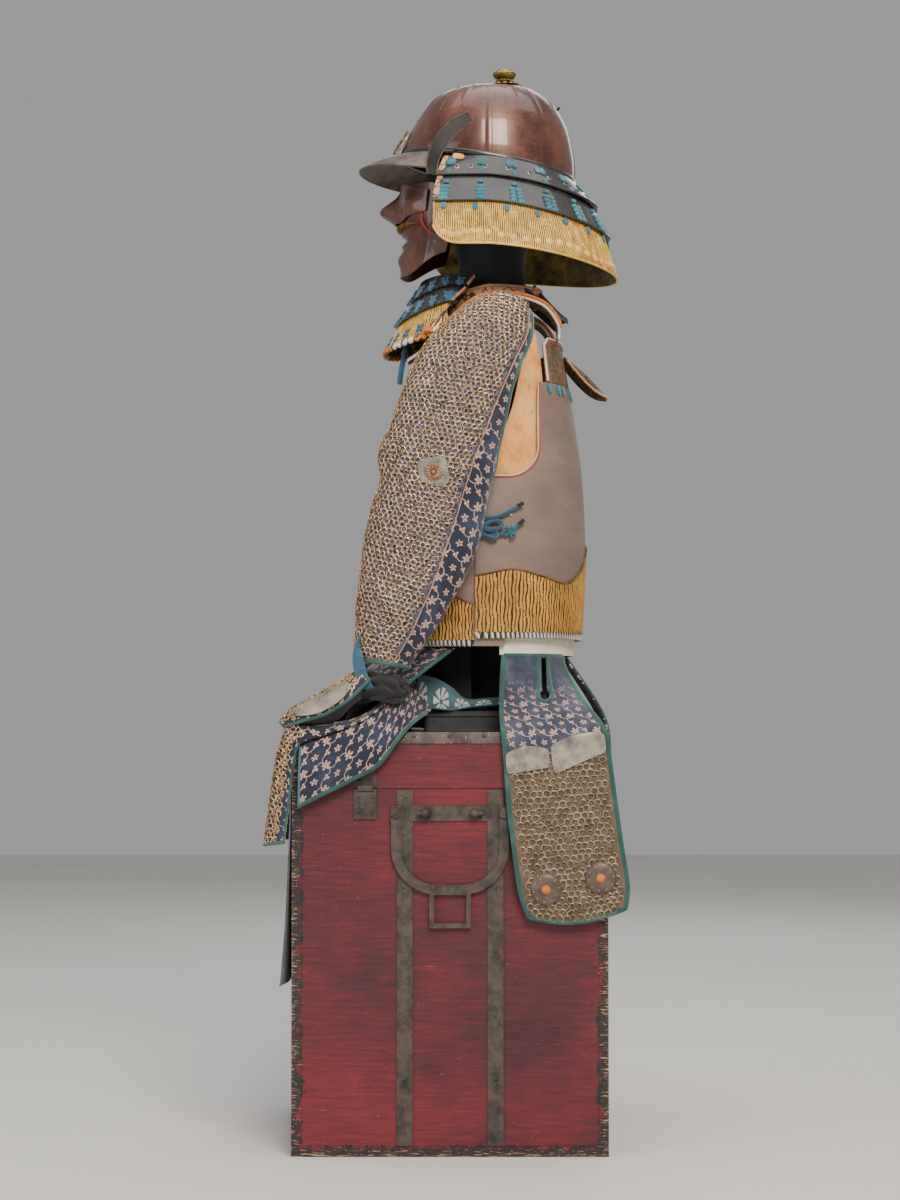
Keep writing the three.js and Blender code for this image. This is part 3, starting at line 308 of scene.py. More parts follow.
def mesh_piece(name: str, corners: Array, faces: Sequence[Sequence[int]]) -> Piece:
    """Makes a piece from its corners and faces.

    Args:
        name: the piece's name.
        corners: the corners, in millimetres.
        faces: the numbers of each face's corners.

    Returns:
        The piece.
    """
    mesh = bpy.data.meshes.new(name)
    mesh.from_pydata((corners * MM).tolist(), [], [tuple(face) for face in faces])
    mesh.validate()
    piece = bpy.data.objects.new(name, mesh)
    bpy.context.scene.collection.objects.link(piece)
    return piece


def scatter(
    name: str, shape: Shape, places: Sequence[Sequence[float]], axes: Array,
    sizes: Array | Sequence[float] = (1, 1, 1),
) -> Piece:
    """Repeats a small shape at many places as one piece.

    Args:
        name: the piece's name.
        shape: what is repeated.
        places: one point for each copy.
        axes: the directions of the shape's X, Y and Z, for each copy or for all.
        sizes: what its X, Y and Z are multiplied by, for each copy or for all.

    Returns:
        The piece.
    """
    count = len(places)
    scaled = shape.corners[None] * np.broadcast_to(sizes, (count, 3))[:, None, :]
    axes = np.broadcast_to(axes, (count, 3, 3))
    corners = np.asarray(places, float)[:, None, :] + np.einsum("nvk,nkc->nvc", scaled, axes)
    size = len(shape.corners)
    faces = [tuple(i + n * size for i in face) for n in range(count) for face in shape.faces]
    return mesh_piece(name, corners.reshape(-1, 3), faces)


def axes_on(
    surface: Surface, u: Array, v: Array, behind: Sequence[float], turn: Array | float = 0.0
) -> tuple[Array, Array]:
    """Places shapes on a surface.

    Args:
        surface: what they lie on.
        u: where, across it.
        v: where, along it.
        behind: a point on its inner side.
        turn: how far each one is turned about the normal, in radians.

    Returns:
        The points, and for each one the directions across, along and out of the surface.
    """
    normal = normals_of(surface, u, v, behind)
    along = unit(surface(u, v + 2e-3) - surface(u, v - 2e-3))
    across = unit(np.cross(along, normal))
    along = np.cross(normal, across)
    c, s = np.cos(turn)[..., None], np.sin(turn)[..., None]
    turned = across * c + along * s
    return surface(u, v), np.stack([turned, along * c - across * s, normal], axis=-2)


def sheet_piece(
    name: str, surface: Surface, counts: tuple[int, int], thickness: float, behind: Sequence[float],
    loop: bool = False,
) -> Piece:
    """Models a sheet or plate: a grid shaped to a surface, then given its wall.

    Its UV map is in metres along the surface, so that woven and printed patterns follow it.

    Args:
        name: the piece's name.
        surface: its outer face.
        counts: the grid's divisions across and along.
        thickness: the wall, in millimetres, which is added on the inner side.
        behind: a point on its inner side.
        loop: whether the two side edges meet.

    Returns:
        The piece.
    """
    bpy.ops.object.select_all(action="DESELECT")
    bpy.ops.mesh.primitive_grid_add(x_subdivisions=counts[0], y_subdivisions=counts[1], size=1)
    piece = bpy.context.object
    piece.name = piece.data.name = name
    flat = np.array([vertex.co for vertex in piece.data.vertices])
    order = np.lexsort((np.round(flat[:, 0], 6), np.round(flat[:, 1], 6)))
    u, v = np.meshgrid(np.linspace(0, 1, counts[0] + 1), np.linspace(0, 1, counts[1] + 1))
    points = surface(u, v)
    normal = np.cross(points[:-1, 1:] - points[:-1, :-1], points[1:, :-1] - points[:-1, :-1])
    if np.sum(normal * (points[:-1, :-1] - np.array(behind, float))) < 0:
        points = points[:, ::-1]
    across = np.linalg.norm(np.diff(points, axis=1), axis=2)
    along = np.linalg.norm(np.diff(points, axis=0), axis=2)
    middle = points.shape[1] // 2
    s = np.concatenate([np.zeros((len(points), 1)), np.cumsum(across, axis=1)], axis=1)
    s -= s[:, middle : middle + 1]
    t = np.concatenate([[0], np.cumsum(np.mean(along, axis=1))])[:, None] + 0 * s
    corners = np.empty((len(flat), 3))
    corners[order] = points.reshape(-1, 3) * MM
    piece.data.vertices.foreach_set("co", corners.ravel())
    places = np.empty((len(flat), 2))
    places[order] = np.stack([s, -t], axis=-1).reshape(-1, 2) * MM
    loops = np.empty(len(piece.data.loops), int)
    piece.data.loops.foreach_get("vertex_index", loops)
    piece.data.uv_layers[0].data.foreach_set("uv", places[loops].ravel())
    piece.data.update()
    if loop:
        edit(piece, lambda: bpy.ops.mesh.remove_doubles(threshold=2e-5))
    if thickness:
        apply_modifier(piece, "SOLIDIFY", thickness=thickness * MM, offset=-1.0)
    return piece


def swept(
    name: str, path: Array, out: Array, half: tuple[float, float], rib: float = 0.0, closed: bool = False,
    sides: int = 6,
) -> Piece:
    """Makes a braid, cord or piping: an oval section carried along a path.

    Args:
        name: the piece's name.
        path: the points of its middle line.
        out: the direction of the section's second half size, at each point or at all.
        half: the section's half sizes, beside the path and along `out`.
        rib: how much every second section is narrowed, as a share.
        closed: whether the path is a ring.
        sides: how many corners a section has.

    Returns:
        The piece, with its UV map's first number in metres along the path.
    """
    ahead = np.roll(path, -1, 0) - np.roll(path, 1, 0) if closed else np.gradient(path, axis=0)
    ahead = unit(ahead)
    side = unit(np.cross(ahead, out))
    out = np.cross(side, ahead)
    turn = 2 * np.pi * np.arange(sides) / sides
    grow = 1 - rib * (np.arange(len(path)) % 2)
    c, s = np.cos(turn)[None, :, None], np.sin(turn)[None, :, None]
    ring = half[0] * c * side[:, None] + half[1] * s * out[:, None]
    corners = path[:, None] + ring * grow[:, None, None]
    count = len(path)
    rows = range(count if closed else count - 1)
    faces: list[Sequence[int]] = [
        (i * sides + k, i * sides + (k + 1) % sides, j * sides + (k + 1) % sides, j * sides + k)
        for i in rows
        for j in [(i + 1) % count]
        for k in range(sides)
    ]
    if not closed:
        faces += [list(range(sides))[::-1], [(count - 1) * sides + k for k in range(sides)]]
    piece = mesh_piece(name, corners.reshape(-1, 3), faces)
    face_outwards(piece)
    arc = running_length(path)
    layer = piece.data.uv_layers.new(name="UVMap")
    loops = np.empty(len(piece.data.loops), int)
    piece.data.loops.foreach_get("vertex_index", loops)
    around = (loops % sides) / sides * 2 * math.pi * max(half)
    layer.data.foreach_set("uv", (np.stack([around, arc[loops // sides]], axis=1) * MM).ravel())
    return piece


def smooth_path(points: Sequence[Sequence[float]], pitch: float) -> Array:
    """Carries a smooth curve through points.

    Args:
        points: what it goes through.
        pitch: about how far apart the curve's own points are.

    Returns:
        The curve's points.
    """
    table = Table("x y z", *[tuple(p) for p in points])
    fine = table.at(np.linspace(0, 1, 40 * len(points)))
    line = xyz(fine["x"], fine["y"], fine["z"])
    arc = running_length(line)
    wanted = np.linspace(0, arc[-1], max(4, round(arc[-1] / pitch)) + 1)
    return np.stack([np.interp(wanted, arc, line[:, k]) for k in range(3)], axis=1)


def edge_path(surface: Surface, u: Array, v: Array, pitch: float) -> tuple[Array, Array]:
    """Follows a line drawn on a surface in even steps.

    Args:
        surface: what it is drawn on.
        u: the line's places across the surface.
        v: its places along the surface.
        pitch: the distance between the points that are returned.

    Returns:
        The line's shares across and along the surface.
    """
    share = np.linspace(0, 1, 800)
    fine_u = np.interp(share, np.linspace(0, 1, len(u)), u)
    fine_v = np.interp(share, np.linspace(0, 1, len(v)), v)
    line = surface(fine_u, fine_v)
    arc = running_length(line)
    wanted = np.linspace(0, arc[-1], max(4, round(arc[-1] / pitch)) + 1)
    return np.interp(wanted, arc, fine_u), np.interp(wanted, arc, fine_v)


def mirrored(piece: Piece) -> Piece:
    """Makes the right-hand twin of a left-hand piece, dressed and riding as it is.

    Args:
        piece: the left-hand piece; where its name or its nodes' names say left, the twin's say right.

    Returns:
        The twin.
    """
    twin = piece.copy()
    twin.data = piece.data.copy()
    twin.name = twin.data.name = piece.name.replace("_left", "_right")
    twin.data.transform(Matrix.Diagonal((-1, 1, 1, 1)))
    twin.data.flip_normals()
    bpy.context.scene.collection.objects.link(twin)
    nodes = [node.replace("_left", "_right") for node in piece.get("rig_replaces", [])]
    if nodes:
        del twin["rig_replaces"]
        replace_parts(twin, *nodes)
    return twin


# ------------------------------------------------------------------ materials


def linear(colour: str) -> tuple[float, float, float, float]:
    """Turns an sRGB colour to linear light.

    Args:
        colour: the colour as a hash and six hex digits.

    Returns:
        Its red, green, blue and a full alpha.
    """
    parts = [int(colour[i : i + 2], 16) / 255 for i in (1, 3, 5)]
    r, g, b = (p / 12.92 if p <= 0.04045 else ((p + 0.055) / 1.055) ** 2.4 for p in parts)
    return r, g, b, 1.0


Ramp = tuple[tuple[float, str], ...]


class Graph:
    """The node tree of one material, built up from its shader back."""

    def __init__(self, name: str) -> None:
        """Starts a material of this name with one Principled shader.

        Args:
            name: the material's name.
        """
        self.material = bpy.data.materials.new(name)
        self.material.use_nodes = True
        self.tree = self.material.node_tree
        self.shader = self.tree.nodes["Principled BSDF"]

    def add(self, kind: str, inputs: dict | Sequence = (), **settings: object) -> bpy.types.Node:
        """Adds a node with its settings and links.

        Args:
            kind: the node's type after "ShaderNode".
            inputs: for each socket's number, a value, a node or an output; a list starts at 0.
            settings: the node's properties; `ramp` gives a colour ramp's (place, hex) stops.

        Returns:
            The node.
        """
        node = self.tree.nodes.new("ShaderNode" + kind)
        for name, value in settings.items():
            if name == "ramp":
                stops = node.color_ramp.elements
                for place, colour in value[2:]:
                    stops.new(place)
                for stop, (place, colour) in zip(stops, sorted(value), strict=True):
                    stop.position = place
                    stop.color = linear(colour)
            else:
                setattr(node, name, value)
        numbered = inputs.items() if isinstance(inputs, dict) else enumerate(inputs)
        for number, value in numbered:
            if isinstance(value, bpy.types.Node):
                value = next(output for output in value.outputs if output.enabled)
            if isinstance(value, bpy.types.NodeSocket):
                self.tree.links.new(value, node.inputs[number])
            elif value is not None:
                node.inputs[number].default_value = value
        return node

    def set(self, **values: object) -> None:
        """Sets or links the shader's sockets, named with underscores for their spaces."""
        for name, value in values.items():
            socket = self.shader.inputs[name.replace("_", " ")]
            if isinstance(value, bpy.types.Node):
                value = next(output for output in value.outputs if output.enabled)
            if isinstance(value, bpy.types.NodeSocket):
                self.tree.links.new(value, socket)
            else:
                socket.default_value = linear(value) if isinstance(value, str) else value


@dataclass(frozen=True)
class Finish:
    """What a surface is made of: a real material, under its common name, and its record slot."""

    name: str
    slot: str

    def paint(self, graph: Graph) -> None:
        """Builds the material's nodes."""
        raise NotImplementedError

    def material(self) -> bpy.types.Material:
        """Returns the finish's material, made the first time that it is asked for."""
        found = bpy.data.materials.get(self.name)
        if found is None:
            graph = Graph(self.name)
            self.paint(graph)
            found = graph.material
        return found


@dataclass(frozen=True)
class Mottled(Finish):
    """A surface whose colour drifts in cloudy patches, with fine flecks and a fine grain."""

    ramp: Ramp
    patch_mm: float = 40.0
    fleck: str = "#000000"
    fleck_share: float = 0.0
    fleck_mm: float = 1.5
    roughness: float = 0.5
    metallic: float = 0.0
    coat: float = 0.0
    sheen: float = 0.0
    grain_mm: float = 1.0
    grain: float = 0.15
    stretch: tuple[float, float, float] = (1.0, 1.0, 1.0)

    def paint(self, graph: Graph) -> None:
        """Builds the patches from soft noise, the flecks from the peaks of a fine one.

        Args:
            graph: the material's nodes.
        """
        place = graph.add("TexCoord").outputs["Object"]
        scaled = graph.add("Mapping", {0: place, 3: self.stretch})
        patches = graph.add("TexNoise", {0: scaled, 2: 1000 / self.patch_mm, 3: 5.0, 4: 0.62})
        colour = graph.add("ValToRGB", [patches], ramp=self.ramp)
        if self.fleck_share:
            fine = graph.add("TexNoise", {0: place, 2: 1000 / self.fleck_mm, 3: 2.0, 4: 0.5})
            low = 0.72 - self.fleck_share
            stops = ((low, "#000000"), (low + 0.05, "#ffffff"))
            spots = graph.add("ValToRGB", [fine], ramp=stops)
            mixed = {0: spots, 6: colour, 7: linear(self.fleck)}
            colour = graph.add("Mix", mixed, data_type="RGBA")
        dull = graph.add("MapRange", {0: patches, 3: self.roughness - 0.08, 4: self.roughness + 0.12})
        fine = graph.add("TexNoise", {0: scaled, 2: 1000 / self.grain_mm, 3: 3.0})
        bump = graph.add("Bump", {0: self.grain, 1: 0.0006, 3: fine})
        graph.set(Base_Color=colour, Roughness=dull, Metallic=self.metallic, Normal=bump)
        graph.set(Coat_Weight=self.coat, Sheen_Weight=self.sheen)


@dataclass(frozen=True)
class WornLacquer(Finish):
    """Lacquer over a softwood chest: brushed along the boards, rubbed through at the edges."""

    half: tuple[float, float, float]
    middle_z: float

    def paint(self, graph: Graph) -> None:
        """Brush marks run level; wear follows the distance to the chest's edges.

        Args:
            graph: the material's nodes.
        """
        place = graph.add("TexCoord").outputs["Object"]
        streaked = graph.add("Mapping", {0: place, 3: (1.0, 1.0, 12.0)})
        brush = graph.add("TexNoise", {0: streaked, 2: 20.0, 3: 9.0, 4: 0.75})
        clouds = graph.add("TexNoise", {0: place, 2: 6.0, 3: 3.0, 4: 0.6})
        both = graph.add("Math", [brush, clouds], operation="MULTIPLY")
        stops = ((0.12, "#34131b"), (0.2, "#4e1621"), (0.27, "#5f1923"), (0.37, "#741e27"))
        red = graph.add("ValToRGB", [both], ramp=stops)

        centred = graph.add("VectorMath", [place, (0.0, 0.0, self.middle_z * MM)], operation="SUBTRACT")
        beside = graph.add("VectorMath", [centred], operation="ABSOLUTE")
        inside = graph.add("VectorMath", [tuple(h * MM for h in self.half), beside], operation="SUBTRACT")
        parts = graph.add("SeparateXYZ", [inside])
        x, y, z = parts.outputs
        near = [graph.add("Math", pair, operation="MAXIMUM") for pair in ((x, y), (y, z), (z, x))]
        first = graph.add("Math", near[:2], operation="MINIMUM")
        edge = graph.add("Math", [first, near[2]], operation="MINIMUM")

        ragged = graph.add("TexNoise", {0: place, 2: 55.0, 3: 8.0, 4: 0.7})
        reach = graph.add("MapRange", {0: ragged, 1: 0.35, 2: 0.7, 3: 0.004, 4: 0.022})
        black = graph.add("Math", [edge, reach], operation="LESS_THAN")
        dark = graph.add("Mix", {0: black, 6: red, 7: linear("#241d1f")}, data_type="RGBA")
        chips = graph.add("TexNoise", {0: streaked, 2: 60.0, 3: 7.0, 4: 0.8})
        depth = graph.add("MapRange", {0: edge, 1: 0.0, 2: 0.02, 3: 0.55, 4: 0.668})
        bare = graph.add("Math", [chips, depth], operation="GREATER_THAN")
        colour = graph.add("Mix", {0: bare, 6: dark, 7: linear("#c79d78")}, data_type="RGBA")

        height = graph.add("Math", [bare, -0.6], operation="MULTIPLY")
        relief = graph.add("Math", [height, brush], operation="ADD")
        bump = graph.add("Bump", {0: 0.35, 1: 0.0008, 3: relief})
        dull = graph.add("MapRange", {0: brush, 3: 0.36, 4: 0.62})
        graph.set(Base_Color=colour, Roughness=dull, Normal=bump, Coat_Weight=0.08)


@dataclass(frozen=True)
class Weave(Finish):
    """Plain woven cloth: two crossed sets of threads, with a cloudy fading."""

    ramp: Ramp
    # Real threads are 0.4 mm apart, which is too fine to see, so that they are drawn coarser.
    thread_mm: float = 2.4
    sheen: float = 0.25

    def paint(self, graph: Graph) -> None:
        """Crosses two sine waves at the threads' spacing."""
        flat = graph.add("TexCoord").outputs["UV"]
        self.threads(graph, flat, self.faded(graph))

    def faded(self, graph: Graph) -> bpy.types.Node:
        """Returns the ground colour, faded in patches.

        Args:
            graph: the material's nodes.

        Returns:
            The colour.
        """
        place = graph.add("TexCoord").outputs["Object"]
        fading = graph.add("TexNoise", {0: place, 2: 22.0, 3: 6.0, 4: 0.7})
        return graph.add("ValToRGB", [fading], ramp=self.ramp)

    def threads(self, graph: Graph, flat: bpy.types.NodeSocket, colour: bpy.types.Node) -> None:
        """Lays the threads' relief and shade over a colour, and sets the shader.

        Args:
            graph: the material's nodes.
            flat: the cloth's own coordinates, in metres.
            colour: what the threads are dyed.
        """
        turns = 2 * math.pi / (self.thread_mm * MM)
        parts = graph.add("SeparateXYZ", [flat])
        waves = []
        for part in parts.outputs[:2]:
            angle = graph.add("Math", [part, turns], operation="MULTIPLY")
            waves.append(graph.add("Math", [angle], operation="SINE"))
        crossed = graph.add("Math", waves, operation="MULTIPLY")
        shade = graph.add("MapRange", {0: crossed, 1: -1.0, 2: 1.0, 3: 0.72, 4: 1.0})
        tinted = graph.add("Mix", {0: 1.0, 6: colour, 7: shade}, data_type="RGBA", blend_type="MULTIPLY")
        bump = graph.add("Bump", {0: 0.3, 1: 0.0004, 3: crossed})
        graph.set(Base_Color=tinted, Roughness=0.92, Normal=bump, Sheen_Weight=self.sheen)


@dataclass(frozen=True)
class Brocade(Weave):
    """Indigo cloth with small five-petalled flowers and leaves on winding stems."""

    flower: str = "#c9a595"
    repeat_mm: float = 31.0
    wear: float = 0.47
    rubbed_above: float = 9.0

    def paint(self, graph: Graph) -> None:
        """Draws stems as sine curves and sets flowers and leaves on a staggered grid beside them.

        Args:
            graph: the material's nodes.
        """
        flat = graph.add("TexCoord").outputs["UV"]
        noise = graph.add("TexNoise", {0: flat, 2: 60.0, 3: 2.0})
        shift = graph.add("VectorMath", [noise.outputs["Color"], (0.5, 0.5, 0.5)], operation="SUBTRACT")
        stray = {0: shift, 1: (0.005, 0.005, 0.0), 2: flat}
        strayed = graph.add("VectorMath", stray, operation="MULTIPLY_ADD")
        cell = graph.add("VectorMath", {0: strayed, 3: 1000 / self.repeat_mm}, operation="SCALE")

        drawn = [self.stems(graph, cell)]
        marks = ((0.0, 0.0, 5, 0.19), (0.5, 0.5, 5, 0.15), (0.5, 0.03, 3, 0.13), (0.02, 0.52, 3, 0.13))
        for x, y, lobes, size in marks:
            drawn.append(self.bloom(graph, cell, (x, y), lobes, size))
        ink = drawn[0]
        for mark in drawn[1:]:
            ink = graph.add("Math", [ink, mark], operation="MAXIMUM")
        worn = graph.add("TexNoise", {0: flat, 2: 900.0, 3: 3.0})
        up = graph.add("SeparateXYZ", [graph.add("TexCoord").outputs["Object"]]).outputs[2]
        low, high = self.rubbed_above - 0.02, self.rubbed_above + 0.03
        rubbed = graph.add("MapRange", {0: up, 1: low, 2: high, 3: 0.0, 4: 0.32})
        lost = graph.add("Math", [rubbed, self.wear - 0.13], operation="ADD")
        kept = graph.add("Math", [worn, lost], operation="GREATER_THAN")
        ink = graph.add("Math", [ink, kept], operation="MULTIPLY")
        colour = graph.add("Mix", {0: ink, 6: self.faded(graph), 7: linear(self.flower)}, data_type="RGBA")
        self.threads(graph, flat, colour)

    def stems(self, graph: Graph, cell: bpy.types.Node) -> bpy.types.Node:
        """Returns a mask of the winding stems, which run both ways through the cells.

        Args:
            graph: the material's nodes.
            cell: the cloth's coordinates, counted in repeats.

        Returns:
            The mask.
        """
        x, y = graph.add("SeparateXYZ", [cell]).outputs[:2]
        masks = []
        for run, side in ((x, y), (y, x)):
            angle = graph.add("Math", [run, 2 * math.pi], operation="MULTIPLY")
            wave = graph.add("Math", [angle], operation="SINE")
            bent = graph.add("Math", {0: wave, 1: 0.17, 2: side}, operation="MULTIPLY_ADD")
            near = graph.add("Math", [bent, 0.5], operation="PINGPONG")
            masks.append(graph.add("Math", [near, 0.017], operation="LESS_THAN"))
        return graph.add("Math", masks, operation="MAXIMUM")

    def bloom(
        self, graph: Graph, cell: bpy.types.Node, centre: tuple[float, float], lobes: int, size: float
    ) -> bpy.types.Node:
        """Returns a mask of one flower or leaf sprig in every cell.

        Args:
            graph: the material's nodes.
            cell: the cloth's coordinates, counted in repeats.
            centre: where in the cell it lies.
            lobes: how many petals it has.
            size: its radius, as a share of the repeat.
        """
        moved = graph.add("VectorMath", [cell, (0.5 - centre[0], 0.5 - centre[1], 0.0)], operation="ADD")
        inside = graph.add("VectorMath", [moved], operation="FRACTION")
        local = graph.add("VectorMath", [inside, (0.5, 0.5, 0.0)], operation="SUBTRACT")
        x, y = graph.add("SeparateXYZ", [local]).outputs[:2]
        flat = graph.add("CombineXYZ", [x, y])
        radius = graph.add("VectorMath", [flat], operation="LENGTH").outputs["Value"]
        turn = graph.add("Math", [y, x], operation="ARCTAN2")
        lobed = graph.add("Math", [turn, lobes / 2], operation="MULTIPLY")
        petal = graph.add("Math", [lobed], operation="COSINE")
        petal = graph.add("Math", [petal], operation="ABSOLUTE")
        reach = graph.add("Math", {0: petal, 1: size * 0.85, 2: size * 0.2}, operation="MULTIPLY_ADD")
        filled = graph.add("Math", [radius, reach], operation="LESS_THAN")
        eye = graph.add("Math", [radius, size * 0.22], operation="GREATER_THAN")
        return graph.add("Math", [filled, eye], operation="MULTIPLY")


@dataclass(frozen=True)
class Rippled(Finish):
    """Gold lacquer over wavy upright ridges, with the dark ground left in the grooves."""

    groove: tuple[float, float]
    gold: Ramp

    def paint(self, graph: Graph) -> None:
        """Reads the groove depth that the piece's own attribute holds.

        Args:
            graph: the material's nodes.
        """
        depth = graph.add("Attribute", attribute_name="groove").outputs["Fac"]
        place = graph.add("TexCoord").outputs["Object"]
        patches = graph.add("TexNoise", {0: place, 2: 45.0, 3: 5.0, 4: 0.7})
        gold = graph.add("ValToRGB", [patches], ramp=self.gold)
        worn = graph.add("TexNoise", {0: place, 2: 300.0, 3: 4.0})
        ragged = graph.add("Math", {0: worn, 1: 0.5, 2: depth}, operation="MULTIPLY_ADD")
        groove = graph.add("MapRange", {0: ragged, 1: self.groove[0], 2: self.groove[1]})
        colour = graph.add("Mix", {0: groove, 6: gold, 7: linear("#2b1c10")}, data_type="RGBA")
        bump = graph.add("Bump", {0: 0.3, 1: 0.0005, 3: worn})
        graph.set(Base_Color=colour, Roughness=0.5, Metallic=0.25, Normal=bump)


@dataclass(frozen=True)
class Printed(Weave):
    """Teal cotton printed with white many-petalled flowers."""

    repeat_mm: float = 52.0

    def paint(self, graph: Graph) -> None:
        """Draws rings of petals about the middle of every cell.

        Args:
            graph: the material's nodes.
        """
        flat = graph.add("TexCoord").outputs["UV"]
        cell = graph.add("VectorMath", {0: flat, 3: 1000 / self.repeat_mm}, operation="SCALE")
        inside = graph.add("VectorMath", [cell], operation="FRACTION")
        local = graph.add("VectorMath", [inside, (0.5, 0.5, 0.0)], operation="SUBTRACT")
        x, y = graph.add("SeparateXYZ", [local]).outputs[:2]
        radius = graph.add("VectorMath", [local], operation="LENGTH").outputs["Value"]
        turn = graph.add("Math", [y, x], operation="ARCTAN2")
        angle = graph.add("Math", [turn, 8.0], operation="MULTIPLY")
        petal = graph.add("Math", [angle], operation="COSINE")
        gap = graph.add("Math", [petal, -0.45], operation="GREATER_THAN")
        disc = graph.add("Math", [radius, 0.36], operation="LESS_THAN")
        eye = graph.add("Math", [radius, 0.07], operation="GREATER_THAN")
        shown = graph.add("Math", [gap, disc], operation="MULTIPLY")
        shown = graph.add("Math", [shown, eye], operation="MULTIPLY")
        colour = graph.add("Mix", {0: shown, 6: self.faded(graph), 7: linear("#cfd6cf")}, data_type="RGBA")
        self.threads(graph, flat, colour)


@dataclass(frozen=True)
class PrintedLeather(Finish):
    """Dyed leather stencilled with a winding pattern, worn at its high places."""

    ground: str
    print_colour: str
    figure_mm: float

    def paint(self, graph: Graph) -> None:
        """Takes the winding lines from the middle level of a smooth noise.

        Args:
            graph: the material's nodes.
        """
        place = graph.add("TexCoord").outputs["Object"]
        field_of = graph.add("TexNoise", {0: place, 2: 1000 / self.figure_mm, 3: 1.0, 4: 0.3})
        away = graph.add("Math", [field_of, 0.5], operation="SUBTRACT")
        away = graph.add("Math", [away], operation="ABSOLUTE")
        line = graph.add("MapRange", {0: away, 1: 0.02, 2: 0.045, 3: 1.0, 4: 0.0})
        age = graph.add("TexNoise", {0: place, 2: 40.0, 3: 5.0})
        dull = graph.add("MapRange", {0: age, 1: 0.3, 2: 0.7, 3: 0.6, 4: 1.0})
        colours = {0: line, 6: linear(self.ground), 7: linear(self.print_colour)}
        drawn = graph.add("Mix", colours, data_type="RGBA")
        colour = graph.add("Mix", {0: 1.0, 6: drawn, 7: dull}, data_type="RGBA", blend_type="MULTIPLY")
        grain = graph.add("TexVoronoi", {0: place, 2: 900.0})
        bump = graph.add("Bump", {0: 0.25, 1: 0.0005, 3: grain})
        graph.set(Base_Color=colour, Roughness=0.72, Normal=bump)


# Red lacquer on cedar boards: deep, brushed level, blackened and chipped to pale wood at its edges.
RED_LACQUER = WornLacquer("Red lacquered cedar", "red_lacquer", (205, 199, 265), 265)
# Forged strap iron: brown-black scale, rust in the pits, rubbed grey on its high places.
STRAP_IRON = Mottled(
    "Forged strap iron", "strap_iron", ((0.35, "#3a3634"), (0.5, "#4e4843"), (0.62, "#5e524b")),
    18, "#8a6a52", 0.05, 1.6, 0.62, 0.55, grain_mm=1.4, grain=0.5)
# Black lacquered softwood: dusty, with level brush marks.
BLACK_WOOD = Mottled(
    "Black lacquered softwood", "black_wood", ((0.3, "#232628"), (0.7, "#3b3f42")),
    30, "#6a6660", 0.04, 1.2, 0.68, stretch=(1, 1, 5))
# Worn black edging lacquer on the lid: grey where the black has gone, pale wood in the chips.
EDGE_LACQUER = Mottled(
    "Worn black edging lacquer", "red_lacquer", ((0.3, "#2b2827"), (0.5, "#504845"), (0.7, "#6d625c")),
    26, "#a98c74", 0.07, 3.0, 0.6, grain_mm=2.0, grain=0.4)
# Black cotton: matt, with a faint bloom of dust.
BLACK_COTTON = Mottled(
    "Black cotton", "black_cotton", ((0.3, "#111013"), (0.7, "#211f26")), 14, roughness=0.9, sheen=0.25,
    grain_mm=1.6, grain=0.5)
# Russet lacquer on iron: an even dark red-brown gloss, finely speckled with tan.
RUSSET_IRON = Mottled(
    "Russet lacquered iron", "russet_iron", ((0.3, "#3d2520"), (0.5, "#593529"), (0.7, "#704838")),
    45, "#a58a70", 0.045, 1.2, 0.3, 0.25, 0.35, grain=0.1)
# The brim's russet lacquer, dulled to grey-brown by handling.
DULL_RUSSET = Mottled(
    "Dulled russet lacquer", "russet_iron", ((0.3, "#3f332b"), (0.5, "#574a40"), (0.7, "#6d6054")),
    16, "#8f8070", 0.06, 1.2, 0.48, 0.3, 0.1)
# Black lacquer on iron: blue-grey where it catches the light.
BLACK_LACQUER = Mottled(
    "Black lacquered iron", "black_lacquer", ((0.3, "#211f20"), (0.7, "#3b3938")),
    35, "#8d8478", 0.02, 1.0, 0.24, 0.1, 0.5)
# Gold lacquer over ridges: deep yellow, brown in the grooves.
GOLD_LAME = Rippled(
    "Gold lacquer over ridges", "gold_lacquer", (0.7, 0.94), ((0.3, "#c48f2c"), (0.6, "#f2c45c")))
# The hem's gold lacquer, browner and more rubbed.
GOLD_HEM = Rippled(
    "Rubbed gold over ridges", "gold_lacquer", (0.8, 0.98), ((0.3, "#a87429"), (0.65, "#dca74e")))
# Gold leaf inside the neck guard, patched brown and darkened nearly to black as painted shade of the guard's
# hollow.
SHADE_DARKENED_GOLD = Mottled(
    "Old gold leaf", "gold_lacquer", ((0.35, "#2e2510"), (0.5, "#5f4f1e"), (0.7, "#8c7431")), 22,
    roughness=0.45, metallic=0.4)
# Darkened brass of the crest holder.
DARK_BRASS = Mottled(
    "Darkened brass", "brass", ((0.3, "#2c2620"), (0.5, "#4d4233"), (0.7, "#8b7a56")), 9,
    roughness=0.36, metallic=0.6)
# Cast brass: aged gilding, brown in its hollows.
BRASS = Mottled(
    "Gilt brass", "brass", ((0.3, "#53451f"), (0.5, "#8b763c"), (0.7, "#b39d60")), 12,
    roughness=0.34, metallic=0.85)
# Horse hair, stiff and straw brown.
BRISTLE = Mottled("Horse hair", "bristle", ((0.3, "#5f4522"), (0.7, "#a98247")), 3, roughness=0.6)
# Matt lacquer of the cuirass: grey-brown, almost flat, with faint level scuffs.
BROWN_LACQUER = Mottled(
    "Matt brown lacquer", "brown_lacquer", ((0.3, "#715e56"), (0.5, "#7d6960"), (0.7, "#89746a")),
    90, "#a18c80", 0.03, 0.9, 0.47, 0.05, grain_mm=1.5, grain=0.12, stretch=(1, 1, 2.5))
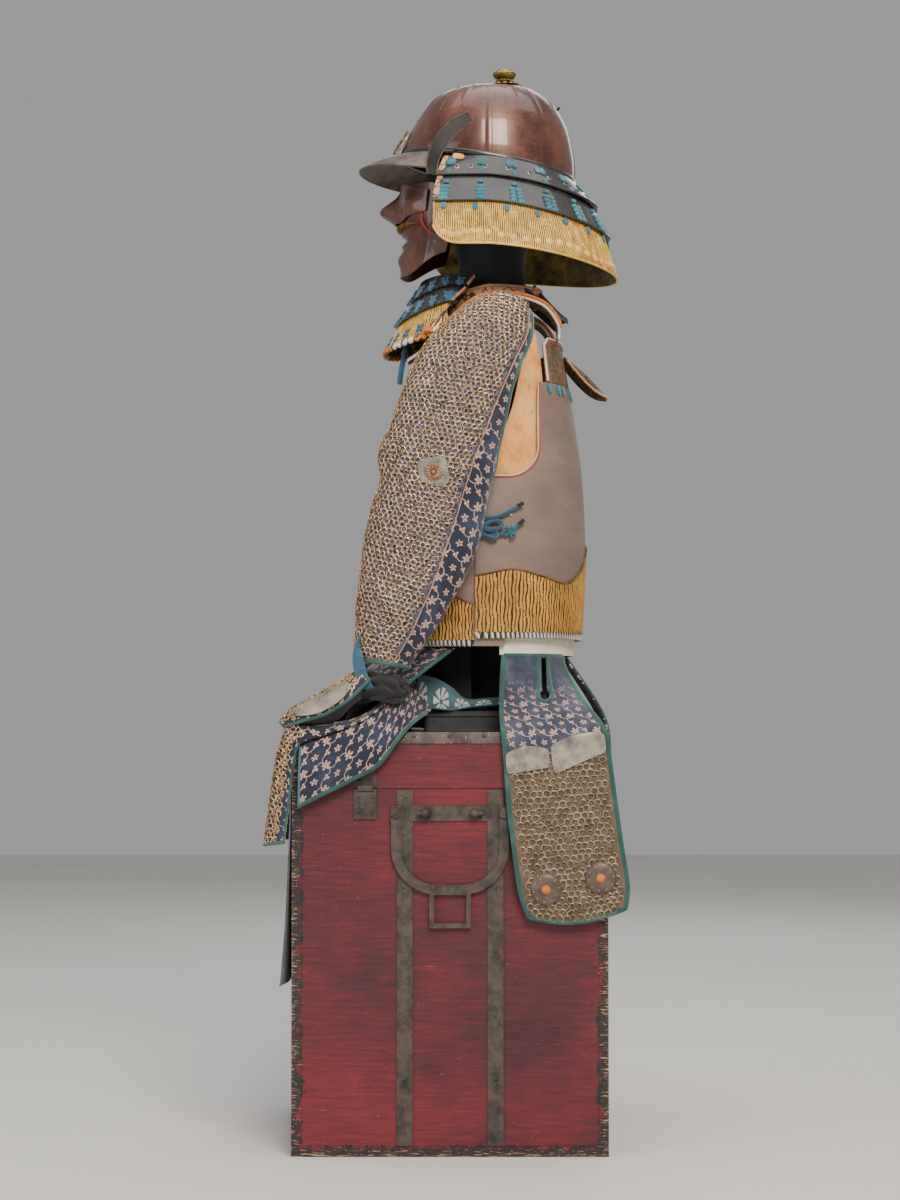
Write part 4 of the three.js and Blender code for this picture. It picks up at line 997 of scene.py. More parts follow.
# Smoked deerskin: soft orange buff, stained and creased.
BUFF_LEATHER = Mottled(
    "Smoked deerskin", "buff_leather", ((0.3, "#bf7b33"), (0.48, "#eda857"), (0.7, "#f8c178")),
    34, "#8f5a2a", 0.04, 5.0, 0.82, sheen=0.3, grain_mm=9.0, grain=0.8)
# Stencilled leather: olive with winding orange lines.
PATTERN_LEATHER = PrintedLeather("Stencilled leather", "pattern_leather", "#5d5740", "#a8603a", 9)
# The leaf's darker leather with small gold figures.
DARK_LEATHER = PrintedLeather("Dark stencilled leather", "pattern_leather", "#3a2c22", "#a07c3c", 5)
# The collar's pale leather with dark figures.
COLLAR_LEATHER = PrintedLeather("Collar leather", "buff_leather", "#dcab84", "#5a3a30", 11)
# Indigo brocade, flowered in pale peach.
BROCADE = Brocade(
    "Flowered indigo brocade", "brocade", ((0.3, "#151929"), (0.5, "#21283d"), (0.72, "#3a4460")), 2.4)
# The skirt's side cloth: the same brocade, its flowers rubbed away towards the waist.
RUBBED_BROCADE = Brocade(
    "Rubbed indigo brocade", "brocade", ((0.3, "#23273a"), (0.5, "#383f53"), (0.7, "#62677a")), 2.4,
    rubbed_above=0.575, repeat_mm=27.0)
# Plain indigo hemp, the skirt's upper cloth, faded in streaks.
INDIGO_HEMP = Weave(
    "Faded indigo hemp", "brocade", ((0.3, "#272c3b"), (0.5, "#3e4660"), (0.7, "#66708c")), 2.4, 0.15)
# The cloth that shows through the mail: indigo, pink and cream pieces.
BACKING = Mottled(
    "Pieced backing cloth", "brocade",
    ((0.36, "#1d2334"), (0.46, "#46526e"), (0.54, "#5f5263"), (0.6, "#2c344c")),
    9, "#a98a84", 0.05, 3.5, 0.95, grain_mm=2.0, grain=0.4)
# The panel mail's backing: smoke-brown hemp.
BROWN_BACKING = Mottled(
    "Smoke-brown hemp", "brocade", ((0.3, "#4a3f33"), (0.7, "#766855")), 20, "#a79877", 0.05, 2.0, 0.95)
# Iron mail, tin-washed: tan and grey with bright tops.
RING_MAIL = Mottled(
    "Tinned iron mail", "ring_mail",
    ((0.36, "#503c28"), (0.45, "#a88a54"), (0.54, "#cfa987"), (0.62, "#e6cd98")),
    4, "#4a3a2c", 0.05, 2.5, 0.4, 0.5, grain_mm=0.8)
# The panel's mail: duller, greyer rings.
PANEL_MAIL = Mottled(
    "Grey iron mail", "ring_mail", ((0.35, "#6f5f4a"), (0.5, "#8f7b63"), (0.65, "#ab977c")),
    14, "#5a4a38", 0.03, 2.5, 0.48, 0.5, grain_mm=0.8)
# Polished iron plates gone grey, with rust blooms.
GREY_IRON = Mottled(
    "Grey iron plate", "grey_iron", ((0.3, "#6c6862"), (0.5, "#989288"), (0.66, "#b3a597")),
    16, "#a5795a", 0.02, 5.0, 0.42, 0.5)
# Copper rosettes and bosses, pinkish under the dirt.
COPPER = Mottled(
    "Tarnished copper", "grey_iron", ((0.3, "#8a5a44"), (0.7, "#b98a74")), 6, roughness=0.42, metallic=0.7)
# Orange doeskin bosses and washers.
ORANGE_SKIN = Mottled(
    "Orange doeskin", "buff_leather", ((0.3, "#a8551f"), (0.7, "#d97f38")), 9, roughness=0.7)
# Printed cotton of the waist tie.
PRINTED_COTTON = Printed(
    "Printed teal cotton", "printed_cotton", ((0.3, "#3c5c66"), (0.7, "#5a8088")), 2.2, repeat_mm=30.0)
# Undyed hemp, cream and a little dirty.
CREAM_HEMP = Weave("Undyed hemp", "cream_hemp", ((0.3, "#d8cfb2"), (0.55, "#f4eed8"), (0.75, "#faf7ea")), 2.6)
# Braided silk in its dyes: soft, with the plait's fine ribs.
BLUE_SILK = Weave("Blue braided silk", "blue_silk", ((0.3, "#1a4461"), (0.7, "#2f6b8b")), 2.4, 0.4)
TEAL_SILK = Weave(
    "Teal braided silk", "blue_silk", ((0.3, "#225b68"), (0.55, "#327888"), (0.75, "#579aa8")), 2.4, 0.4)
GREEN_BRAID = Weave(
    "Green braided silk", "blue_silk", ((0.3, "#183f3c"), (0.55, "#265a53"), (0.75, "#41786d")), 2.4, 0.4)
WHITE_SILK = Weave("White braided silk", "cream_hemp", ((0.3, "#b9aa98"), (0.7, "#e9e2d4")), 2.4, 0.3)
RED_SILK = Weave("Red braided silk", "blue_silk", ((0.3, "#8e2c1c"), (0.7, "#c84a2c")), 2.4, 0.3)
PEACH_SILK = Weave("Peach braided silk", "cream_hemp", ((0.3, "#b0764a"), (0.7, "#e0a878")), 2.4, 0.3)
BLACK_SILK = Weave("Black braided silk", "black_cotton", ((0.3, "#121316"), (0.7, "#26272d")), 2.4, 0.3)
# Pale matt paper under the armour, which belongs to the studio.
PALE_PAPER = Mottled("Pale paper", "", ((0.3, "#cfcdc9"), (0.7, "#d6d4d0")), 900, roughness=0.9)


def dress(piece: Piece, finish: Finish, *nodes: str, angle: float = 50.0) -> Piece:
    """Finishes a piece and fixes it to the object.

    Args:
        piece: what is dressed.
        finish: its material.
        nodes: the CAD nodes that it stands for.
        angle: faces that meet more sharply than this, in degrees, keep their edge.

    Returns:
        The piece.
    """
    piece.data.materials.clear()
    piece.data.materials.append(finish.material())
    select_only(piece)
    bpy.ops.object.shade_smooth_by_angle(angle=math.radians(angle))
    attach(piece, "root")
    if nodes:
        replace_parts(piece, *nodes)
    return piece


def keep_node(name: str, finish: Finish) -> None:
    """Dresses a CAD node that is shown as it is.

    Args:
        name: its name, without the side if it is a pair.
        finish: its material.
    """
    for node in (name, f"{name}_left", f"{name}_right"):
        shown = frame["nodes"].get(node)
        if shown is not None:
            shown.data.materials.clear()
            shown.data.materials.append(finish.material())


def pair(piece: Piece, finish: Finish, *nodes: str, angle: float = 50.0) -> None:
    """Dresses a left-hand piece and makes its right-hand twin.

    Args:
        piece: the left-hand piece.
        finish: the material of both.
        nodes: the CAD nodes that the left one stands for.
        angle: faces that meet more sharply than this, in degrees, keep their edge.
    """
    mirrored(dress(piece, finish, *nodes, angle=angle))


def measured(surface: Surface) -> tuple[float, float, float]:
    """Measures a sheet laid flat.

    Args:
        surface: its outer face.

    Returns:
        Its width, its length and its area, in metres.
    """
    u, v = np.meshgrid(np.linspace(0, 1, 90), np.linspace(0, 1, 90))
    points = surface(u, v) * MM
    across, along = np.diff(points, axis=1), np.diff(points, axis=0)
    wide = float(np.linalg.norm(across, axis=2).sum(axis=1).max())
    long = float(np.linalg.norm(along, axis=2).sum(axis=0).max())
    area = float(np.linalg.norm(np.cross(across[:-1], along[:, :-1]), axis=2).sum())
    return wide, long, area


def cloth(piece: Piece, surface: Surface) -> None:
    """Measures the cut of a sheet of cloth from its outer face; the sizes are not kept.

    Args:
        piece: the cloth; not used.
        surface: its outer face, which its cut is measured from.
    """
    wide, long, area = measured(surface)


def both_cloths(piece: Piece, surface: Surface) -> None:
    """Makes the right-hand twin of a left-hand sheet of cloth and measures the cut of both.

    Args:
        piece: the left-hand cloth.
        surface: its outer face.
    """
    twin = mirrored(piece)
    cloth(piece, surface)
    cloth(twin, surface)


# ------------------------------------------------------------------ shapes that repeat


def ring_shape(radius: float, wire: float, around: int = 7) -> Shape:
    """Models a mail ring that lies flat."""
    size = {"major_segments": around, "minor_segments": 3, "major_radius": radius, "minor_radius": wire}
    return small_shape(lambda: bpy.ops.mesh.primitive_torus_add(**size))


def pad_shape(corner: float = 0.22) -> Shape:
    """Models a unit pad about the origin: a block with rounded edges.

    Args:
        corner: how much of each edge is rounded off.

    Returns:
        The shape.
    """
    rounding = {"offset": corner, "segments": 1, "affect": "EDGES", "clamp_overlap": True}
    return small_shape(
        lambda: bpy.ops.mesh.primitive_cube_add(size=1), lambda: bpy.ops.mesh.bevel(**rounding))


def dome_shape(rings: int, around: int) -> Shape:
    """Models a unit nail head or boss: half a ball, flat underneath.

    Args:
        rings: how many rings of faces there are from rim to top.
        around: how many faces go round.

    Returns:
        The shape.
    """
    flat = {"plane_co": (0, 0, 0), "plane_no": (0, 0, 1), "clear_inner": True, "use_fill": True}
    return small_shape(
        lambda: bpy.ops.mesh.primitive_uv_sphere_add(segments=around, ring_count=2 * rings, radius=1),
        lambda: bpy.ops.mesh.bisect(**flat),
    )


def turned_piece(name: str, profile: Sequence[tuple[float, float]], steps: int) -> Piece:
    """Turns a profile about the Z axis.

    Args:
        name: the piece's name.
        profile: radius and height of each of its corners, from the axis and back to it.
        steps: how many faces go round.

    Returns:
        The piece.
    """
    mesh = bpy.data.meshes.new(name)
    corners = [(r * MM, 0.0, h * MM) for r, h in profile]
    mesh.from_pydata(corners, [(i, i + 1) for i in range(len(profile) - 1)], [])
    piece = bpy.data.objects.new(name, mesh)
    bpy.context.scene.collection.objects.link(piece)
    turn = {"steps": steps, "angle": 2 * math.pi, "center": (0, 0, 0), "axis": (0, 0, 1)}
    edit(
        piece,
        lambda: bpy.ops.mesh.spin(**turn),
        lambda: bpy.ops.mesh.select_all(action="SELECT"),
        lambda: bpy.ops.mesh.remove_doubles(threshold=1e-5),
        lambda: bpy.ops.mesh.normals_make_consistent(inside=False),
    )
    return piece


def plate_piece(name: str, low: Sequence[float], high: Sequence[float], bevel: float) -> Piece:
    """Models a bar or plate with rounded edges.

    Args:
        name: the piece's name.
        low: its corner with the lowest x, y and z.
        high: the opposite corner.
        bevel: how much of each edge is rounded off.

    Returns:
        The piece.
    """
    bpy.ops.object.select_all(action="DESELECT")
    bpy.ops.mesh.primitive_cube_add(size=1)
    piece = bpy.context.object
    piece.name = piece.data.name = name
    low_corner, high_corner = (Vector(c) * MM for c in (low, high))
    size = high_corner - low_corner
    piece.data.transform(Matrix.Translation((low_corner + high_corner) / 2) @ Matrix.Diagonal((*size, 1)))
    apply_modifier(piece, "BEVEL", width=bevel * MM, segments=2)
    return piece


def join(name: str, pieces: Sequence[Piece]) -> Piece:
    """Joins pieces as one.

    Args:
        name: the name of what they make.
        pieces: the pieces; the first one takes in the others.

    Returns:
        The joined piece.
    """
    bpy.ops.object.select_all(action="DESELECT")
    for piece in pieces:
        piece.select_set(True)
    bpy.context.view_layer.objects.active = pieces[0]
    bpy.ops.object.join()
    pieces[0].name = pieces[0].data.name = name
    return pieces[0]


def braid_on(
    name: str, surface: Surface, u: Sequence[float], v: Sequence[float], behind: Sequence[float],
    half: tuple[float, float] = (3.1, 2.2), pitch: float = 1.5, rib: float = 0.16, lift: float = 0.2,
) -> Piece:
    """Binds a line on a surface with a ribbed braid.

    Args:
        name: the piece's name.
        surface: the cloth's outer face.
        u: the line's places across it.
        v: its places along it.
        behind: a point on the cloth's inner side.
        half: the braid's half sizes, along the cloth and out of it.
        pitch: half the distance from rib to rib.
        rib: how deep the ribs are, as a share of the braid.
        lift: how far its middle lies outside the cloth.

    Returns:
        The piece.
    """
    places = edge_path(surface, np.array(u, float), np.array(v, float), pitch)
    out = normals_of(surface, *places, behind)
    return swept(name, surface(*places) + lift * out, out, half, rib)


def even_span(start: float, stop: float) -> Span:
    """Gives mail the same two edges all the way along."""
    return lambda v: (np.array(start), np.array(stop))


def mail_on(
    name: str, surface: Surface, edges: Span, ends: tuple[float, float], anchor: float, pitch: float,
    wire: float, behind: Sequence[float], seed: int,
) -> Piece:
    """Covers part of a surface with linked rings in staggered rows.

    Args:
        name: the piece's name.
        surface: what the mail is sewn to.
        edges: for each place along it, where the mail starts and ends across it.
        ends: where the mail starts and ends along it.
        anchor: the place across the surface that the columns are counted from.
        pitch: the distance between columns.
        wire: the rings' wire, in millimetres across.
        behind: a point on the surface's inner side.
        seed: what the rings' small disorder comes from.

    Returns:
        The piece.
    """
    chance = np.random.default_rng(seed)
    line = surface(np.full(300, anchor), np.linspace(*ends, 300))
    rows = ends[0] + (ends[1] - ends[0]) * arc_places(line, pitch * 0.87)
    found_u, found_v = [], []
    for number, v in enumerate(rows):
        start, stop = (float(edge) for edge in edges(np.array(v)))
        u = np.linspace(start, stop, 240)
        row = surface(u, np.full(240, v))
        arc = running_length(row)
        middle = np.interp(anchor, u, arc)
        first = math.ceil((arc[0] + pitch * 0.45 - middle) / pitch - 0.5 * (number % 2))
        last = math.floor((arc[-1] - pitch * 0.45 - middle) / pitch - 0.5 * (number % 2))
        places = middle + pitch * (np.arange(first, last + 1) + 0.5 * (number % 2))
        found_u.append(np.interp(places, arc, u))
        found_v.append(np.full(len(places), v))
    u, v = np.concatenate(found_u), np.concatenate(found_v)
    points, axes = axes_on(surface, u, v, behind, chance.normal(0, 0.2, len(u)))
    tilt = chance.normal(0, 0.27, (len(u), 2))
    axes[:, 2] = unit(axes[:, 2] + tilt[:, :1] * axes[:, 0] + tilt[:, 1:] * axes[:, 1])
    points += axes[:, 0] * chance.normal(0, pitch * 0.09, (len(u), 1))
    points += axes[:, 1] * chance.normal(0, pitch * 0.07, (len(u), 1))
    wide, long = chance.uniform(0.84, 1.2, len(u)), chance.uniform(0.84, 1.2, len(u))
    sizes = np.stack([wide, long, np.ones(len(u))], axis=1)
    points += axes[:, 2] * (wire * 0.7 + chance.uniform(0, 0.35, (len(u), 1)))
    return scatter(name, ring_shape(pitch * 0.47, wire * 0.55), points, axes, sizes)


# ------------------------------------------------------------------ storage chest


@dataclass
class StorageChest:
    """The red lacquered chest with its irons, handles, clasp plates and black lid edging."""

    half: tuple[float, float] = (205.0, 199.0)
    height: float = 530.0
    seam: float = 460.0
    edging: tuple[float, float] = (14.0, 1.6)
    nail_pitch: float = 44.0
    clasp: tuple[float, float] = (-121.0, -92.0)
    iron_at: float = 57.0
    iron_face: float = 206.0
    handle_height: float = 428.5
    pin_at: float = 41.0
    plate: float = 1.4

    def build(self) -> None:
        """Dresses the boards and irons and adds what is nailed to them."""
        for node in ("chest_body", "chest_lid"):
            keep_node(node, RED_LACQUER)
        for node in ("chest_irons", "chest_handle"):
            keep_node(node, STRAP_IRON)
        self.lid_edging()
        self.clasps()
        self.nails()
        self.pins()

    def lid_edging(self) -> None:
        """Lays the black strips round the lid's upper edge, with their nails."""
        x, y = self.half
        tall, thick = self.edging
        low, high = self.height - tall, self.height + 0.6
        nail_height = self.height - 4.5
        strips = []
        for side in (-1, 1):
            near, far = sorted((side * x, side * (x + thick)))
            strips.append(plate_piece("strip", (near, -y - thick, low), (far, y + thick, high), 0.6))
            near, far = sorted((side * y, side * (y + thick)))
            strips.append(plate_piece("strip", (-x, near, low), (x, far, high), 0.6))
        dress(join("chest_lid_edging", strips), EDGE_LACQUER)
        places, axes = [], []
        for side in (-1, 1):
            for along in np.arange(-y + 22, y - 10, self.nail_pitch):
                places.append((side * (x + thick), along, nail_height))
                axes.append(((0, 1, 0), (0, 0, side), (side, 0, 0)))
            for along in np.arange(-x + 22, x - 10, self.nail_pitch):
                places.append((along, side * (y + thick), nail_height))
                axes.append(((1, 0, 0), (0, 0, -side), (0, side, 0)))
        nails = scatter("chest_lid_nails", dome_shape(3, 8), places, np.array(axes, float), (2.6, 2.6, 1.3))
        dress(nails, STRAP_IRON)

    def clasps(self) -> None:
        """Adds the two-leaved clasp plates across the seam near the front and back."""
        x, seam, out = self.half[0], self.seam, self.half[0] + self.plate
        near, far = self.clasp
        leaves = []
        for front, back in ((near, far), (-far, -near)):
            leaves += [
                plate_piece("leaf", (x, front, seam + 1), (out, back, 493), 0.5),
                plate_piece("leaf", (x - 1.2, front, 421), (out, back, seam - 1), 0.5),
                plate_piece("leaf", (x + 0.4, front + 4, seam - 4), (out + 2, back - 4, seam + 4), 1.2),
            ]
        pair(join("chest_clasps_left", leaves), STRAP_IRON)

    def nails(self) -> None:
        """Drives nails along the irons and round the boards' edges."""
        x, y = self.half
        places: list[tuple[float, float, float]] = []
        for iron in (-self.iron_at, self.iron_at):
            places += [(self.iron_face, iron, z) for z in (30, 96, 176, 256, 336, 402, 449)]
        places += [(self.iron_face, along, self.handle_height) for along in (-36, -12, 12, 36)]
        for front in (self.clasp[0], -self.clasp[1]):
            for z in (431, 449, 469, 485):
                places += [(x + self.plate, front + 6, z), (x + self.plate, front + 23, z)]
        places += [(x, along, 6) for along in np.linspace(-y + 6, y - 6, 11)]
        for up in np.linspace(40, 440, 9):
            places += [(x, -y + 6, up), (x, y - 6, up)]
        pair(scatter("chest_nails_left", dome_shape(3, 8), places, LEFT_AXES, (2.4, 2.4, 1.2)), STRAP_IRON)

    def pins(self) -> None:
        """Adds the acorn heads of the pins that carry the handle."""
        profile = [(0, 0), (3.2, 0), (3.4, 5), (5.6, 7), (6.0, 9.5), (5.2, 13), (2.4, 16.5), (0, 17)]
        heads = []
        for side in (-1, 1):
            pin = turned_piece("pin", profile, 16)
            pin.data.transform(Matrix.Rotation(math.radians(90 * side), 4, "X"))
            place = Vector((self.half[0] + 5.6, side * self.pin_at, self.handle_height))
            pin.data.transform(Matrix.Translation(place * MM))
            heads.append(pin)
        left = join("chest_pins_left", heads)
        face_outwards(left)
        pair(left, STRAP_IRON)


# ------------------------------------------------------------------ stand


@dataclass
class Stand:
    """The dark block on the lid and the cloth-covered column and trunk inside the armour."""

    sections: Table = field(
        default_factory=lambda: Table(
            "z y width depth",
            (556.6, 66, 60, 52), (584, 66, 61, 52), (640, 68, 62, 47), (700, 50, 118, 90),
            (790, 45, 130, 106), (880, 44, 126, 104), (960, 44, 112, 92), (1030, 48, 84, 70),
            (1080, 54, 48, 50), (1130, 56, 44, 46), (1185, 56, 46, 50), (1240, 52, 66, 74),
            (1300, 52, 74, 86), (1350, 54, 62, 70), (1382, 56, 26, 30),
        )
    )

    def build(self) -> None:
        """Builds the covered form over the block."""
        keep_node("stand_block", BLACK_WOOD)
        form = sheet_piece("stand_cover", self.point, (48, 90), 0, (0, 55, 900), loop=True)
        edit(form, lambda: bpy.ops.mesh.select_non_manifold(), lambda: bpy.ops.mesh.edge_face_add())
        edit(form, lambda: bpy.ops.mesh.fill_holes(sides=0))
        face_outwards(form)
        dress(form, BLACK_COTTON, "stand_form")
        ledge = plate_piece("stand_ledge", (-101.5, -35.5, 549), (101.5, 136.5, 552.5), 0.9)
        dress(ledge, BLACK_WOOD)

    def point(self, u: Array, v: Array) -> Array:
        """Returns the cover's surface: it hangs in soft folds at the column and bunches at its foot.

        Args:
            u: how far across it, from 0 to 1.
            v: how far along it, from 0 to 1.

        Returns:
            The points.
        """
        row = self.sections.at(v)
        turn = 2 * math.pi * u
        z = row["z"]
        column = 1 - ease(z, 640, 700)
        foot = 1 - ease(z, 560, 606)
        drape = np.sin(5 * turn + z / 14) + 0.6 * np.sin(9 * turn - z / 22)
        out = column * 1.2 * drape + foot * (2.2 * np.sin(z / 3.1 + 1.4 * np.sin(2 * turn)) - 1.5)
        neck = ease(z, 1040, 1085) * (1 - ease(z, 1190, 1230))
        out = out + neck * 0.8 * np.sin(z / 6 + 2 * np.sin(turn))
        return xyz(
            (row["width"] + out - 0.8) * np.sin(turn), row["y"] - (row["depth"] + out - 0.8) * np.cos(turn), z
        )


# ------------------------------------------------------------------ helmet


@dataclass
class Helmet:
    """The ribbed bowl with its brim, crest holder, finial and turned-back wings."""

    middle: float = 52.0
    ribs: int = 8
    behind: tuple[float, float, float] = (0.0, 52.0, 1300.0)
    bowl: Table = field(
        default_factory=lambda: Table(
            "front_z back_z front back width",
            (1303, 1263, -66, 167, 99), (1317, 1296, -62, 167, 99), (1343, 1340, -50, 158, 93),
            (1371, 1371, -31, 141, 79), (1389, 1389, -7, 118, 57), (1397, 1397, 24, 100, 33),
            (1399, 1399, 62, 86, 11),
        )
    )
    wing: Table = field(
        default_factory=lambda: Table(
            "x y z half",
            (121, -24, 1256, 6.5), (121, -22, 1277, 8), (124, -11, 1300, 9), (128, 6, 1317, 9),
            (131, 26, 1330, 7),
        )
    )

    def bowl_point(self, u: Array, v: Array, out: Array | float = 0.0) -> Array:
        """Returns the bowl's surface; u goes once round from the front, v from rim to crown.

        Args:
            u: how far across it, from 0 to 1.
            v: how far along it, from 0 to 1.
            out: how far outside it, in millimetres.

        Returns:
            The points.
        """
        row = self.bowl.at(v)
        turn = 2 * math.pi * u
        s, c = np.sin(turn), np.cos(turn)
        middle = np.where(row["front"] > self.middle, (row["front"] + row["back"]) / 2, self.middle)
        reach = np.where(c > 0, middle - row["front"], row["back"] - middle)
        z = mix(row["front_z"], row["back_z"], (1 - c) / 2)
        return xyz((row["width"] + out) * s, middle - (reach + out) * c, z)

    def ribbed(self, u: Array, v: Array) -> Array:
        """Returns the bowl with its raised ribs and the short flutes between them near the crown.

        Args:
            u: how far across it, from 0 to 1.
            v: how far along it, from 0 to 1.

        Returns:
            The points.
        """
        pitch = 1 / self.ribs
        off = np.abs((u + pitch / 2) % pitch - pitch / 2)
        rib = np.exp(-((off / 0.0036) ** 2)) * (2.6 - 0.8 * v)
        between = np.abs(u % pitch - pitch / 2)
        flute = np.exp(-((between / 0.004) ** 2)) * 1.7 * ease(v, 0.42, 0.5) * (1 - ease(v, 0.84, 0.92))
        crease = np.exp(-((off / 0.0085) ** 2)) * 1.1
        return self.bowl_point(u, v, rib + flute - crease)

    def peak_point(self, u: Array, v: Array) -> Array:
        """Returns the brim, from its root round the bowl's front edge to its drooping edge.

        Args:
            u: how far across it, from 0 to 1.
            v: how far along it, from 0 to 1.

        Returns:
            The points.
        """
        root_turn = mix(-52 / 360, 52 / 360, u)
        root = self.bowl_point(root_turn, 0 * u, 3.4)
        around = np.radians(mix(-90, 90, u))
        edge = xyz(97 * np.sin(around), -30 - 92 * np.cos(around), 1271 + 13 * np.cos(around))
        point = mix(root, edge, v[..., None])
        point[..., 2] += 3 * np.sin(math.pi * v)
        return point

    def wing_point(self, u: Array, v: Array) -> Array:
        """Returns the left wing, which curls back from the corner of the neck guard.

        Args:
            u: how far across it, from 0 to 1.
            v: how far along it, from 0 to 1.

        Returns:
            The points.
        """
        row = self.wing.at(v)
        ahead, back = self.wing.at(np.minimum(1, v + 0.01)), self.wing.at(np.maximum(0, v - 0.01))
        along = unit(np.stack([ahead["y"] - back["y"], ahead["z"] - back["z"]], axis=-1))
        across = unit(xyz(0.35 + 0 * v, -along[..., 1], along[..., 0]))
        return xyz(row["x"], row["y"], row["z"]) + across * mix(-row["half"], row["half"], u)[..., None]

    def build(self) -> None:
        """Builds the bowl and everything fixed to it."""
        bowl = sheet_piece("bowl", self.ribbed, (208, 32), 2.2, self.behind, loop=True)
        face_outwards(bowl)
        dress(bowl, RUSSET_IRON, "helmet_bowl", angle=60)
        self.rim_band()
        peak = sheet_piece("peak", self.peak_point, (64, 20), 2.2, (0, 0, 1100))
        dress(peak, DULL_RUSSET, "helmet_peak")
        self.peak_trim()
        keep_node("crest_holder", DARK_BRASS)
        self.finial()
        wing = sheet_piece("wing_left", self.wing_point, (8, 32), 2.2, (0, 40, 1290))
        pair(wing, BLACK_LACQUER, "turnback_left")
        round_it = ((0, 0, 1, 1), (0, 1, 1, 0))
        edge = braid_on("wing_edge_left", self.wing_point, *round_it, (0, 40, 1290), (1.0, 1.0), 2, 0)
        pair(edge, DULL_RUSSET)

    def rim_band(self) -> None:
        """Adds the narrow band round the bowl's lower edge and the ring at its back."""
        u = np.linspace(0, 1, 181)[:-1]
        out = normals_of(self.bowl_point, u, 0 * u + 0.03, self.behind)
        band = swept("bowl_band", self.bowl_point(u, 0 * u + 0.04) + 0.8 * out, out, (3.4, 1.5), 0, True)
        dress(band, BLACK_LACQUER)
        place, axis = axes_on(self.bowl_point, np.array([0.5]), np.array([0.5]), self.behind)
        loop = small_shape(lambda: bpy.ops.mesh.primitive_torus_add(
            major_segments=28, minor_segments=8, major_radius=6.2, minor_radius=1.3))
        turned = axis[:, [0, 2, 1]]
        ring = scatter("bowl_ring", loop, place + axis[:, 2] * 3.2 - np.array([[0, 0, 5.0]]), turned)
        face_outwards(ring)
        dress(ring, DARK_BRASS)

    def peak_trim(self) -> None:
        """Binds the brim's edge with a rolled rim."""
        rim = braid_on("peak_rim", self.peak_point, (0, 1), (1, 1), (0, 0, 1100), (1.7, 1.7), 4, 0, -1.0)
        dress(rim, DULL_RUSSET)

    def finial(self) -> None:
        """Builds the brass openwork at the crown: petalled washer, beaded collar and lobed bud."""
        centre = np.array([0.0, 74.0, 1399.0])
        profile = [
            (0, 1), (15, 1), (16.5, 2.6), (12, 4.6), (9, 6), (8, 9), (8.6, 11), (12.4, 12.4), (15.4, 15.2),
            (16.2, 18.4), (14.6, 20.6), (11, 21.8), (9.6, 24), (5, 25.4), (0, 25.8),
        ]
        bud = turned_piece("finial_bud", profile, 96)
        for vertex in bud.data.vertices:
            x, y, z = vertex.co
            lobe = 0.95 + 0.07 * abs(math.cos(5 * math.atan2(y, x))) if z > 11.5 * MM else 1.0
            vertex.co = Vector((x * lobe, y * lobe, z)) + Vector(centre) * MM
        parts = [bud]
        petals, beads = (14, 18.5, 1.8, (4.4, 5.4, 3.0)), (16, 10.6, 8.6, (2.1, 2.1, 2.0))
        for count, radius, height, size in (petals, beads):
            turn = 2 * math.pi * np.arange(count) / count
            out = np.stack([np.cos(turn), np.sin(turn), 0 * turn], axis=1)
            up = np.repeat([[0.0, 0.0, 1.0]], count, 0)
            axes = np.stack([np.cross(out, up), out, up], axis=1)
            parts.append(scatter("bead", dome_shape(4, 12), centre + out * radius + up * height, axes, size))
        dress(join("finial", parts), BRASS, "helmet_finial", angle=35)


# ------------------------------------------------------------------ laced lames


class Lames:
    """Curved plates that hang one below another, each with its upper edge tucked behind the last."""

    plate = 2.2
    tuck = 3.4

    def __init__(
        self, edges: Table, edge_point: Callable[[dict, Array], Array], lap: float,
        behind: Sequence[float],
    ) -> None:
        """Keeps how the plates are shaped.

        Args:
            edges: one row for each edge, from top to bottom.
            edge_point: a point of an edge, from its row and the share along it.
            lap: how far down a plate the next one starts behind it.
            behind: a point on the plates' inner side.
        """
        self.edges, self.edge_point, self.lap, self.behind = edges, edge_point, lap, behind

    def edge(self, number: int, u: Array) -> Array:
        """Returns points of one edge."""
        values = self.edges.rows[number]
        return self.edge_point(dict(zip(self.edges.columns, values, strict=True)), u)

    def lame(self, number: int) -> Surface:
        """Returns the surface of one plate, v from its upper edge to its lower.

        Args:
            number: which plate it is, from 0 at the top.

        Returns:
            The surface.
        """

        def point(u: Array, v: Array) -> Array:
            """Goes straight from the upper edge to the lower.

            Args:
                u: how far across it, from 0 to 1.
                v: how far along it, from 0 to 1.

            Returns:
                The points.
            """
            if number == 0:
                top = self.edge(0, u)
            else:
                above = self.lame(number - 1)
                lap = np.full(np.shape(u), self.lap)
                top = above(u, lap) - self.tuck * normals_of(above, u, lap, self.behind)
            return mix(top, self.edge(number + 1, u), np.asarray(v)[..., None])

        return point


def rippled(
    surface: Surface, behind: Sequence[float], ridges: int, depth: float, fade: tuple[float, float]
) -> Surface:
    """Gives a surface wavy upright ridges.

    Args:
        surface: the smooth one.
        behind: a point on its inner side.
        ridges: how many there are from side to side.
        depth: how high they stand, in millimetres.
        fade: where they start and stop, as shares along the surface.

    Returns:
        The ridged surface.
    """

    def point(u: Array, v: Array) -> Array:
        """Returns the ridged points.

        Args:
            u: how far across it, from 0 to 1.
            v: how far along it, from 0 to 1.

        Returns:
            The points.
        """
        shown = ease(v, fade[0], fade[0] + 0.05) * (1 - ease(v, fade[1] - 0.04, fade[1]))
        rise = ridge(u, v, ridges) * depth * shown
        return surface(u, v) + rise[..., None] * normals_of(surface, u, v, behind)

    return point


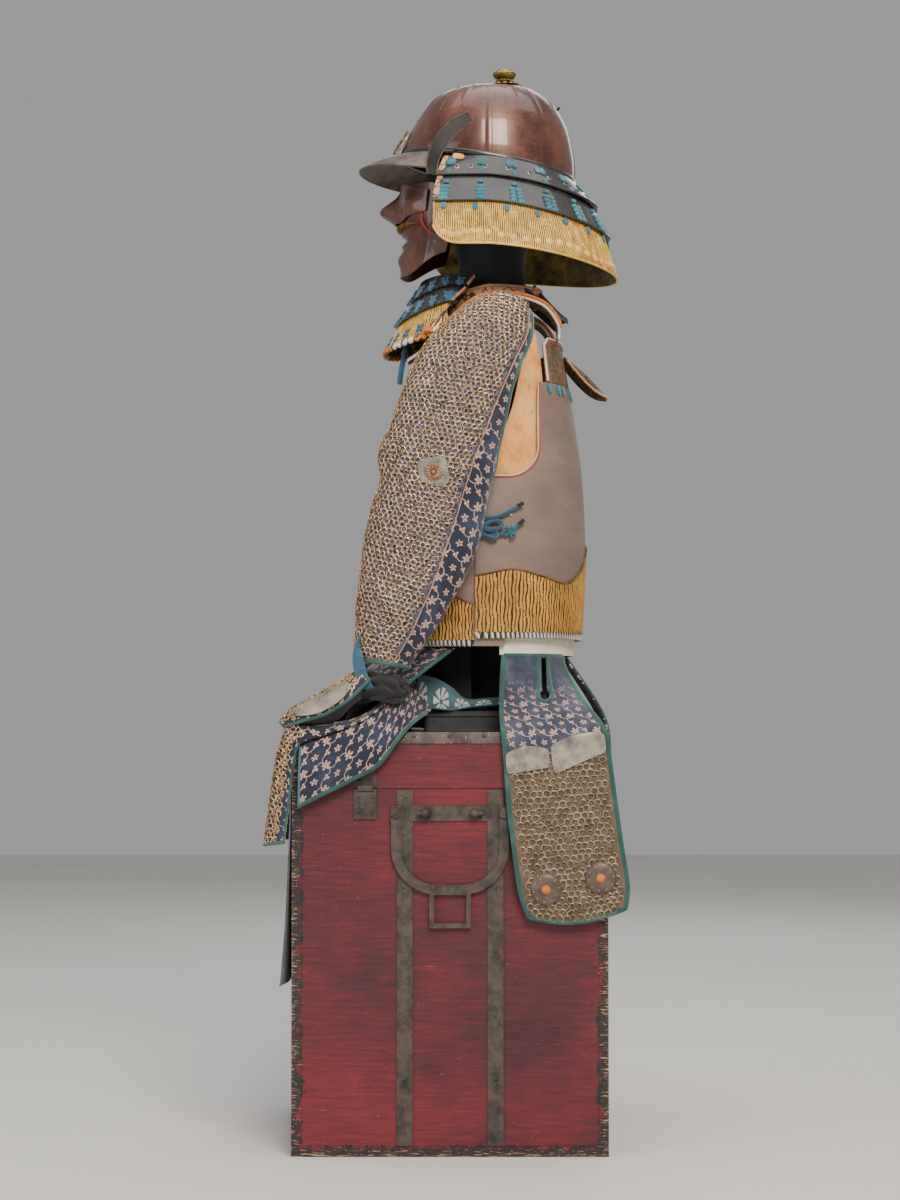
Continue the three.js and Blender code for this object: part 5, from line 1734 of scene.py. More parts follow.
def evened(surface: Surface) -> Surface:
    """Spaces a surface's places evenly across it, as measured along its middle.

    Args:
        surface: the uneven one.

    Returns:
        The same surface, evenly spaced.
    """
    share = np.linspace(0, 1, 1200)
    line = surface(share, np.full(1200, 0.5))
    arc = running_length(line)

    def even(u: Array, v: Array) -> Array:
        """Returns the evenly spaced points."""
        return surface(np.interp(np.asarray(u) * arc[-1], arc, share), v)

    return even


def ridge(u: Array, v: Array, ridges: int) -> Array:
    """Returns how high the ridges stand: from -1 in a groove to 1."""
    stray = 0.9 * np.sin(11 * v + 70 * u) + 0.75 * np.sin(21 * v - 130 * u) + 0.5 * np.sin(310 * u)
    return np.sin(2 * math.pi * ridges * u + stray)


def mark_grooves(piece: Piece, counts: tuple[int, int], ridges: int, flip: bool) -> None:
    """Writes each corner's depth in the grooves to the piece's `groove` attribute.

    Args:
        piece: a grid of faces, before it gets its wall.
        counts: the grid's divisions across and along.
        ridges: how many ridges there are from side to side.
        flip: whether the grid runs the other way across.
    """
    u, v = np.meshgrid(np.linspace(0, 1, counts[0] + 1), np.linspace(0, 1, counts[1] + 1))
    depth = (0.5 - 0.5 * ridge(1 - u if flip else u, v, ridges)).ravel()
    values = np.zeros(len(piece.data.vertices))
    both = np.concatenate([depth, depth])
    values[: min(len(both), len(values))] = both[: len(values)]
    layer = piece.data.attributes.new("groove", "FLOAT", "POINT")
    layer.data.foreach_set("value", values.astype(np.float32))


def ridged_piece(
    name: str, surface: Surface, behind: Sequence[float], counts: tuple[int, int], ridges: int,
    thickness: float, depth: float = 0.45, fade: tuple[float, float] = (0.0, 1.0),
) -> Piece:
    """Models a plate with wavy ridges on its face, and keeps their depth for the finish.

    Args:
        name: the piece's name.
        surface: the plate's face without its ridges.
        behind: a point on its inner side.
        counts: the grid's divisions across and along.
        ridges: how many ridges there are from side to side.
        thickness: the plate's wall.
        depth: how high the ridges stand.
        fade: where they start and stop, as shares along the surface.

    Returns:
        The piece.
    """
    surface = evened(surface)
    shaped = rippled(surface, behind, ridges, depth, fade)
    piece = sheet_piece(name, shaped, counts, 0, behind)
    first = piece.data.vertices[0].co / MM
    start = surface(np.array([0.0]), np.array([0.0]))[0]
    mark_grooves(piece, counts, ridges, (Vector(start) - first).length > 3)
    apply_modifier(piece, "SOLIDIFY", thickness=thickness * MM, offset=-1.0)
    return piece


def pads_on(
    name: str, surface: Surface, u: Sequence[float], v: float, size: tuple[float, float, float],
    behind: Sequence[float], turn: float = 0.0, lift: float = 0.0,
) -> Piece:
    """Lays a row of soft rounded pads on a surface.

    Args:
        name: the piece's name.
        surface: what they lie on.
        u: their places across it.
        v: how far along it the row lies.
        size: a pad's size across, along and out.
        behind: a point on the surface's inner side.
        turn: how far each one is turned, in radians.
        lift: how far a pad's middle lies outside the surface.

    Returns:
        The piece.
    """
    places, axes = axes_on(surface, np.array(u, float), np.full(len(u), v), behind, np.full(len(u), turn))
    return scatter(name, pad_shape(), places + axes[:, 2] * lift, axes, size)


@dataclass
class NeckGuard:
    """The helmet's three laced lames, black, black and gold."""

    middle: float = 45.0
    straight: float = 0.3
    lap: float = 0.8
    behind: tuple[float, float, float] = (0.0, 45.0, 1200.0)
    lacing_pitch: float = 44.0
    free_end: float = 14.0
    edges: Table = field(
        default_factory=lambda: Table(
            "width back front side_z back_z corner",
            (106, 173, -8, 1284, 1262, 0), (118, 199, -18, 1258, 1232, 0),
            (132, 215, -24, 1221, 1191, 0), (151, 226, -22, 1161, 1136, 24),
        )
    )

    def edge_point(self, row: dict, u: Array) -> Array:
        """Returns a point of an edge, u from its left end round the back.

        Args:
            row: the edge's row of the table.
            u: how far across it, from 0 to 1.

        Returns:
            The points.
        """
        along = 1 - 2 * np.asarray(u, float)
        past = np.maximum(0, (np.abs(along) - (1 - self.straight)) / self.straight)
        turn = np.minimum(1, np.abs(along) / (1 - self.straight)) * (math.pi / 2)
        rear = self.middle + (row["back"] - self.middle) * np.cos(turn)
        y = np.where(past > 0, mix(self.middle, row["front"], past), rear)
        x = np.sign(along) * row["width"] * np.sin(turn) * (1 - 0.04 * past * past)
        z = mix(row["side_z"], row["back_z"], np.maximum(np.cos(turn), 0) ** 1.5) + row["corner"] * past**6
        return xyz(x, y, z)

    def build(self) -> None:
        """Builds the plates, then their lacing, washers and bound edges."""
        lames = Lames(self.edges, self.edge_point, self.lap, self.behind)
        first, second, third = (lames.lame(k) for k in range(3))
        dress(sheet_piece("neck_plate_1", first, (140, 8), 2.2, self.behind), BLACK_LACQUER, "neck_lame_1")
        dress(sheet_piece("neck_plate_2", second, (140, 10), 2.2, self.behind), BLACK_LACQUER, "neck_lame_2")
        gold = ridged_piece("neck_plate_3", third, self.behind, (944, 8), 236, 1.6, 0.5, (0.1, 0.99))
        dress(gold, GOLD_LAME, "neck_lame_3")
        # Painted shade: the gilding's finish is darkened to stand in for the shadow inside the guard.
        lining = sheet_piece("neck_gilding", lifted(third, -1.9, self.behind), (120, 10), 0.5, self.behind)
        dress(lining, SHADE_DARKENED_GOLD)

        for number, surface in enumerate((first, second, third), 1):
            finish, lift = (GOLD_LAME, -0.4) if surface is third else (BLACK_LACQUER, 0.3)
            rim = braid_on(f"neck_rim_{number}", surface, (0, 1), (1, 1), self.behind, (1.5, 1.6), 3, 0, lift)
            if finish is GOLD_LAME:
                rim.data.attributes.new("groove", "FLOAT", "POINT")
            dress(rim, finish)
        self.lacing(first, second, third)
        self.fittings(first, third)
        self.ends(first, second, third)

    def columns(self, surface: Surface, v: float) -> Array:
        """Finds the lacing columns, which match on both sides of the back.

        Args:
            surface: the lame that they cross.
            v: the height on it at which their spacing is measured.

        Returns:
            Their places across the lame.
        """
        half = np.linspace(0.5, 0.0, 300)
        arc = running_length(surface(half, np.full(300, v)))
        reach = arc[-1] - self.free_end
        count = round(reach / self.lacing_pitch)
        left = np.interp(reach * np.arange(count + 1) / count, arc, half)
        return np.unique(np.concatenate([left, 1 - left]).round(5))

    def lacing(self, first: Surface, second: Surface, third: Surface) -> None:
        """Adds the teal lacing: paired knots, a gathered block and a tab down each column.

        Args:
            first: the upper lame.
            second: the middle one.
            third: the gold one.
        """
        on_first, on_second = self.columns(first, 0.55), self.columns(second, 0.5)
        pairs = np.concatenate([on_first - 0.006, on_first + 0.006])
        twins = np.concatenate([on_second - 0.0062, on_second + 0.0062])
        rows = [
            (first, pairs, 0.34, (7, 10, 3.4), 0.8), (first, on_first, 0.86, (6, 7, 3.2), 0.8),
            (second, on_second, 0.36, (8, 5, 3.4), 0.8),
            *[(second, twins, low, (7.6, 6.4, 4.2), 0.9) for low in (0.56, 0.69, 0.82, 0.95)],
            (third, self.columns(third, 0.2), 0.24, (7, 9, 4.2), 1.2),
        ]
        soft = [pads_on("knots", face, u, v, size, self.behind, lift=lift) for face, u, v, size, lift in rows]
        dress(join("neck_lacing", soft), TEAL_SILK)

    def fittings(self, first: Surface, third: Surface) -> None:
        """Adds the gold lame's leather washers, the upper lame's tabs and its iron eyelets.

        Args:
            first: the upper lame.
            third: the gold one.
        """
        u = np.linspace(0.03, 0.97, 46)
        places, axes = axes_on(third, u, 0.80 + 0.05 * np.sin(u * 37), self.behind)
        washers = scatter("neck_washers", dome_shape(3, 14), places + axes[:, 2] * 0.3, axes, (5.2, 4.8, 1.7))
        dress(washers, BUFF_LEATHER)
        tab = pads_on("neck_tab_left", first, [0.055], 0.06, (15, 8, 3.0), self.behind, lift=1.2)
        pair(tab, BUFF_LEATHER)
        u = np.linspace(0.012, 0.988, 22)
        eyes, axes = axes_on(first, u, 0 * u + 0.62, self.behind)
        clear = np.abs(((u * 60) % 3) - 1.5) > 0.3
        lifted_eyes = eyes[clear] + axes[clear][:, 2] * 0.4
        dress(scatter("neck_eyelets", ring_shape(2.6, 0.9, 14), lifted_eyes, axes[clear]), GREY_IRON)

    def ends(self, first: Surface, second: Surface, third: Surface) -> None:
        """Binds the lames' front edges: the black ones with a spotted strip, the gold one with braid.

        Args:
            first: the upper lame.
            second: the middle one.
            third: the gold one.
        """
        for number, surface in enumerate((first, second), 1):
            strip = sheet_piece(
                f"neck_end_{number}_left",
                lifted(lambda u, v, s=surface: s(u * 0.018, v), 0.9, self.behind), (6, 16), 0.7, self.behind)
            pair(strip, COLLAR_LEATHER)
        line = ((0.002, 0.002), (0.1, 0.93))
        edge = braid_on("neck_end_3_left", third, *line, self.behind, (1.4, 1.8), 2, 0.1)
        pair(edge, PEACH_SILK)


@dataclass
class ThroatGuard:
    """The laced lames that hang from the mask over the throat."""

    middle: float = -4.0
    straight: float = 0.28
    lap: float = 0.78
    behind: tuple[float, float, float] = (0.0, 60.0, 1120.0)
    edges: Table = field(
        default_factory=lambda: Table(
            "z side_z front width end",
            (1131, 1136, -40, 58, 36), (1103, 1120, -56, 72, 24),
            (1073, 1096, -74, 87, 2), (1034, 1054, -90, 100, -34),
        )
    )

    def edge_point(self, row: dict, u: Array) -> Array:
        """Returns a point of an edge, u from its right end round the front.

        Args:
            row: the edge's row of the table.
            u: how far across it, from 0 to 1.

        Returns:
            The points.
        """
        along = 2 * np.asarray(u, float) - 1
        past = np.maximum(0, (np.abs(along) - (1 - self.straight)) / self.straight)
        turn = np.minimum(1, np.abs(along) / (1 - self.straight)) * (math.pi / 2)
        front = self.middle - (self.middle - row["front"]) * np.cos(turn)
        y = np.where(past > 0, mix(self.middle, row["end"], past), front)
        x = np.sign(along) * row["width"] * np.sin(turn)
        return xyz(x, y, mix(row["z"], row["side_z"], 1 - np.cos(turn)))

    def build(self) -> None:
        """Builds the plates, their crossed blue lacing and the bound lower rim."""
        lames = Lames(self.edges, self.edge_point, self.lap, self.behind)
        surfaces = [lames.lame(k) for k in range(3)]
        for number in (0, 1):
            plate = sheet_piece(f"throat_plate_{number + 1}", surfaces[number], (80, 8), 2.2, self.behind)
            dress(plate, BLACK_LACQUER, f"throat_lame_{number + 1}")
        gold = ridged_piece("throat_plate_3", surfaces[2], self.behind, (440, 7), 110, 1.8, 0.5, (0.2, 0.98))
        dress(gold, GOLD_LAME, "throat_lame_3")
        soft = []
        for number, surface in enumerate(surfaces):
            u = np.linspace(0.06, 0.94, 11 + 2 * number)
            for turn in (0.7, -0.7):
                soft.append(pads_on("laces", surface, u, 0.66, (4.6, 15, 2.8), self.behind, turn, 1.0))
            soft.append(pads_on("laces", surface, u, 0.92, (5, 9, 3.4), self.behind, 0, 1.2))
        dress(join("throat_lacing", soft), BLUE_SILK)
        for number, surface in enumerate(surfaces, 1):
            line = ((0.997, 0.997), (0.25, 1))
            edge = braid_on(f"throat_end_{number}_left", surface, *line, self.behind, (2.2, 2.4), 2.4, 0.3)
            pair(edge, PEACH_SILK)
        self.rim(surfaces[2])

    def rim(self, surface: Surface) -> None:
        """Wraps the lowest lame's edge in white and orange by turns.

        Args:
            surface: the lame that is wrapped.
        """
        count, run = 38, 4
        u = np.linspace(0.012, 0.988, count)
        for turn, (name, finish) in enumerate((("white", WHITE_SILK), ("orange", ORANGE_SKIN))):
            chosen = u[(np.arange(count) // run) % 2 == turn]
            wraps = pads_on(f"throat_rim_{name}", surface, chosen, 0.965, (7.4, 9, 5.4), self.behind, 0, -0.4)
            dress(wraps, finish)


# ------------------------------------------------------------------ mask


@dataclass(frozen=True)
class Swell:
    """A soft rise of the mask: where it is, in degrees and height, how wide, how tall and how high."""

    turn: float
    z: float
    spread: float
    tall: float
    height: float


@dataclass
class FaceMask:
    """A plain half mask of a general design: level cheeks, a straight nose and a closed, calm mouth."""

    behind: tuple[float, float, float] = (0.0, 40.0, 1200.0)
    sections: Table = field(
        default_factory=lambda: Table(
            "z front width side",
            (1140, -67, 54, -2), (1152, -64, 54, 0), (1182, -60, 62, 6), (1206, -64, 70, 12),
            (1232, -64, 74, 16), (1264, -62, 76, 18),
        )
    )
    face: tuple[Swell, ...] = (
        Swell(0, 1164, 22, 13, 8), Swell(36, 1228, 16, 16, 7), Swell(-36, 1228, 16, 16, 7),
    )
    lips: tuple[Swell, ...] = (
        Swell(0, 1197.5, 20, 3.4, 3.4), Swell(0, 1182, 17, 3.6, 3.6), Swell(0, 1190, 22, 2.6, -3.0),
        Swell(58, 1192, 4, 34, 1.4), Swell(-58, 1192, 4, 34, 1.4),
    )
    nose: tuple[Swell, ...] = (
        Swell(0, 1230, 11, 15, 25), Swell(9, 1222, 8, 8, 6), Swell(-9, 1222, 8, 8, 6),
    )

    def point(self, turn: Array, z: Array, swells: Sequence[Swell], lift: float = 0) -> Array:
        """Finds points of the mask.

        Args:
            turn: how far round from its front they are, in degrees.
            z: how high they are.
            swells: the rises that shape this part.
            lift: how far outside it they lie.

        Returns:
            The points.
        """
        row = self.sections.where("z", z)
        out = np.zeros(np.shape(turn)) + lift
        for swell in swells:
            du, dz = (turn - swell.turn) / swell.spread, (z - swell.z) / swell.tall
            out = out + swell.height * np.exp(-du * du - dz * dz)
        s, c = np.sin(np.radians(turn)), np.cos(np.radians(turn))
        return xyz((row["width"] + out) * s, row["side"] - (row["side"] - row["front"] + out) * c, z)

    def lower(self, u: Array, v: Array) -> Array:
        """Returns the jaw and cheeks.

        Args:
            u: how far across it, from 0 to 1.
            v: how far along it, from 0 to 1.

        Returns:
            The points.
        """
        turn = mix(-82, 82, u)
        away = np.abs(turn)
        cheek = ease(away, 12, 40) - 0.35 * ease(away, 55, 82)
        start = 1140 + 26 * ease(away, 30, 82)
        return self.point(turn, mix(start, mix(1213, 1258, cheek), v), self.face + self.lips)

    def upper(self, u: Array, v: Array) -> Array:
        """Returns the nose piece, which hooks on between the cheeks.

        Args:
            u: how far across it, from 0 to 1.
            v: how far along it, from 0 to 1.

        Returns:
            The points.
        """
        turn = mix(-56, 56, u)
        side = ease(np.abs(turn), 14, 56)
        return self.point(turn, mix(1212 + 8 * side, 1262 - 14 * side, v), self.face + self.nose, 4.2)

    def build(self) -> None:
        """Builds the two lacquered plates, their rims, the moustache and the hooks."""
        jaw = sheet_piece("mask_jaw", self.lower, (88, 64), 2.2, self.behind)
        dress(jaw, RUSSET_IRON, "mask_face")
        nose = sheet_piece("mask_bridge", self.upper, (76, 38), 2.2, self.behind)
        dress(nose, RUSSET_IRON, "mask_nose")
        rims = [
            braid_on("rim", surface, u, v, self.behind, half, 3, 0, -0.6)
            for surface, u, v, half in (
                (self.lower, (0, 0, 1, 1), (1, 0, 0, 1), (1.3, 1.3)),
                (self.upper, (0, 0, 1, 1, 0), (0, 1, 1, 0, 0), (1.2, 1.2)),
            )
        ]
        dress(join("mask_rims", rims), RUSSET_IRON)
        self.moustache()
        u = np.array([0.12, 0.88])
        places, axes = axes_on(self.lower, u, 0 * u + 0.62, self.behind)
        hooks = scatter("mask_hooks", dome_shape(4, 12), places, axes, (3.2, 3.2, 4.2))
        dress(hooks, BRASS)
        route = ((57, -20, 1238), (60, -31, 1226), (57, -38, 1212), (58, -33, 1198), (61, -22, 1190))
        path = smooth_path(route, 1.4)
        cord = swept("mask_cord_left", path, unit(path - np.array([0, 10, 1212])), (1.5, 1.5), 0.2)
        pair(cord, RED_SILK)

    def moustache(self) -> None:
        """Sets stiff tapering hairs in the lip in tufts that sweep out and down."""
        chance = np.random.default_rng(5)
        count = 900
        turn = chance.uniform(-44, 44, count)
        z = 1208 + chance.uniform(-3.0, 3.0, count) - 5 * (turn / 44) ** 2
        root = self.point(turn, z, self.face, 1.0)
        out = unit(root - np.array([0, 10, 1208]) - np.array([[0, 0, 1.0]]) * (z - 1208)[:, None])
        sweep = np.sign(turn)[:, None] * np.array([[0.55, 0.1, 0.0]]) * (0.4 + np.abs(turn)[:, None] / 44)
        ahead = unit(out + sweep + np.array([[0, 0, -0.42]]) + chance.normal(0, 0.13, (count, 3)))
        side = unit(np.cross(ahead, np.array([[0.1, 0.2, 1.0]])))
        axes = np.stack([side, np.cross(ahead, side), ahead], axis=1)
        size = {"vertices": 5, "radius1": 0.55, "radius2": 0.12, "depth": 1, "location": (0, 0, 0.5)}
        hair = small_shape(lambda: bpy.ops.mesh.primitive_cone_add(**size))
        sizes = np.stack([np.ones(count), np.ones(count), chance.uniform(9, 17, count)], axis=1)
        dress(scatter("moustache", hair, root, axes, sizes), BRISTLE, "mask_moustache")


# ------------------------------------------------------------------ cuirass


@dataclass
class Cuirass:
    """Two smooth shells with rippled hems, and the leather and boards at the shoulders."""

    axis: tuple[float, float, float] = (0.0, 43.0, 800.0)
    square: float = 2.4
    shell: float = 3.0
    back_lift: float = 3.7
    rim_height: float = 8.0
    rim_laces: int = 150
    sections: Table = field(
        default_factory=lambda: Table(
            "z front back width",
            (636, -92, 171, 157), (720, -97, 175, 161), (780, -98, 177.5, 162), (840, -96, 175, 159),
            (906, -89, 168.5, 153), (974, -68, 158, 145), (1050, -45, 146, 131),
        )
    )
    front_wave: Table = field(
        default_factory=lambda: Table(
            "turn z", (0, 768), (14, 736), (34, 706), (60, 713), (76, 706), (94, 688)
        )
    )
    back_wave: Table = field(
        default_factory=lambda: Table(
            "turn z", (85, 728), (102, 738), (118, 731), (138, 722), (155, 738), (180, 779)
        )
    )
    lining: Table = field(
        default_factory=lambda: Table(
            "z free held", (851, 40, 122), (900, 62, 122), (955, 82, 122), (1010, 94, 119), (1050, 105, 112)
        )
    )
    strap: Table = field(
        default_factory=lambda: Table(
            "x y z half",
            (92, 143, 1047, 17), (89, 141, 1068, 20), (86, 122, 1092, 22), (85, 84, 1104, 23),
            (85, 42, 1102, 23), (79, 6, 1076, 18), (76, -30, 1040, 17), (75, -56, 1021, 16),
        )
    )
    armhole: tuple[float, float, float, float] = (-28.0, 116.0, 857.0, 42.0)

    def point(self, turn: Array, z: Array, lift: float = 0.0) -> Array:
        """Returns a point at `turn` degrees round from the front towards the left.

        Args:
            turn: how far round, in degrees.
            z: the height.
            lift: how far outside it, in millimetres.

        Returns:
            The points.
        """
        row = self.sections.where("z", z)
        s, c = np.sin(np.radians(turn)), np.cos(np.radians(turn))
        power = 2 / self.square
        reach = (row["back"] - row["front"]) / 2 + lift
        x = (row["width"] + lift) * np.sign(s) * np.abs(s) ** power
        return xyz(x, (row["front"] + row["back"]) / 2 - reach * np.sign(c) * np.abs(c) ** power, z)

    def side(self, y: Array, z: Array, lift: float) -> Array:
        """Returns how far out the cuirass is on its left, at this y and z.

        Args:
            y: how far back.
            z: the height.
            lift: how far outside it, in millimetres.

        Returns:
            Its x.
        """
        row = self.sections.where("z", z)
        middle, reach = (row["front"] + row["back"]) / 2, (row["back"] - row["front"]) / 2 + lift
        share = np.minimum(np.abs((y - middle) / reach), 1)
        return (row["width"] + lift) * (1 - share**self.square) ** (1 / self.square)

    def shell_surface(self, turns: tuple[float, float], bottom: float, top: float, lift: float) -> Surface:
        """Gives one shell, faintly uneven as beaten iron is.

        Args:
            turns: where it starts and ends, in degrees round from the front.
            bottom: its lower edge.
            top: its upper edge.
            lift: how far outside the front shell it lies.

        Returns:
            Its outer face.
        """

        def point(u: Array, v: Array) -> Array:
            """Returns the shell's points.

            Args:
                u: how far across it, from 0 to 1.
                v: how far along it, from 0 to 1.

            Returns:
                The points.
            """
            turn, z = mix(*turns, u), mix(bottom, top, v)
            dent = 0.35 * np.sin(turn / 11.0 + z / 60) * np.sin(z / 37.0)
            out = unit(self.point(turn, z) - xyz(0, 43, z))
            return self.point(turn, z, lift) + (dent - 0.1)[..., None] * out

        return point

    def band(
        self, turns: tuple[float, float], low: float | Table, high: float | Table, lift: float
    ) -> Surface:
        """Gives a strip of the cuirass between two heights.

        Args:
            turns: where it starts and ends, in degrees round from the front.
            low: its lower edge, as one height or as a table of heights by turn.
            high: its upper edge, likewise.
            lift: how far outside the front shell it lies.

        Returns:
            Its outer face.
        """

        def height(level: float | Table, turn: Array) -> Array | float:
            """Returns how high an edge is at this turn, the same on both sides of the back.

            Args:
                level: the edge's height, or its heights by turn.
                turn: how far round, in degrees.

            Returns:
                The height.
            """
            if isinstance(level, Table):
                return level.where("turn", 180 - np.abs(180 - np.abs(turn)))["z"]
            return level

        def point(u: Array, v: Array) -> Array:
            """Returns the strip's points."""
            turn = mix(*turns, u)
            return self.point(turn, mix(height(low, turn), height(high, turn), v), lift)

        return point

    def cut_armholes(self, piece: Piece) -> None:
        """Cuts both armholes through a shell with a bar that has round lower corners.

        Args:
            piece: the shell.
        """
        front, back, bottom, corner = self.armhole
        outline = []
        for centre, start in ((front + corner, 180), (back - corner, 270)):
            for turn in np.radians(np.linspace(start, start + 90, 15)):
                outline.append((centre + corner * math.cos(turn), bottom + corner + corner * math.sin(turn)))
        outline = [(front, 1200.0), *outline, (back, 1200.0)]
        ends = [np.array([(x, y, z) for y, z in outline]) for x in (-260, 260)]
        count = len(outline)
        faces = [list(range(count)), list(range(count, 2 * count))[::-1]]
        faces += [(k, (k + 1) % count, (k + 1) % count + count, k + count) for k in range(count)]
        tool = mesh_piece("armhole_tool", np.concatenate(ends), faces)
        face_outwards(tool)
        cut(piece, tool)

    def build(self) -> None:
        """Builds the shells and hems, then what closes and trims them."""
        shells = (
            ("front", (-100.0, 100.0), 640.0, 1012.0, 0.0, self.front_wave, 87.5),
            ("back", (88.5, 271.5), 650.0, 984.0, self.back_lift, self.back_wave, None),
        )
        for side, turns, bottom, top, lift, wave, reach in shells:
            surface = self.shell_surface(turns, bottom, top, lift)
            shell = sheet_piece(f"cuirass_shell_{side}", surface, (84, 38), self.shell, self.axis)
            self.cut_armholes(shell)
            dress(shell, BROWN_LACQUER, f"cuirass_{side}", angle=40)
            hem_turns = turns if reach is None else (-reach, reach)
            self.hem(side, hem_turns, bottom, lift, wave)
        self.leathers()
        self.shoulders()
        self.collar()
        self.trim()

    def hem(self, side: str, turns: tuple[float, float], bottom: float, lift: float, wave: Table) -> None:
        """Lays the gold ridged hem on a shell, with its raised line and the laced rim under it.

        Args:
            side: which shell it is.
            turns: where the hem starts and ends, in degrees round from the front.
            bottom: the shell's lower edge.
            lift: how far outside the front shell this one lies.
            wave: the hem's upper edge, as heights by turn.
        """
        foot = bottom + self.rim_height
        strip = self.band(turns, foot, wave, lift + 1.3)
        hem = ridged_piece(f"cuirass_ridges_{side}", strip, self.axis, (424, 14), 106, 1.0, 0.55)
        dress(hem, GOLD_HEM, f"cuirass_hem_{side}")
        line = braid_on(f"cuirass_wave_{side}", strip, (0, 1), (1, 1), self.axis, (1.1, 1.1), 3, 0, 0.4)
        # Painted shade: this line takes the gold leaf that is darkened for the neck guard's hollow.
        dress(line, SHADE_DARKENED_GOLD)
        rim = self.band(turns, bottom, foot, lift)
        u = (np.arange(self.rim_laces) + 0.5) / self.rim_laces
        for name, finish, chosen, lean in (
            ("light", WHITE_SILK, u[::2], 0.55), ("dark", BLACK_SILK, u[1::2], -0.55),
        ):
            name = f"cuirass_rim_{name}_{side}"
            dress(pads_on(name, rim, chosen, 0.5, (4.4, 9.5, 2.2), self.axis, lean, 0.2), finish)

    def lining_point(self, u: Array, v: Array) -> Array:
        """Returns the soft leather at the back of the armhole, slightly puckered.

        Args:
            u: how far across it, from 0 to 1.
            v: how far along it, from 0 to 1.

        Returns:
            The points.
        """
        row = self.lining.at(v)
        y = mix(row["free"], row["held"], u)
        pucker = 1.2 * np.sin(9 * v + 3 * u) * u * (1 - u) * 2 + 0.9 * np.sin(22 * v - 7 * u) * (1 - u) * 0.7
        return xyz(self.side(y, row["z"], -5.0) + pucker, y, row["z"])

    def leathers(self) -> None:
        """Builds the armhole leathers and pipes the armholes' edges red and white."""
        leather = sheet_piece("armhole_leather_left", self.lining_point, (24, 50), 2.0, self.axis)
        dress(leather, BUFF_LEATHER, "armhole_lining_left")
        both_cloths(leather, self.lining_point)
        y, z = self.armhole_line()
        for name, finish, inset in (("red", RED_SILK, -0.2), ("white", WHITE_SILK, 2.0)):
            towards = unit(np.stack([44 - y, 920 - z], axis=1)) * inset
            x = self.side(y, z, self.back_lift * ease(y, 30, 60) + 0.2)
            path = xyz(x, y + towards[:, 0], z + towards[:, 1])
            pair(swept(f"armhole_piping_{name}_left", path, LEFT, (1.2, 1.4), 0.12), finish)

    def armhole_line(self) -> tuple[Array, Array]:
        """Goes down the armhole's back edge, round its foot and up its front edge in even steps.

        Returns:
            The line's y and z.
        """
        front, back, bottom, corner = self.armhole
        low = bottom + corner

        def bend(middle: float, start: float) -> list[tuple[float, float]]:
            """Returns a quarter turn of the armhole's edge, from `start` degrees."""
            turns = np.radians(np.linspace(start, start - 90, 16))
            return [(middle + corner * math.cos(t), low + corner * math.sin(t)) for t in turns]

        line = np.array([
            *[(back, z) for z in np.linspace(983, low, 24)],
            *bend(back - corner, 0),
            *[(y, bottom) for y in np.linspace(back - corner, front + corner, 14)],
            *bend(front + corner, -90),
            *[(front, z) for z in np.linspace(low, 1008, 24)],
        ])
        arc = running_length(line)
        wanted = np.linspace(0, arc[-1], round(arc[-1] / 1.6))
        return np.interp(wanted, arc, line[:, 0]), np.interp(wanted, arc, line[:, 1])

    def strap_point(self, u: Array, v: Array) -> Array:
        """Returns the strap over the left shoulder."""
        row = self.strap.at(v)
        return xyz(row["x"] + mix(-row["half"], row["half"], u), row["y"], row["z"] - 5 * (2 * u - 1) ** 2)

    def board_point(self, u: Array, v: Array) -> Array:
        """Returns the stiff board that stands across the top of the back."""
        corner = 8 * ease(np.abs(2 * u - 1), 0.88, 1)
        return self.point(mix(132, 228, u), mix(984.6, 1044 - corner, v), self.back_lift)

    def leaf_point(self, u: Array, v: Array) -> Array:
        """Returns the leather leaf that hangs out behind.

        Args:
            u: how far across it, from 0 to 1.
            v: how far along it, from 0 to 1.

        Returns:
            The points.
        """
        across = mix(-1, 1, u)
        width = 42 * np.sqrt(1 - (v * 0.96) ** 2.2)
        fall = 17 * across * across * np.sin(math.pi * np.minimum(1, v * 0.9 + 0.12))
        return xyz(across * width, mix(154, 211, v) + 6 * np.sin(math.pi * v), mix(1032, 975, v) - fall)

    def shoulders(self) -> None:
        """Builds the board, straps and leaf with their bindings and knots."""
        behind = (85, 50, 1000)
        strap = sheet_piece("strap_left", self.strap_point, (10, 60), 3.0, behind)
        pair(strap, PATTERN_LEATHER, "shoulder_strap_left")
        line = ((0.42, 0.42), (0.1, 0.8))
        band = braid_on("strap_band_left", self.strap_point, *line, behind, (3.6, 3.0), 2, 0, 2.2)
        pair(band, ORANGE_SKIN)
        for name, u in (("outer", (1, 1)), ("inner", (0, 0))):
            name = f"strap_edge_{name}_left"
            pair(braid_on(name, self.strap_point, u, (0, 1), behind, (1.7, 1.9), 1.6, 0.12, -0.6), WHITE_SILK)
        board = sheet_piece("back_board", self.board_point, (50, 14), 3.0, self.axis)
        dress(board, PATTERN_LEATHER, "collar_board")
        for name, finish, inset, size in (("white", WHITE_SILK, 0.0, 1.7), ("red", RED_SILK, 0.035, 1.1)):
            near, far, top = inset / 2, 1 - inset / 2, 1 - inset * 2
            line = ((near, near, far, far), (0.03, top, top, 0.03))
            name = f"board_edge_{name}"
            dress(braid_on(name, self.board_point, *line, self.axis, (size, size), 1.6, 0.1), finish)
        low = self.band((128.0, 232.0), 972, 984, self.back_lift)
        u = (0.04, 0.14, 0.2, 0.36, 0.5, 0.64, 0.8, 0.86, 0.96)
        dress(pads_on("board_knots", low, u, 0.35, (7, 12, 4.6), self.axis, 0.2, 1.0), TEAL_SILK)
        leaf = sheet_piece("leaf", self.leaf_point, (24, 30), 2.0, (0, 100, 900))
        dress(leaf, DARK_LEATHER, "back_leaf")
        line = ((0, 0, 1, 1), (0.03, 1, 1, 0.03))
        dress(braid_on("leaf_edge", self.leaf_point, *line, (0, 100, 900), (1.5, 1.5), 1.7, 0.1), PEACH_SILK)

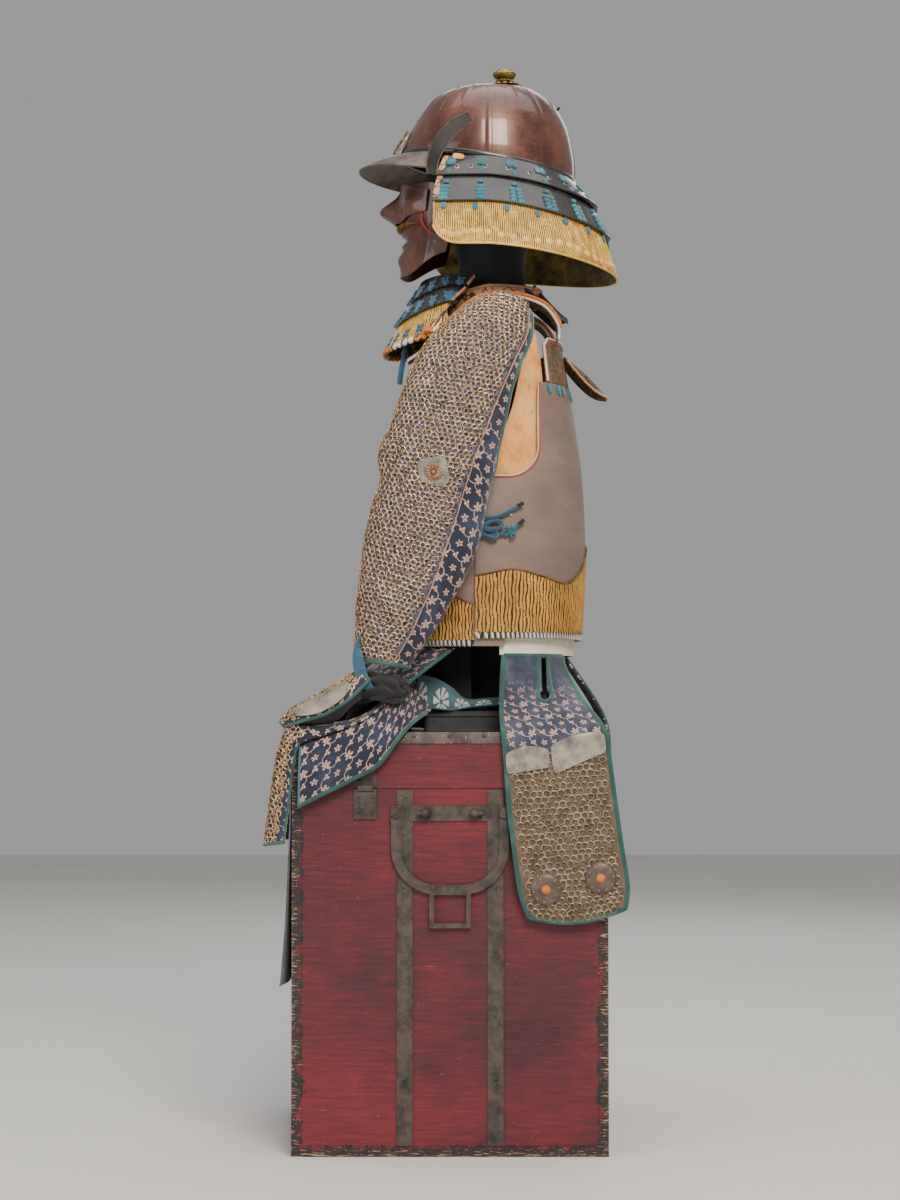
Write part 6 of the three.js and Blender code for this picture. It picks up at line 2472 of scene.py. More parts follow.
    def collar_point(self, u: Array, v: Array) -> Array:
        """Returns the standing collar, open at the front.

        Args:
            u: how far across it, from 0 to 1.
            v: how far along it, from 0 to 1.

        Returns:
            The points.
        """
        turn = np.radians(mix(40, 320, u))
        c = np.cos(turn)
        reach = np.where(c > 0, 50 + 14, 118 - 50) + 5 * v
        z = mix(1098, 1121, v) - 16 * np.maximum(0, c)
        return xyz((52 + 5 * v) * np.sin(turn), 50 - reach * c, z)

    def collar(self) -> None:
        """Builds the collar, its zigzag binding and the black cloth behind the neck."""
        behind = (0, 50, 1100)
        dress(sheet_piece("collar", self.collar_point, (70, 6), 3.0, behind), COLLAR_LEATHER, "neck_collar")
        edge = braid_on("collar_edge", self.collar_point, (0, 1), (1, 1), behind, (2.2, 2.0), 2.2, 0.2)
        dress(edge, PEACH_SILK)

        def flap(u: Array, v: Array) -> Array:
            """Returns the loose black cloth that falls from the neck behind the collar.

            Args:
                u: how far across it, from 0 to 1.
                v: how far along it, from 0 to 1.

            Returns:
                The points.
            """
            across = mix(-1, 1, u)
            y = 113 + 47 * v**1.2 - 16 * across**2 + 2 * np.sin(7 * across + 4 * v)
            return xyz(across * (44 - 8 * v), y, 1128 - 46 * v - 8 * across**2 + 2.5 * np.sin(9 * across))

        dress(sheet_piece("neck_cloth", flap, (40, 24), 1.4, (0, 60, 1050)), BLACK_COTTON)

    def trim(self) -> None:
        """Adds the small peg beside each side lace."""
        y, z = np.array([78.0]), np.array([808.0])
        places = xyz(self.side(y, z, self.back_lift), y, z)
        pair(scatter("cuirass_peg_left", dome_shape(3, 10), places, LEFT_AXES, (1.8, 2.2, 3.0)), WHITE_SILK)


# ------------------------------------------------------------------ sleeves and hand guards


@dataclass
class Sleeves:
    """The hanging sleeves: brocade, with mail sewn over the outside and braid round the edges."""

    axis: tuple[float, float, float] = (196.0, -10.0, 850.0)
    mail_from: float = -48.0
    mail_pitch: float = 6.8
    sections: Table = field(
        default_factory=lambda: Table(
            "x y z deep out pitch roll from to mail",
            (161, 64, 1064, 42, 32, 2, 68, -62, 166, 150), (176, 46, 1034, 60, 34, 6, 40, -64, 166, 150),
            (189, 25, 1000, 65, 32, 8, 18, -66, 166, 147), (196, 10, 958, 67, 30, 8, 6, -68, 168, 139),
            (200, -4, 912, 70, 30, 8, 2, -70, 174, 131), (202, -16, 872, 73, 30, 8, 0, -72, 184, 126),
            (202, -20, 834, 68, 28, 10, 0, -74, 196, 121), (201, -30, 794, 71, 28, 14, 0, -76, 206, 117),
            (199, -43, 748, 67, 27, 16, 0, -78, 208, 116), (196, -60, 698, 57, 26, 18, 0, -80, 210, 118),
            (191, -75, 652, 45, 24, 16, 0, -82, 212, 117), (187, -86, 618, 34, 21, 10, 0, -84, 214, 112),
        )
    )

    def at_turn(self, turn: Array, v: Array) -> Array:
        """Returns the outer face at `turn` degrees round a section, with soft creases.

        Args:
            turn: how far round, in degrees.
            v: how far along it, from 0 to 1.

        Returns:
            The points.
        """
        row = self.sections.at(v)
        p, r, t = np.radians(row["pitch"]), np.radians(row["roll"]), np.radians(turn)
        forward = xyz(0 * p, -np.cos(p), np.sin(p))
        outward = xyz(np.cos(r), 0 * r, np.sin(r))
        middle = xyz(row["x"], row["y"], row["z"])
        loose = ease(v, 0.1, 0.3)
        crease = loose * (0.9 * np.sin(v * 46 + 1.7 * np.sin(t * 2)) + 0.6 * np.sin(v * 81 - t * 3))
        rear = ease(turn, 118, 160)
        crease = crease + rear * 1.4 * np.sin(v * 60 + t * 4) * np.exp(-(((v - 0.64) / 0.09) ** 2))
        deep, out = row["deep"] + crease * 0.5, row["out"] + crease
        return middle + forward * (deep * np.cos(t))[..., None] + outward * (out * np.sin(t))[..., None]

    def point(self, u: Array, v: Array) -> Array:
        """Returns the cloth's outer face, u from its front edge round to its back edge."""
        row = self.sections.at(v)
        return self.at_turn(mix(row["from"], row["to"], u), v)

    def share(self, turn: Array, v: Array) -> Array:
        """Returns how far across the cloth a turn lies."""
        row = self.sections.at(v)
        return (turn - row["from"]) / (row["to"] - row["from"])

    def build(self) -> None:
        """Builds the cloth, its mail and backing, the bindings and the elbow disc."""
        sleeve = sheet_piece("sleeve_cloth_left", self.point, (52, 88), 2.4, self.axis)
        both_cloths(dress(sleeve, BROCADE, "sleeve_left"), self.point)

        def covered(u: Array, v: Array) -> Array:
            """Returns the part of the cloth that lies under the mail.

            Args:
                u: how far across it, from 0 to 1.
                v: how far along it, from 0 to 1.

            Returns:
                The points.
            """
            v = mix(0.004, 0.985, v)
            mail = self.sections.at(v)["mail"]
            return self.point(self.share(mix(self.mail_from, mail, u), v), v)

        ground = lifted(covered, 0.5, self.axis)
        backing = sheet_piece("sleeve_backing_left", ground, (34, 62), 0.4, self.axis)
        pair(backing, BACKING)

        def mail_edges(v: Array) -> tuple[Array, Array]:
            """Returns where the mail starts and ends across the cloth."""
            mail = self.sections.at(v)["mail"]
            return self.share(np.array(self.mail_from), v), self.share(mail, v)

        rings = mail_on(
            "sleeve_rings_left", lifted(self.point, 0.8, self.axis), mail_edges, (0.006, 0.985), 0.45,
            self.mail_pitch, 1.25, self.axis, 11)
        pair(rings, RING_MAIL, "sleeve_mail_left", angle=80)
        self.bindings()
        self.elbow()

    def bindings(self) -> None:
        """Binds the long back edge and the cuff, and lines the mail's border."""
        v = np.linspace(0.02, 1, 40)
        edges = [
            braid_on("braid", self.point, 0 * v + 0.995, v, self.axis, (3.2, 2.2), 1.6),
            braid_on("braid", self.point, (0.995, 0.0), (0.998, 0.998), self.axis, (3.0, 2.2), 1.6),
            braid_on("braid", self.point, (0.003, 0.003), (1, 0.02), self.axis, (2.6, 2.0), 1.6),
        ]
        pair(join("sleeve_braid_left", edges), GREEN_BRAID)
        v = np.linspace(0.02, 0.985, 40)
        border = self.share(self.sections.at(v)["mail"], v) + 0.006
        line = braid_on("mail_border_left", self.point, border, v, self.axis, (0.8, 1.0), 2.4, 0, 0.6)
        pair(line, PEACH_SILK)

    def elbow(self) -> None:
        """Adds the rounded diamond plate with its copper rosette over the elbow."""
        v = 0.49
        u = self.share(np.array(88.0), np.array(v))
        place, axes = axes_on(self.point, np.array([u]), np.array([v]), self.axis)
        turn = np.linspace(0, 2 * math.pi, 65)[:-1]
        outline = 20.5 * (1 - 0.09 * np.cos(4 * turn))
        rings, heights = (0.0, 0.5, 0.86, 1.0, 1.0), (2.3, 2.0, 1.3, 0.8, -0.4)
        corners = np.concatenate([
            np.stack([outline * r * np.cos(turn), outline * r * np.sin(turn), 0 * turn + h], axis=1)
            for r, h in zip(rings, heights, strict=True)])
        count = len(turn)
        faces = [
            (row + i, row + j, row + count + j, row + count + i)
            for row in range(0, 4 * count, count) for i in range(count) for j in [(i + 1) % count]
        ]
        disc = scatter("elbow_plate_left", Shape(corners, faces), place + axes[:, 2] * 2.8, axes)
        edit(disc, lambda: bpy.ops.mesh.remove_doubles(threshold=1e-6),
             lambda: bpy.ops.mesh.normals_make_consistent(inside=False))
        pair(disc, GREY_IRON)
        petals = 16
        around = 2 * math.pi * np.arange(petals) / petals
        out = np.cos(around)[:, None] * axes[0, 0] + np.sin(around)[:, None] * axes[0, 1]
        base = place[0] + axes[0, 2] * 4.6 + out * 7.6
        side = np.cross(axes[0, 2], out)
        petal_axes = np.stack([side, out, np.repeat(axes[:, 2], petals, 0)], axis=1)
        parts = [scatter("rosette", dome_shape(4, 10), base, petal_axes, (1.7, 4.8, 2.2))]
        centre = place + axes[:, 2] * 4.8
        parts.append(scatter("rosette", dome_shape(4, 14), centre, axes, (3.6, 3.6, 4.2)))
        pair(join("elbow_rosette_left", parts), COPPER)


@dataclass
class HandGuards:
    """The arched guards over the backs of the hands, with their iron plates."""

    axis: tuple[float, float, float] = (182.0, -140.0, 535.0)
    spread: float = 86.0
    lean: float = 45.0
    sections: Table = field(
        default_factory=lambda: Table(
            "x y z half arch",
            (187, -100, 596, 29, 20), (186, -123, 572, 36, 29), (182, -154, 552, 38, 31),
            (179, -186, 543, 33, 23), (177, -208, 536, 20, 12),
        )
    )

    def at_turn(self, turn: Array, v: Array) -> Array:
        """Returns the outer face at `turn` degrees round its arch.

        Args:
            turn: how far round, in degrees.
            v: how far along it, from 0 to 1.

        Returns:
            The points.
        """
        row = self.sections.at(v)
        t, lean = np.radians(turn), math.radians(self.lean)
        ridge_line = np.array([0, -math.sin(lean), math.cos(lean)])
        foot = xyz(row["x"] + row["half"] * np.sin(t), row["y"], row["z"])
        return foot + (row["arch"] * np.cos(t))[..., None] * ridge_line

    def point(self, u: Array, v: Array) -> Array:
        """Returns the cloth's outer face."""
        return self.at_turn(mix(-self.spread, self.spread, u), v)

    def plate_point(self, u: Array, v: Array) -> Array:
        """Returns the iron plate on the outer side."""
        waist = 1 - 0.55 * np.abs(2 * v - 1) ** 3
        return self.at_turn(56 + mix(-22, 22, u) * waist, mix(0.18, 0.74, v))

    def build(self) -> None:
        """Builds the cloth, its mail, plate, braid and the wrist cord."""
        guard = sheet_piece("hand_cloth_left", self.point, (36, 36), 2.4, self.axis)
        both_cloths(dress(guard, BROCADE, "hand_guard_left"), self.point)
        rings = mail_on(
            "hand_rings_left", lifted(self.point, 0.2, self.axis), even_span(0.06, 0.94), (0.03, 0.95), 0.5,
            6.6, 1.2, self.axis, 12)
        pair(rings, RING_MAIL, angle=80)
        raised = lifted(self.plate_point, 3.6, self.axis)
        plate = sheet_piece("hand_iron_left", raised, (20, 40), 2.0, self.axis)
        apply_modifier(plate, "BEVEL", width=0.5 * MM, segments=2, limit_method="ANGLE")
        pair(plate, GREY_IRON, "hand_plate_left")
        line = ((0, 1, 1, 0, 0), (0.01, 0.01, 1, 1, 0.01))
        pair(braid_on("hand_braid_left", self.point, *line, self.axis, (2.2, 1.9), 1.6), GREEN_BRAID)
        self.wrist_cord()
        self.black_cloths()

    def wrist_cord(self) -> None:
        """Winds four strands of blue cord from the cuff down to the guard."""
        strands = []
        for k in range(4):
            route = [
                (204 - 4 * k, -114 + 2 * k, 652 - 6 * k), (210, -121 + 3 * k, 628), (211, -118 + 4 * k, 604),
                (210, -108 + 3 * k, 588), (203, -100 + 3 * k, 580),
            ]
            strands.append(swept("strand", smooth_path(route, 1.6), LEFT, (1.9, 1.7), 0.15))
        pair(join("wrist_cord_left", strands), BLUE_SILK)

    def palm_point(self, u: Array, v: Array) -> Array:
        """Returns the black cloth across the guard's open side, sagging a little.

        Args:
            u: how far across it, from 0 to 1.
            v: how far along it, from 0 to 1.

        Returns:
            The points.
        """
        v = mix(0.02, 0.9, v)
        sides = (self.at_turn(np.full(np.shape(u), turn), v) for turn in (-80.0, 80.0))
        point = mix(*sides, np.asarray(u)[..., None])
        sag = np.sin(math.pi * u) * (15 + 2 * np.sin(17 * v)) * np.sin(math.pi * np.clip(v, 0.1, 0.9)) ** 0.5
        return point - sag[..., None] * np.array([0, -0.5, 0.86])

    def cuff_point(self, u: Array, v: Array) -> Array:
        """Returns the gathered black cuff that shows between the sleeve and the guard.

        Args:
            u: how far across it, from 0 to 1.
            v: how far along it, from 0 to 1.

        Returns:
            The points.
        """
        turn = 2 * math.pi * u
        gather = 1.5 * np.sin(9 * turn + 3 * np.sin(7 * v))
        gather = gather + 2.2 * np.sin(17 * v + 2 * turn + np.sin(5 * turn))
        puff = 9 * np.sin(math.pi * v) ** 0.7
        deep, out = 24 + puff + gather, 16 + puff + gather
        y, z = mix(-82, -92, v), mix(604, 570, v)
        return xyz(186 + out * np.sin(turn), y - deep * np.cos(turn), z + 0.2 * deep * np.cos(turn))

    def black_cloths(self) -> None:
        """Adds the black cloths that line the guard and the cuff."""
        palm = sheet_piece("palm_cloth_left", self.palm_point, (24, 24), 1.4, (182, -140, 640))
        both_cloths(dress(palm, BLACK_COTTON), self.palm_point)
        cuff = sheet_piece("cuff_cloth_left", self.cuff_point, (80, 22), 1.2, (186, -87, 587), loop=True)
        both_cloths(dress(cuff, BLACK_COTTON), self.cuff_point)


# ------------------------------------------------------------------ thigh guards


@dataclass
class ThighGuards:
    """The printed cloths over the chest's corners, with their wings and the falls in front."""

    heart: tuple[float, float, float] = (60.0, 0.0, 300.0)
    turned: float = 0.86
    sections: Table = field(
        default_factory=lambda: Table(
            "x y z sx sy sz ex ey ez",
            (34, -50, 572, 98, -49, 594, 120, -46, 598), (18, -86, 556, 152, -78, 577, 178, -73, 574),
            (12, -128, 543, 188, -114, 551, 206, -112, 546), (10, -168, 537, 203, -162, 539, 214, -158, 528),
            (10, -202, 536, 206, -200, 537, 216, -188, 516),
            (10, -208.5, 520, 204, -214, 512, 216, -196, 490),
            (10, -209, 480, 200, -222, 476, 215.5, -200, 458),
            (10, -210, 434, 200, -228, 432, 215, -204, 426),
            (10, -211, 388, 200, -234, 388, 215, -208, 392),
        )
    )
    hem: Table = field(
        default_factory=lambda: Table(
            "at x y z",
            (0, 158, -24, 558), (0.03, 185, -38, 549), (0.07, 206, -50, 539), (0.11, 217, -64, 523),
            (0.18, 219, -90, 489), (0.28, 219, -126, 469), (0.41, 219.5, -170, 447), (0.5, 219, -190, 437),
        )
    )
    falling: Table = field(
        default_factory=lambda: Table(
            "z y edge edge_y",
            (500, -201.4, 206, -201.4), (430, -202, 209, -202), (360, -203, 210, -204),
            (290, -204.5, 209, -207), (212, -207, 206, -213),
        )
    )

    def point(self, u: Array, v: Array) -> Array:
        """Returns the apron's outer face, u from the middle of the body to its outer edge.

        Args:
            u: how far across it, from 0 to 1.
            v: how far along it, from 0 to 1.

        Returns:
            The points.
        """
        row = self.sections.at(v)
        inner, shoulder = xyz(row["x"], row["y"], row["z"]), xyz(row["sx"], row["sy"], row["sz"])
        edge = xyz(row["ex"], row["ey"], row["ez"])
        over = np.clip(u / self.turned, 0, 1)[..., None]
        past = np.clip((u - self.turned) / (1 - self.turned), 0, 1)[..., None]
        return np.where(past > 0, mix(shoulder, edge, past), mix(inner, shoulder, over))

    def wing(self, u: Array, v: Array) -> Array:
        """Returns the side flap that widens as it falls from the apron's outer edge.

        Args:
            u: how far across it, from 0 to 1.
            v: how far along it, from 0 to 1.

        Returns:
            The points.
        """
        at = mix(0, 0.5, v)
        row = self.hem.where("at", at)
        hem = xyz(row["x"], row["y"], row["z"])
        edge = self.point(np.ones_like(at), at)
        edge = edge + unit(hem - edge) * 4.6
        point = mix(edge, hem, u[..., None])
        point[..., 0] += 7 * np.sin(math.pi * u) * ease(v, 0, 0.4)
        return point

    def fall(self, u: Array, v: Array) -> Array:
        """Returns the long cloth that hangs in front of the chest under the apron.

        Args:
            u: how far across it, from 0 to 1.
            v: how far along it, from 0 to 1.

        Returns:
            The points.
        """
        row = self.falling.at(v)
        wave = 0.7 * np.sin(7 * u + 4 * v) * v
        return xyz(mix(14, row["edge"], u), mix(row["y"], row["edge_y"], ease(u, 0.7, 1)) + wave, row["z"])

    def lap(self, u: Array, v: Array) -> Array:
        """Returns the loose black cloth that lies in folds on the apron under the hand guard.

        Args:
            u: how far across it, from 0 to 1.
            v: how far along it, from 0 to 1.

        Returns:
            The points.
        """
        across, along = mix(0.12, 0.74, u), mix(0.03, 0.29, v)
        hump = np.sin(math.pi * u) ** 0.5 * np.sin(math.pi * v) ** 0.35
        fold = 2.2 * np.sin(13 * v + 3 * u) * np.sin(math.pi * u)
        rise = 2.6 + 17 * hump + fold * hump
        return self.point(across, along) + rise[..., None] * np.array([0, -0.2, 0.98])

    def build(self) -> None:
        """Builds the four cloths of each side, the apron's mail and the bound edges."""
        for name, surface, counts, wall, finish, nodes, held, rests_on in (
            ("lap_cloth", self.lap, (30, 24), 1.2, BLACK_COTTON, (), Held.LAID, "apron_left"),
            ("apron", self.point, (44, 56), 2.4, BROCADE, ("thigh_apron_left",), Held.LAID, "chest_lid"),
            ("wing_cloth", self.wing, (20, 60), 2.4, BROCADE, ("thigh_wing_left",), Held.HUNG, "apron_left"),
            ("fall", self.fall, (20, 30), 1.2, INDIGO_HEMP, ("thigh_fall_left",), Held.HUNG, "apron_left"),
        ):
            sheet = sheet_piece(f"{name}_left", surface, counts, wall, self.heart)
            both_cloths(dress(sheet, finish, *nodes), surface)
        rings = mail_on(
            "apron_rings_left", lifted(self.point, 0.3, self.heart), self.mail_edges, (0.4, 0.985), 0.5,
            7.2, 1.4, self.heart, 13)
        pair(rings, RING_MAIL, angle=80)
        for name, surface, u, v, half, pitch, finish in (
            ("wing_braid", self.wing, (0.985, 0.985), (0.03, 1), (3.0, 2.2), 1.6, GREEN_BRAID),
            ("wing_end", self.wing, (1.0, 0.0), (0.995, 0.995), (1.6, 1.6), 1.8, TEAL_SILK),
            ("apron_hem", self.point, (0.0, 1.0), (0.996, 0.996), (2.2, 1.9), 1.8, GREEN_BRAID),
            ("apron_side", self.point, (0.996, 0.996), (0.5, 1), (1.8, 1.8), 1.8, GREEN_BRAID),
            ("fall_hem", self.fall, (0.0, 1.0), (0.995, 0.995), (1.3, 1.3), 1.8, TEAL_SILK),
        ):
            pair(braid_on(f"{name}_left", surface, u, v, self.heart, half, pitch), finish)

    def mail_edges(self, v: Array) -> tuple[Array, Array]:
        """Returns where the apron's mail starts and ends across it."""
        return np.array(0.04), np.array(0.84 if v < 0.46 else 0.97)


# ------------------------------------------------------------------ waist tie and skirt


@dataclass
class WaistTie:
    """The wide printed band round the waist, knotted out of sight in front."""

    behind: tuple[float, float, float] = (0.0, 60.0, 570.0)
    half: tuple[tuple[float, float, float, float], ...] = (
        (113, -42, 603, 562), (109, -20, 600, 560), (102, 2, 588, 558), (92, 22, 572, 561),
        (84, 54, 574, 564), (68, 98, 577, 566), (34, 124, 578, 567), (0, 128, 578, 567),
    )

    def point(self, u: Array, v: Array) -> Array:
        """Returns the band, from its left end round the back to its right end.

        Args:
            u: how far across it, from 0 to 1.
            v: how far along it, from 0 to 1.

        Returns:
            The points.
        """
        rows = [*self.half, *[(-x, y, top, bottom) for x, y, top, bottom in self.half[-2::-1]]]
        row = Table("x y top bottom", *rows).at(u)
        crease = 0.5 * np.sin(9 * v + 14 * u)
        return xyz(row["x"] + crease * np.sign(row["x"]), row["y"], mix(row["top"], row["bottom"], v))

    def build(self) -> None:
        """Builds the band with the blue layer that shows under it."""
        band = sheet_piece("waist_band", self.point, (110, 8), 2.0, self.behind)
        cloth(dress(band, PRINTED_COTTON, "waist_tie"), self.point)
        line = ((0.01, 0.3), (1, 1))
        edge = braid_on("waist_under_left", self.point, *line, self.behind, (1.3, 2.0), 3, 0, -0.2)
        pair(edge, BLUE_SILK)


@dataclass
class Skirt:
    """The brigandine skirt: cream waistband, side, front and back panels with mail below."""

    heart: tuple[float, float, float] = (60.0, 0.0, 300.0)
    cuirass: Cuirass = field(default_factory=Cuirass)
    waist: float = 640.0
    inside: float = -5.5
    panel_length: float = 330.0
    panel: Table = field(
        default_factory=lambda: Table(
            "flat x front_y back_y front_z back_z",
            (0, 160, 62, 150, 628, 628), (0.35, 178, 61, 172, 598, 600), (0.75, 198, 62, 184, 562, 566),
            (1, 213, 64, 194, 532, 538), (1, 217.5, 67, 201, 500, 508), (1, 218.5, 71, 209, 441, 450),
            (1, 219, 78, 217, 381, 392), (1, 219, 86, 225, 328, 340), (1, 218, 98, 222, 298, 310),
        )
    )
    rear: Table = field(
        default_factory=lambda: Table(
            "y z half",
            (152, 628, 60), (172, 600, 66), (196, 562, 72), (206.5, 534, 76), (209, 500, 79), (210, 440, 82),
            (210, 380, 85), (210, 306, 88),
        )
    )

    def side(self, u: Array, v: Array) -> Array:
        """Returns the left side panel, u from its front edge to its back edge.

        Args:
            u: how far across it, from 0 to 1.
            v: how far along it, from 0 to 1.

        Returns:
            The points.
        """
        row = self.panel.at(v)
        y = mix(row["front_y"], row["back_y"], u)
        z = mix(row["front_z"], row["back_z"], u) - 12 * np.sin(math.pi * u) * ease(v, 0.85, 1)
        curve = self.cuirass.point(mix(99, 146, u), self.waist, self.inside)
        curve[..., 2] = z
        x = row["x"] + 0.8 * np.sin(5 * u + 11 * v) * ease(v, 0.2, 0.5)
        return mix(curve, xyz(x, y, z), row["flat"][..., None])

    def front(self, u: Array, v: Array) -> Array:
        """Returns the left front panel that lies over the thigh.

        Args:
            u: how far across it, from 0 to 1.
            v: how far along it, from 0 to 1.

        Returns:
            The points.
        """
        waist = self.cuirass.point(mix(9, 78, u), self.waist, self.inside) - np.array([0, 0, 2.0])
        turn = u * math.pi / 2
        hem = xyz(22 + 154 * np.sin(turn), -166 + 96 * (1 - np.cos(turn)), 557 + 22 * u * u)
        return mix(waist, hem, np.asarray(v)[..., None])

    def back(self, u: Array, v: Array) -> Array:
        """Returns the back panel.

        Args:
            u: how far across it, from 0 to 1.
            v: how far along it, from 0 to 1.

        Returns:
            The points.
        """
        row = self.rear.at(v)
        wave = 0.8 * np.sin(4 * math.pi * u + 5 * v) * ease(v, 0.2, 0.5)
        return xyz(mix(-row["half"], row["half"], u), row["y"] + wave, row["z"])

    def waistband(self, u: Array, v: Array) -> Array:
        """Returns the cream band that the panels hang from."""
        return self.cuirass.point(mix(98, 262, u), mix(654.0, 629.0, v), self.inside)

    def under_cloth(self) -> None:
        """Hangs a black sheet below the cuirass in front of the stand, as painted shade: it fills the gap
        there with the dark of the shadow behind.
        """

        def point(u: Array, v: Array) -> Array:
            """Returns the cloth, in soft upright folds.

            Args:
                u: how far across it, from 0 to 1.
                v: how far along it, from 0 to 1.

            Returns:
                The points.
            """
            turn = np.radians(mix(-96, 96, u))
            fold = 2.4 * np.sin(60 * u + 2 * np.sin(7 * v)) * (0.3 + 0.7 * v)
            reach = mix(74, 77, v) + fold
            return xyz((84 + fold) * np.sin(turn), 20 - reach * np.cos(turn), mix(652, 534, v))

        # Painted shade: this black sheet stands in for the shadow between the front panels and the stand's
        # column.
        hung = sheet_piece("under_cloth", point, (96, 14), 1.4, (0, 20, 610))
        cloth(dress(hung, BLACK_COTTON), point)

    def build(self) -> None:
        """Builds the band and the panels with their mail, plates and braid."""
        self.under_cloth()
        axis = self.cuirass.axis
        band = sheet_piece("skirt_waistband", self.waistband, (80, 6), 3.0, axis)
        cloth(dress(band, CREAM_HEMP, "skirt_band"), self.waistband)
        side = sheet_piece("skirt_panel_left", self.side, (32, 64), 2.6, self.heart)
        self.cut_slit(side)
        both_cloths(dress(side, RUBBED_BROCADE, "skirt_side_left"), self.side)
        pair(self.ground("left", self.side), BROWN_BACKING)
        dress(self.ground("back", self.back), BROWN_BACKING)
        pair(self.mail("left", self.side, 0.9, 21), PANEL_MAIL, "skirt_mail_left", angle=80)
        front = sheet_piece("skirt_front_panel_left", self.front, (30, 24), 2.4, self.heart)
        both_cloths(dress(front, BROCADE, "skirt_front_left"), self.front)
        back = sheet_piece("skirt_back_panel", self.back, (36, 60), 2.4, self.heart)
        cloth(dress(back, BROCADE, "skirt_back"), self.back)
        dress(self.mail("back", self.back, 0.6, 22), PANEL_MAIL, angle=80)
        self.braids()
        self.plates()

    def ground(self, name: str, panel: Surface) -> Piece:
        """Makes the thin cloth that backs a panel's mail.

        Args:
            name: which panel it is.
            panel: its outer face.

        Returns:
            The cloth.
        """

        def part(u: Array, v: Array) -> Array:
            """Returns the panel's lower half."""
            return panel(mix(0.03, 0.97, u), mix(0.49, 0.99, v))

        return sheet_piece(
            f"skirt_ground_{name}", lifted(part, 0.5, self.heart), (20, 36), 0.4, self.heart)

    def mail(self, name: str, panel: Surface, lift: float, seed: int) -> Piece:
        """Covers the lower half of a panel with mail.

        Args:
            name: which panel it is.
            panel: its outer face.
            lift: how far outside it the rings lie.
            seed: what the rings' small disorder comes from.

        Returns:
            The rings.
        """
        return mail_on(
            f"skirt_rings_{name}", lifted(panel, lift, self.heart), even_span(0.05, 0.95), (0.5, 0.985), 0.5,
            8.6, 1.5, self.heart, seed)

    def places(self, points: Array) -> tuple[Array, Array]:
        """Finds where on the side panel some points lie.

        Args:
            points: the y and z of each.

        Returns:
            Their shares across and along the panel.
        """
        u, v = np.meshgrid(np.linspace(0, 1, 201), np.linspace(0, 1, 501))
        grid = self.side(u, v)[..., 1:].reshape(-1, 2)
        nearest = [int(np.argmin(np.sum((grid - point) ** 2, axis=1))) for point in points]
        return u.ravel()[nearest], v.ravel()[nearest]

    def cut_slit(self, piece: Piece) -> None:
        """Cuts the side panel's slit with a slim bar and a rod.

        Args:
            piece: the side panel.
        """
        cut(piece, plate_piece("slit_bar", (100, 118, 578), (260, 124, 664), 0.2))
        bpy.ops.object.select_all(action="DESELECT")
        turned = {"radius": 6 * MM, "depth": 0.16, "vertices": 32, "rotation": (0, math.pi / 2, 0)}
        bpy.ops.mesh.primitive_cylinder_add(location=(0.18, 0.121, 0.578), **turned)
        cut(piece, bpy.context.object)

    def braids(self) -> None:
        """Binds the panels' edges and the slit with green braid."""
        turn = np.radians(np.linspace(150, 390, 16))
        eye = zip(121 + 9.5 * np.cos(turn), 578 - 9.5 * np.sin(-turn), strict=True)
        slit = self.places(np.array([(114.5, 626), (114.5, 600), *eye, (127.5, 600), (127.5, 626)]))
        for name, surface, line, half in (
            ("skirt", self.side, ((0.02, 0.02, 0.98, 0.98, 0.02), (0, 0.99, 0.99, 0, 0)), (3.3, 2.3)),
            ("slit", self.side, slit, (3.0, 2.4)),
            ("front", self.front, ((1.0, 0.99, 0.0), (0.06, 1.0, 1.0)), (2.6, 2.1)),
        ):
            pair(braid_on(f"{name}_braid_left", surface, *line, self.heart, half, 1.6), GREEN_BRAID)
        line = ((0.02, 0.02, 0.98, 0.98), (0, 0.99, 0.99, 0))
        dress(braid_on("back_braid", self.back, *line, self.heart, (3.0, 2.2), 1.6), GREEN_BRAID)

    def plate(self, along: float, ends: tuple[float, float], tall: float, lean: float) -> Surface:
        """Gives an iron plate on the side panel, its corners rounded and its top edge a little bowed.

        Args:
            along: how far down the panel its middle is.
            ends: the y of its front and back edges.
            tall: its height, as a share of the panel.
            lean: how much higher its back edge is, likewise.

        Returns:
            The panel's surface under the plate.
        """
        row = self.panel.at(np.array(along))
        front, back = ((y - row["front_y"]) / (row["back_y"] - row["front_y"]) for y in ends)

        def point(u: Array, v: Array) -> Array:
            """Returns the plate's points.

            Args:
                u: how far across it, from 0 to 1.
                v: how far along it, from 0 to 1.

            Returns:
                The points.
            """
            corner = 1 - 0.1 * np.abs(2 * v - 1) ** 6
            across = mix(front, back, 0.5 + (u - 0.5) * corner)
            bow = 0.02 * (2 * u - 1) ** 2 * (1 - v)
            return self.side(across, along + (v - 0.5) * tall + bow - lean * (u - 0.5))

        return point

    def plates(self) -> None:
        """Sews the iron plates and the bossed discs into the mail."""
        pieces = []
        for name, v, ends, tall, lean in (
            ("front", 0.505, (70, 124), 27, 0.01), ("back", 0.475, (126, 195), 38, 0.05),
        ):
            surface = lifted(self.plate(v, ends, tall / self.panel_length, lean), 3.2, self.heart)
            pieces.append(sheet_piece(f"skirt_plate_{name}", surface, (24, 12), 1.8, self.heart))
        pair(join("skirt_plates_left", pieces), GREY_IRON)
        self.discs()

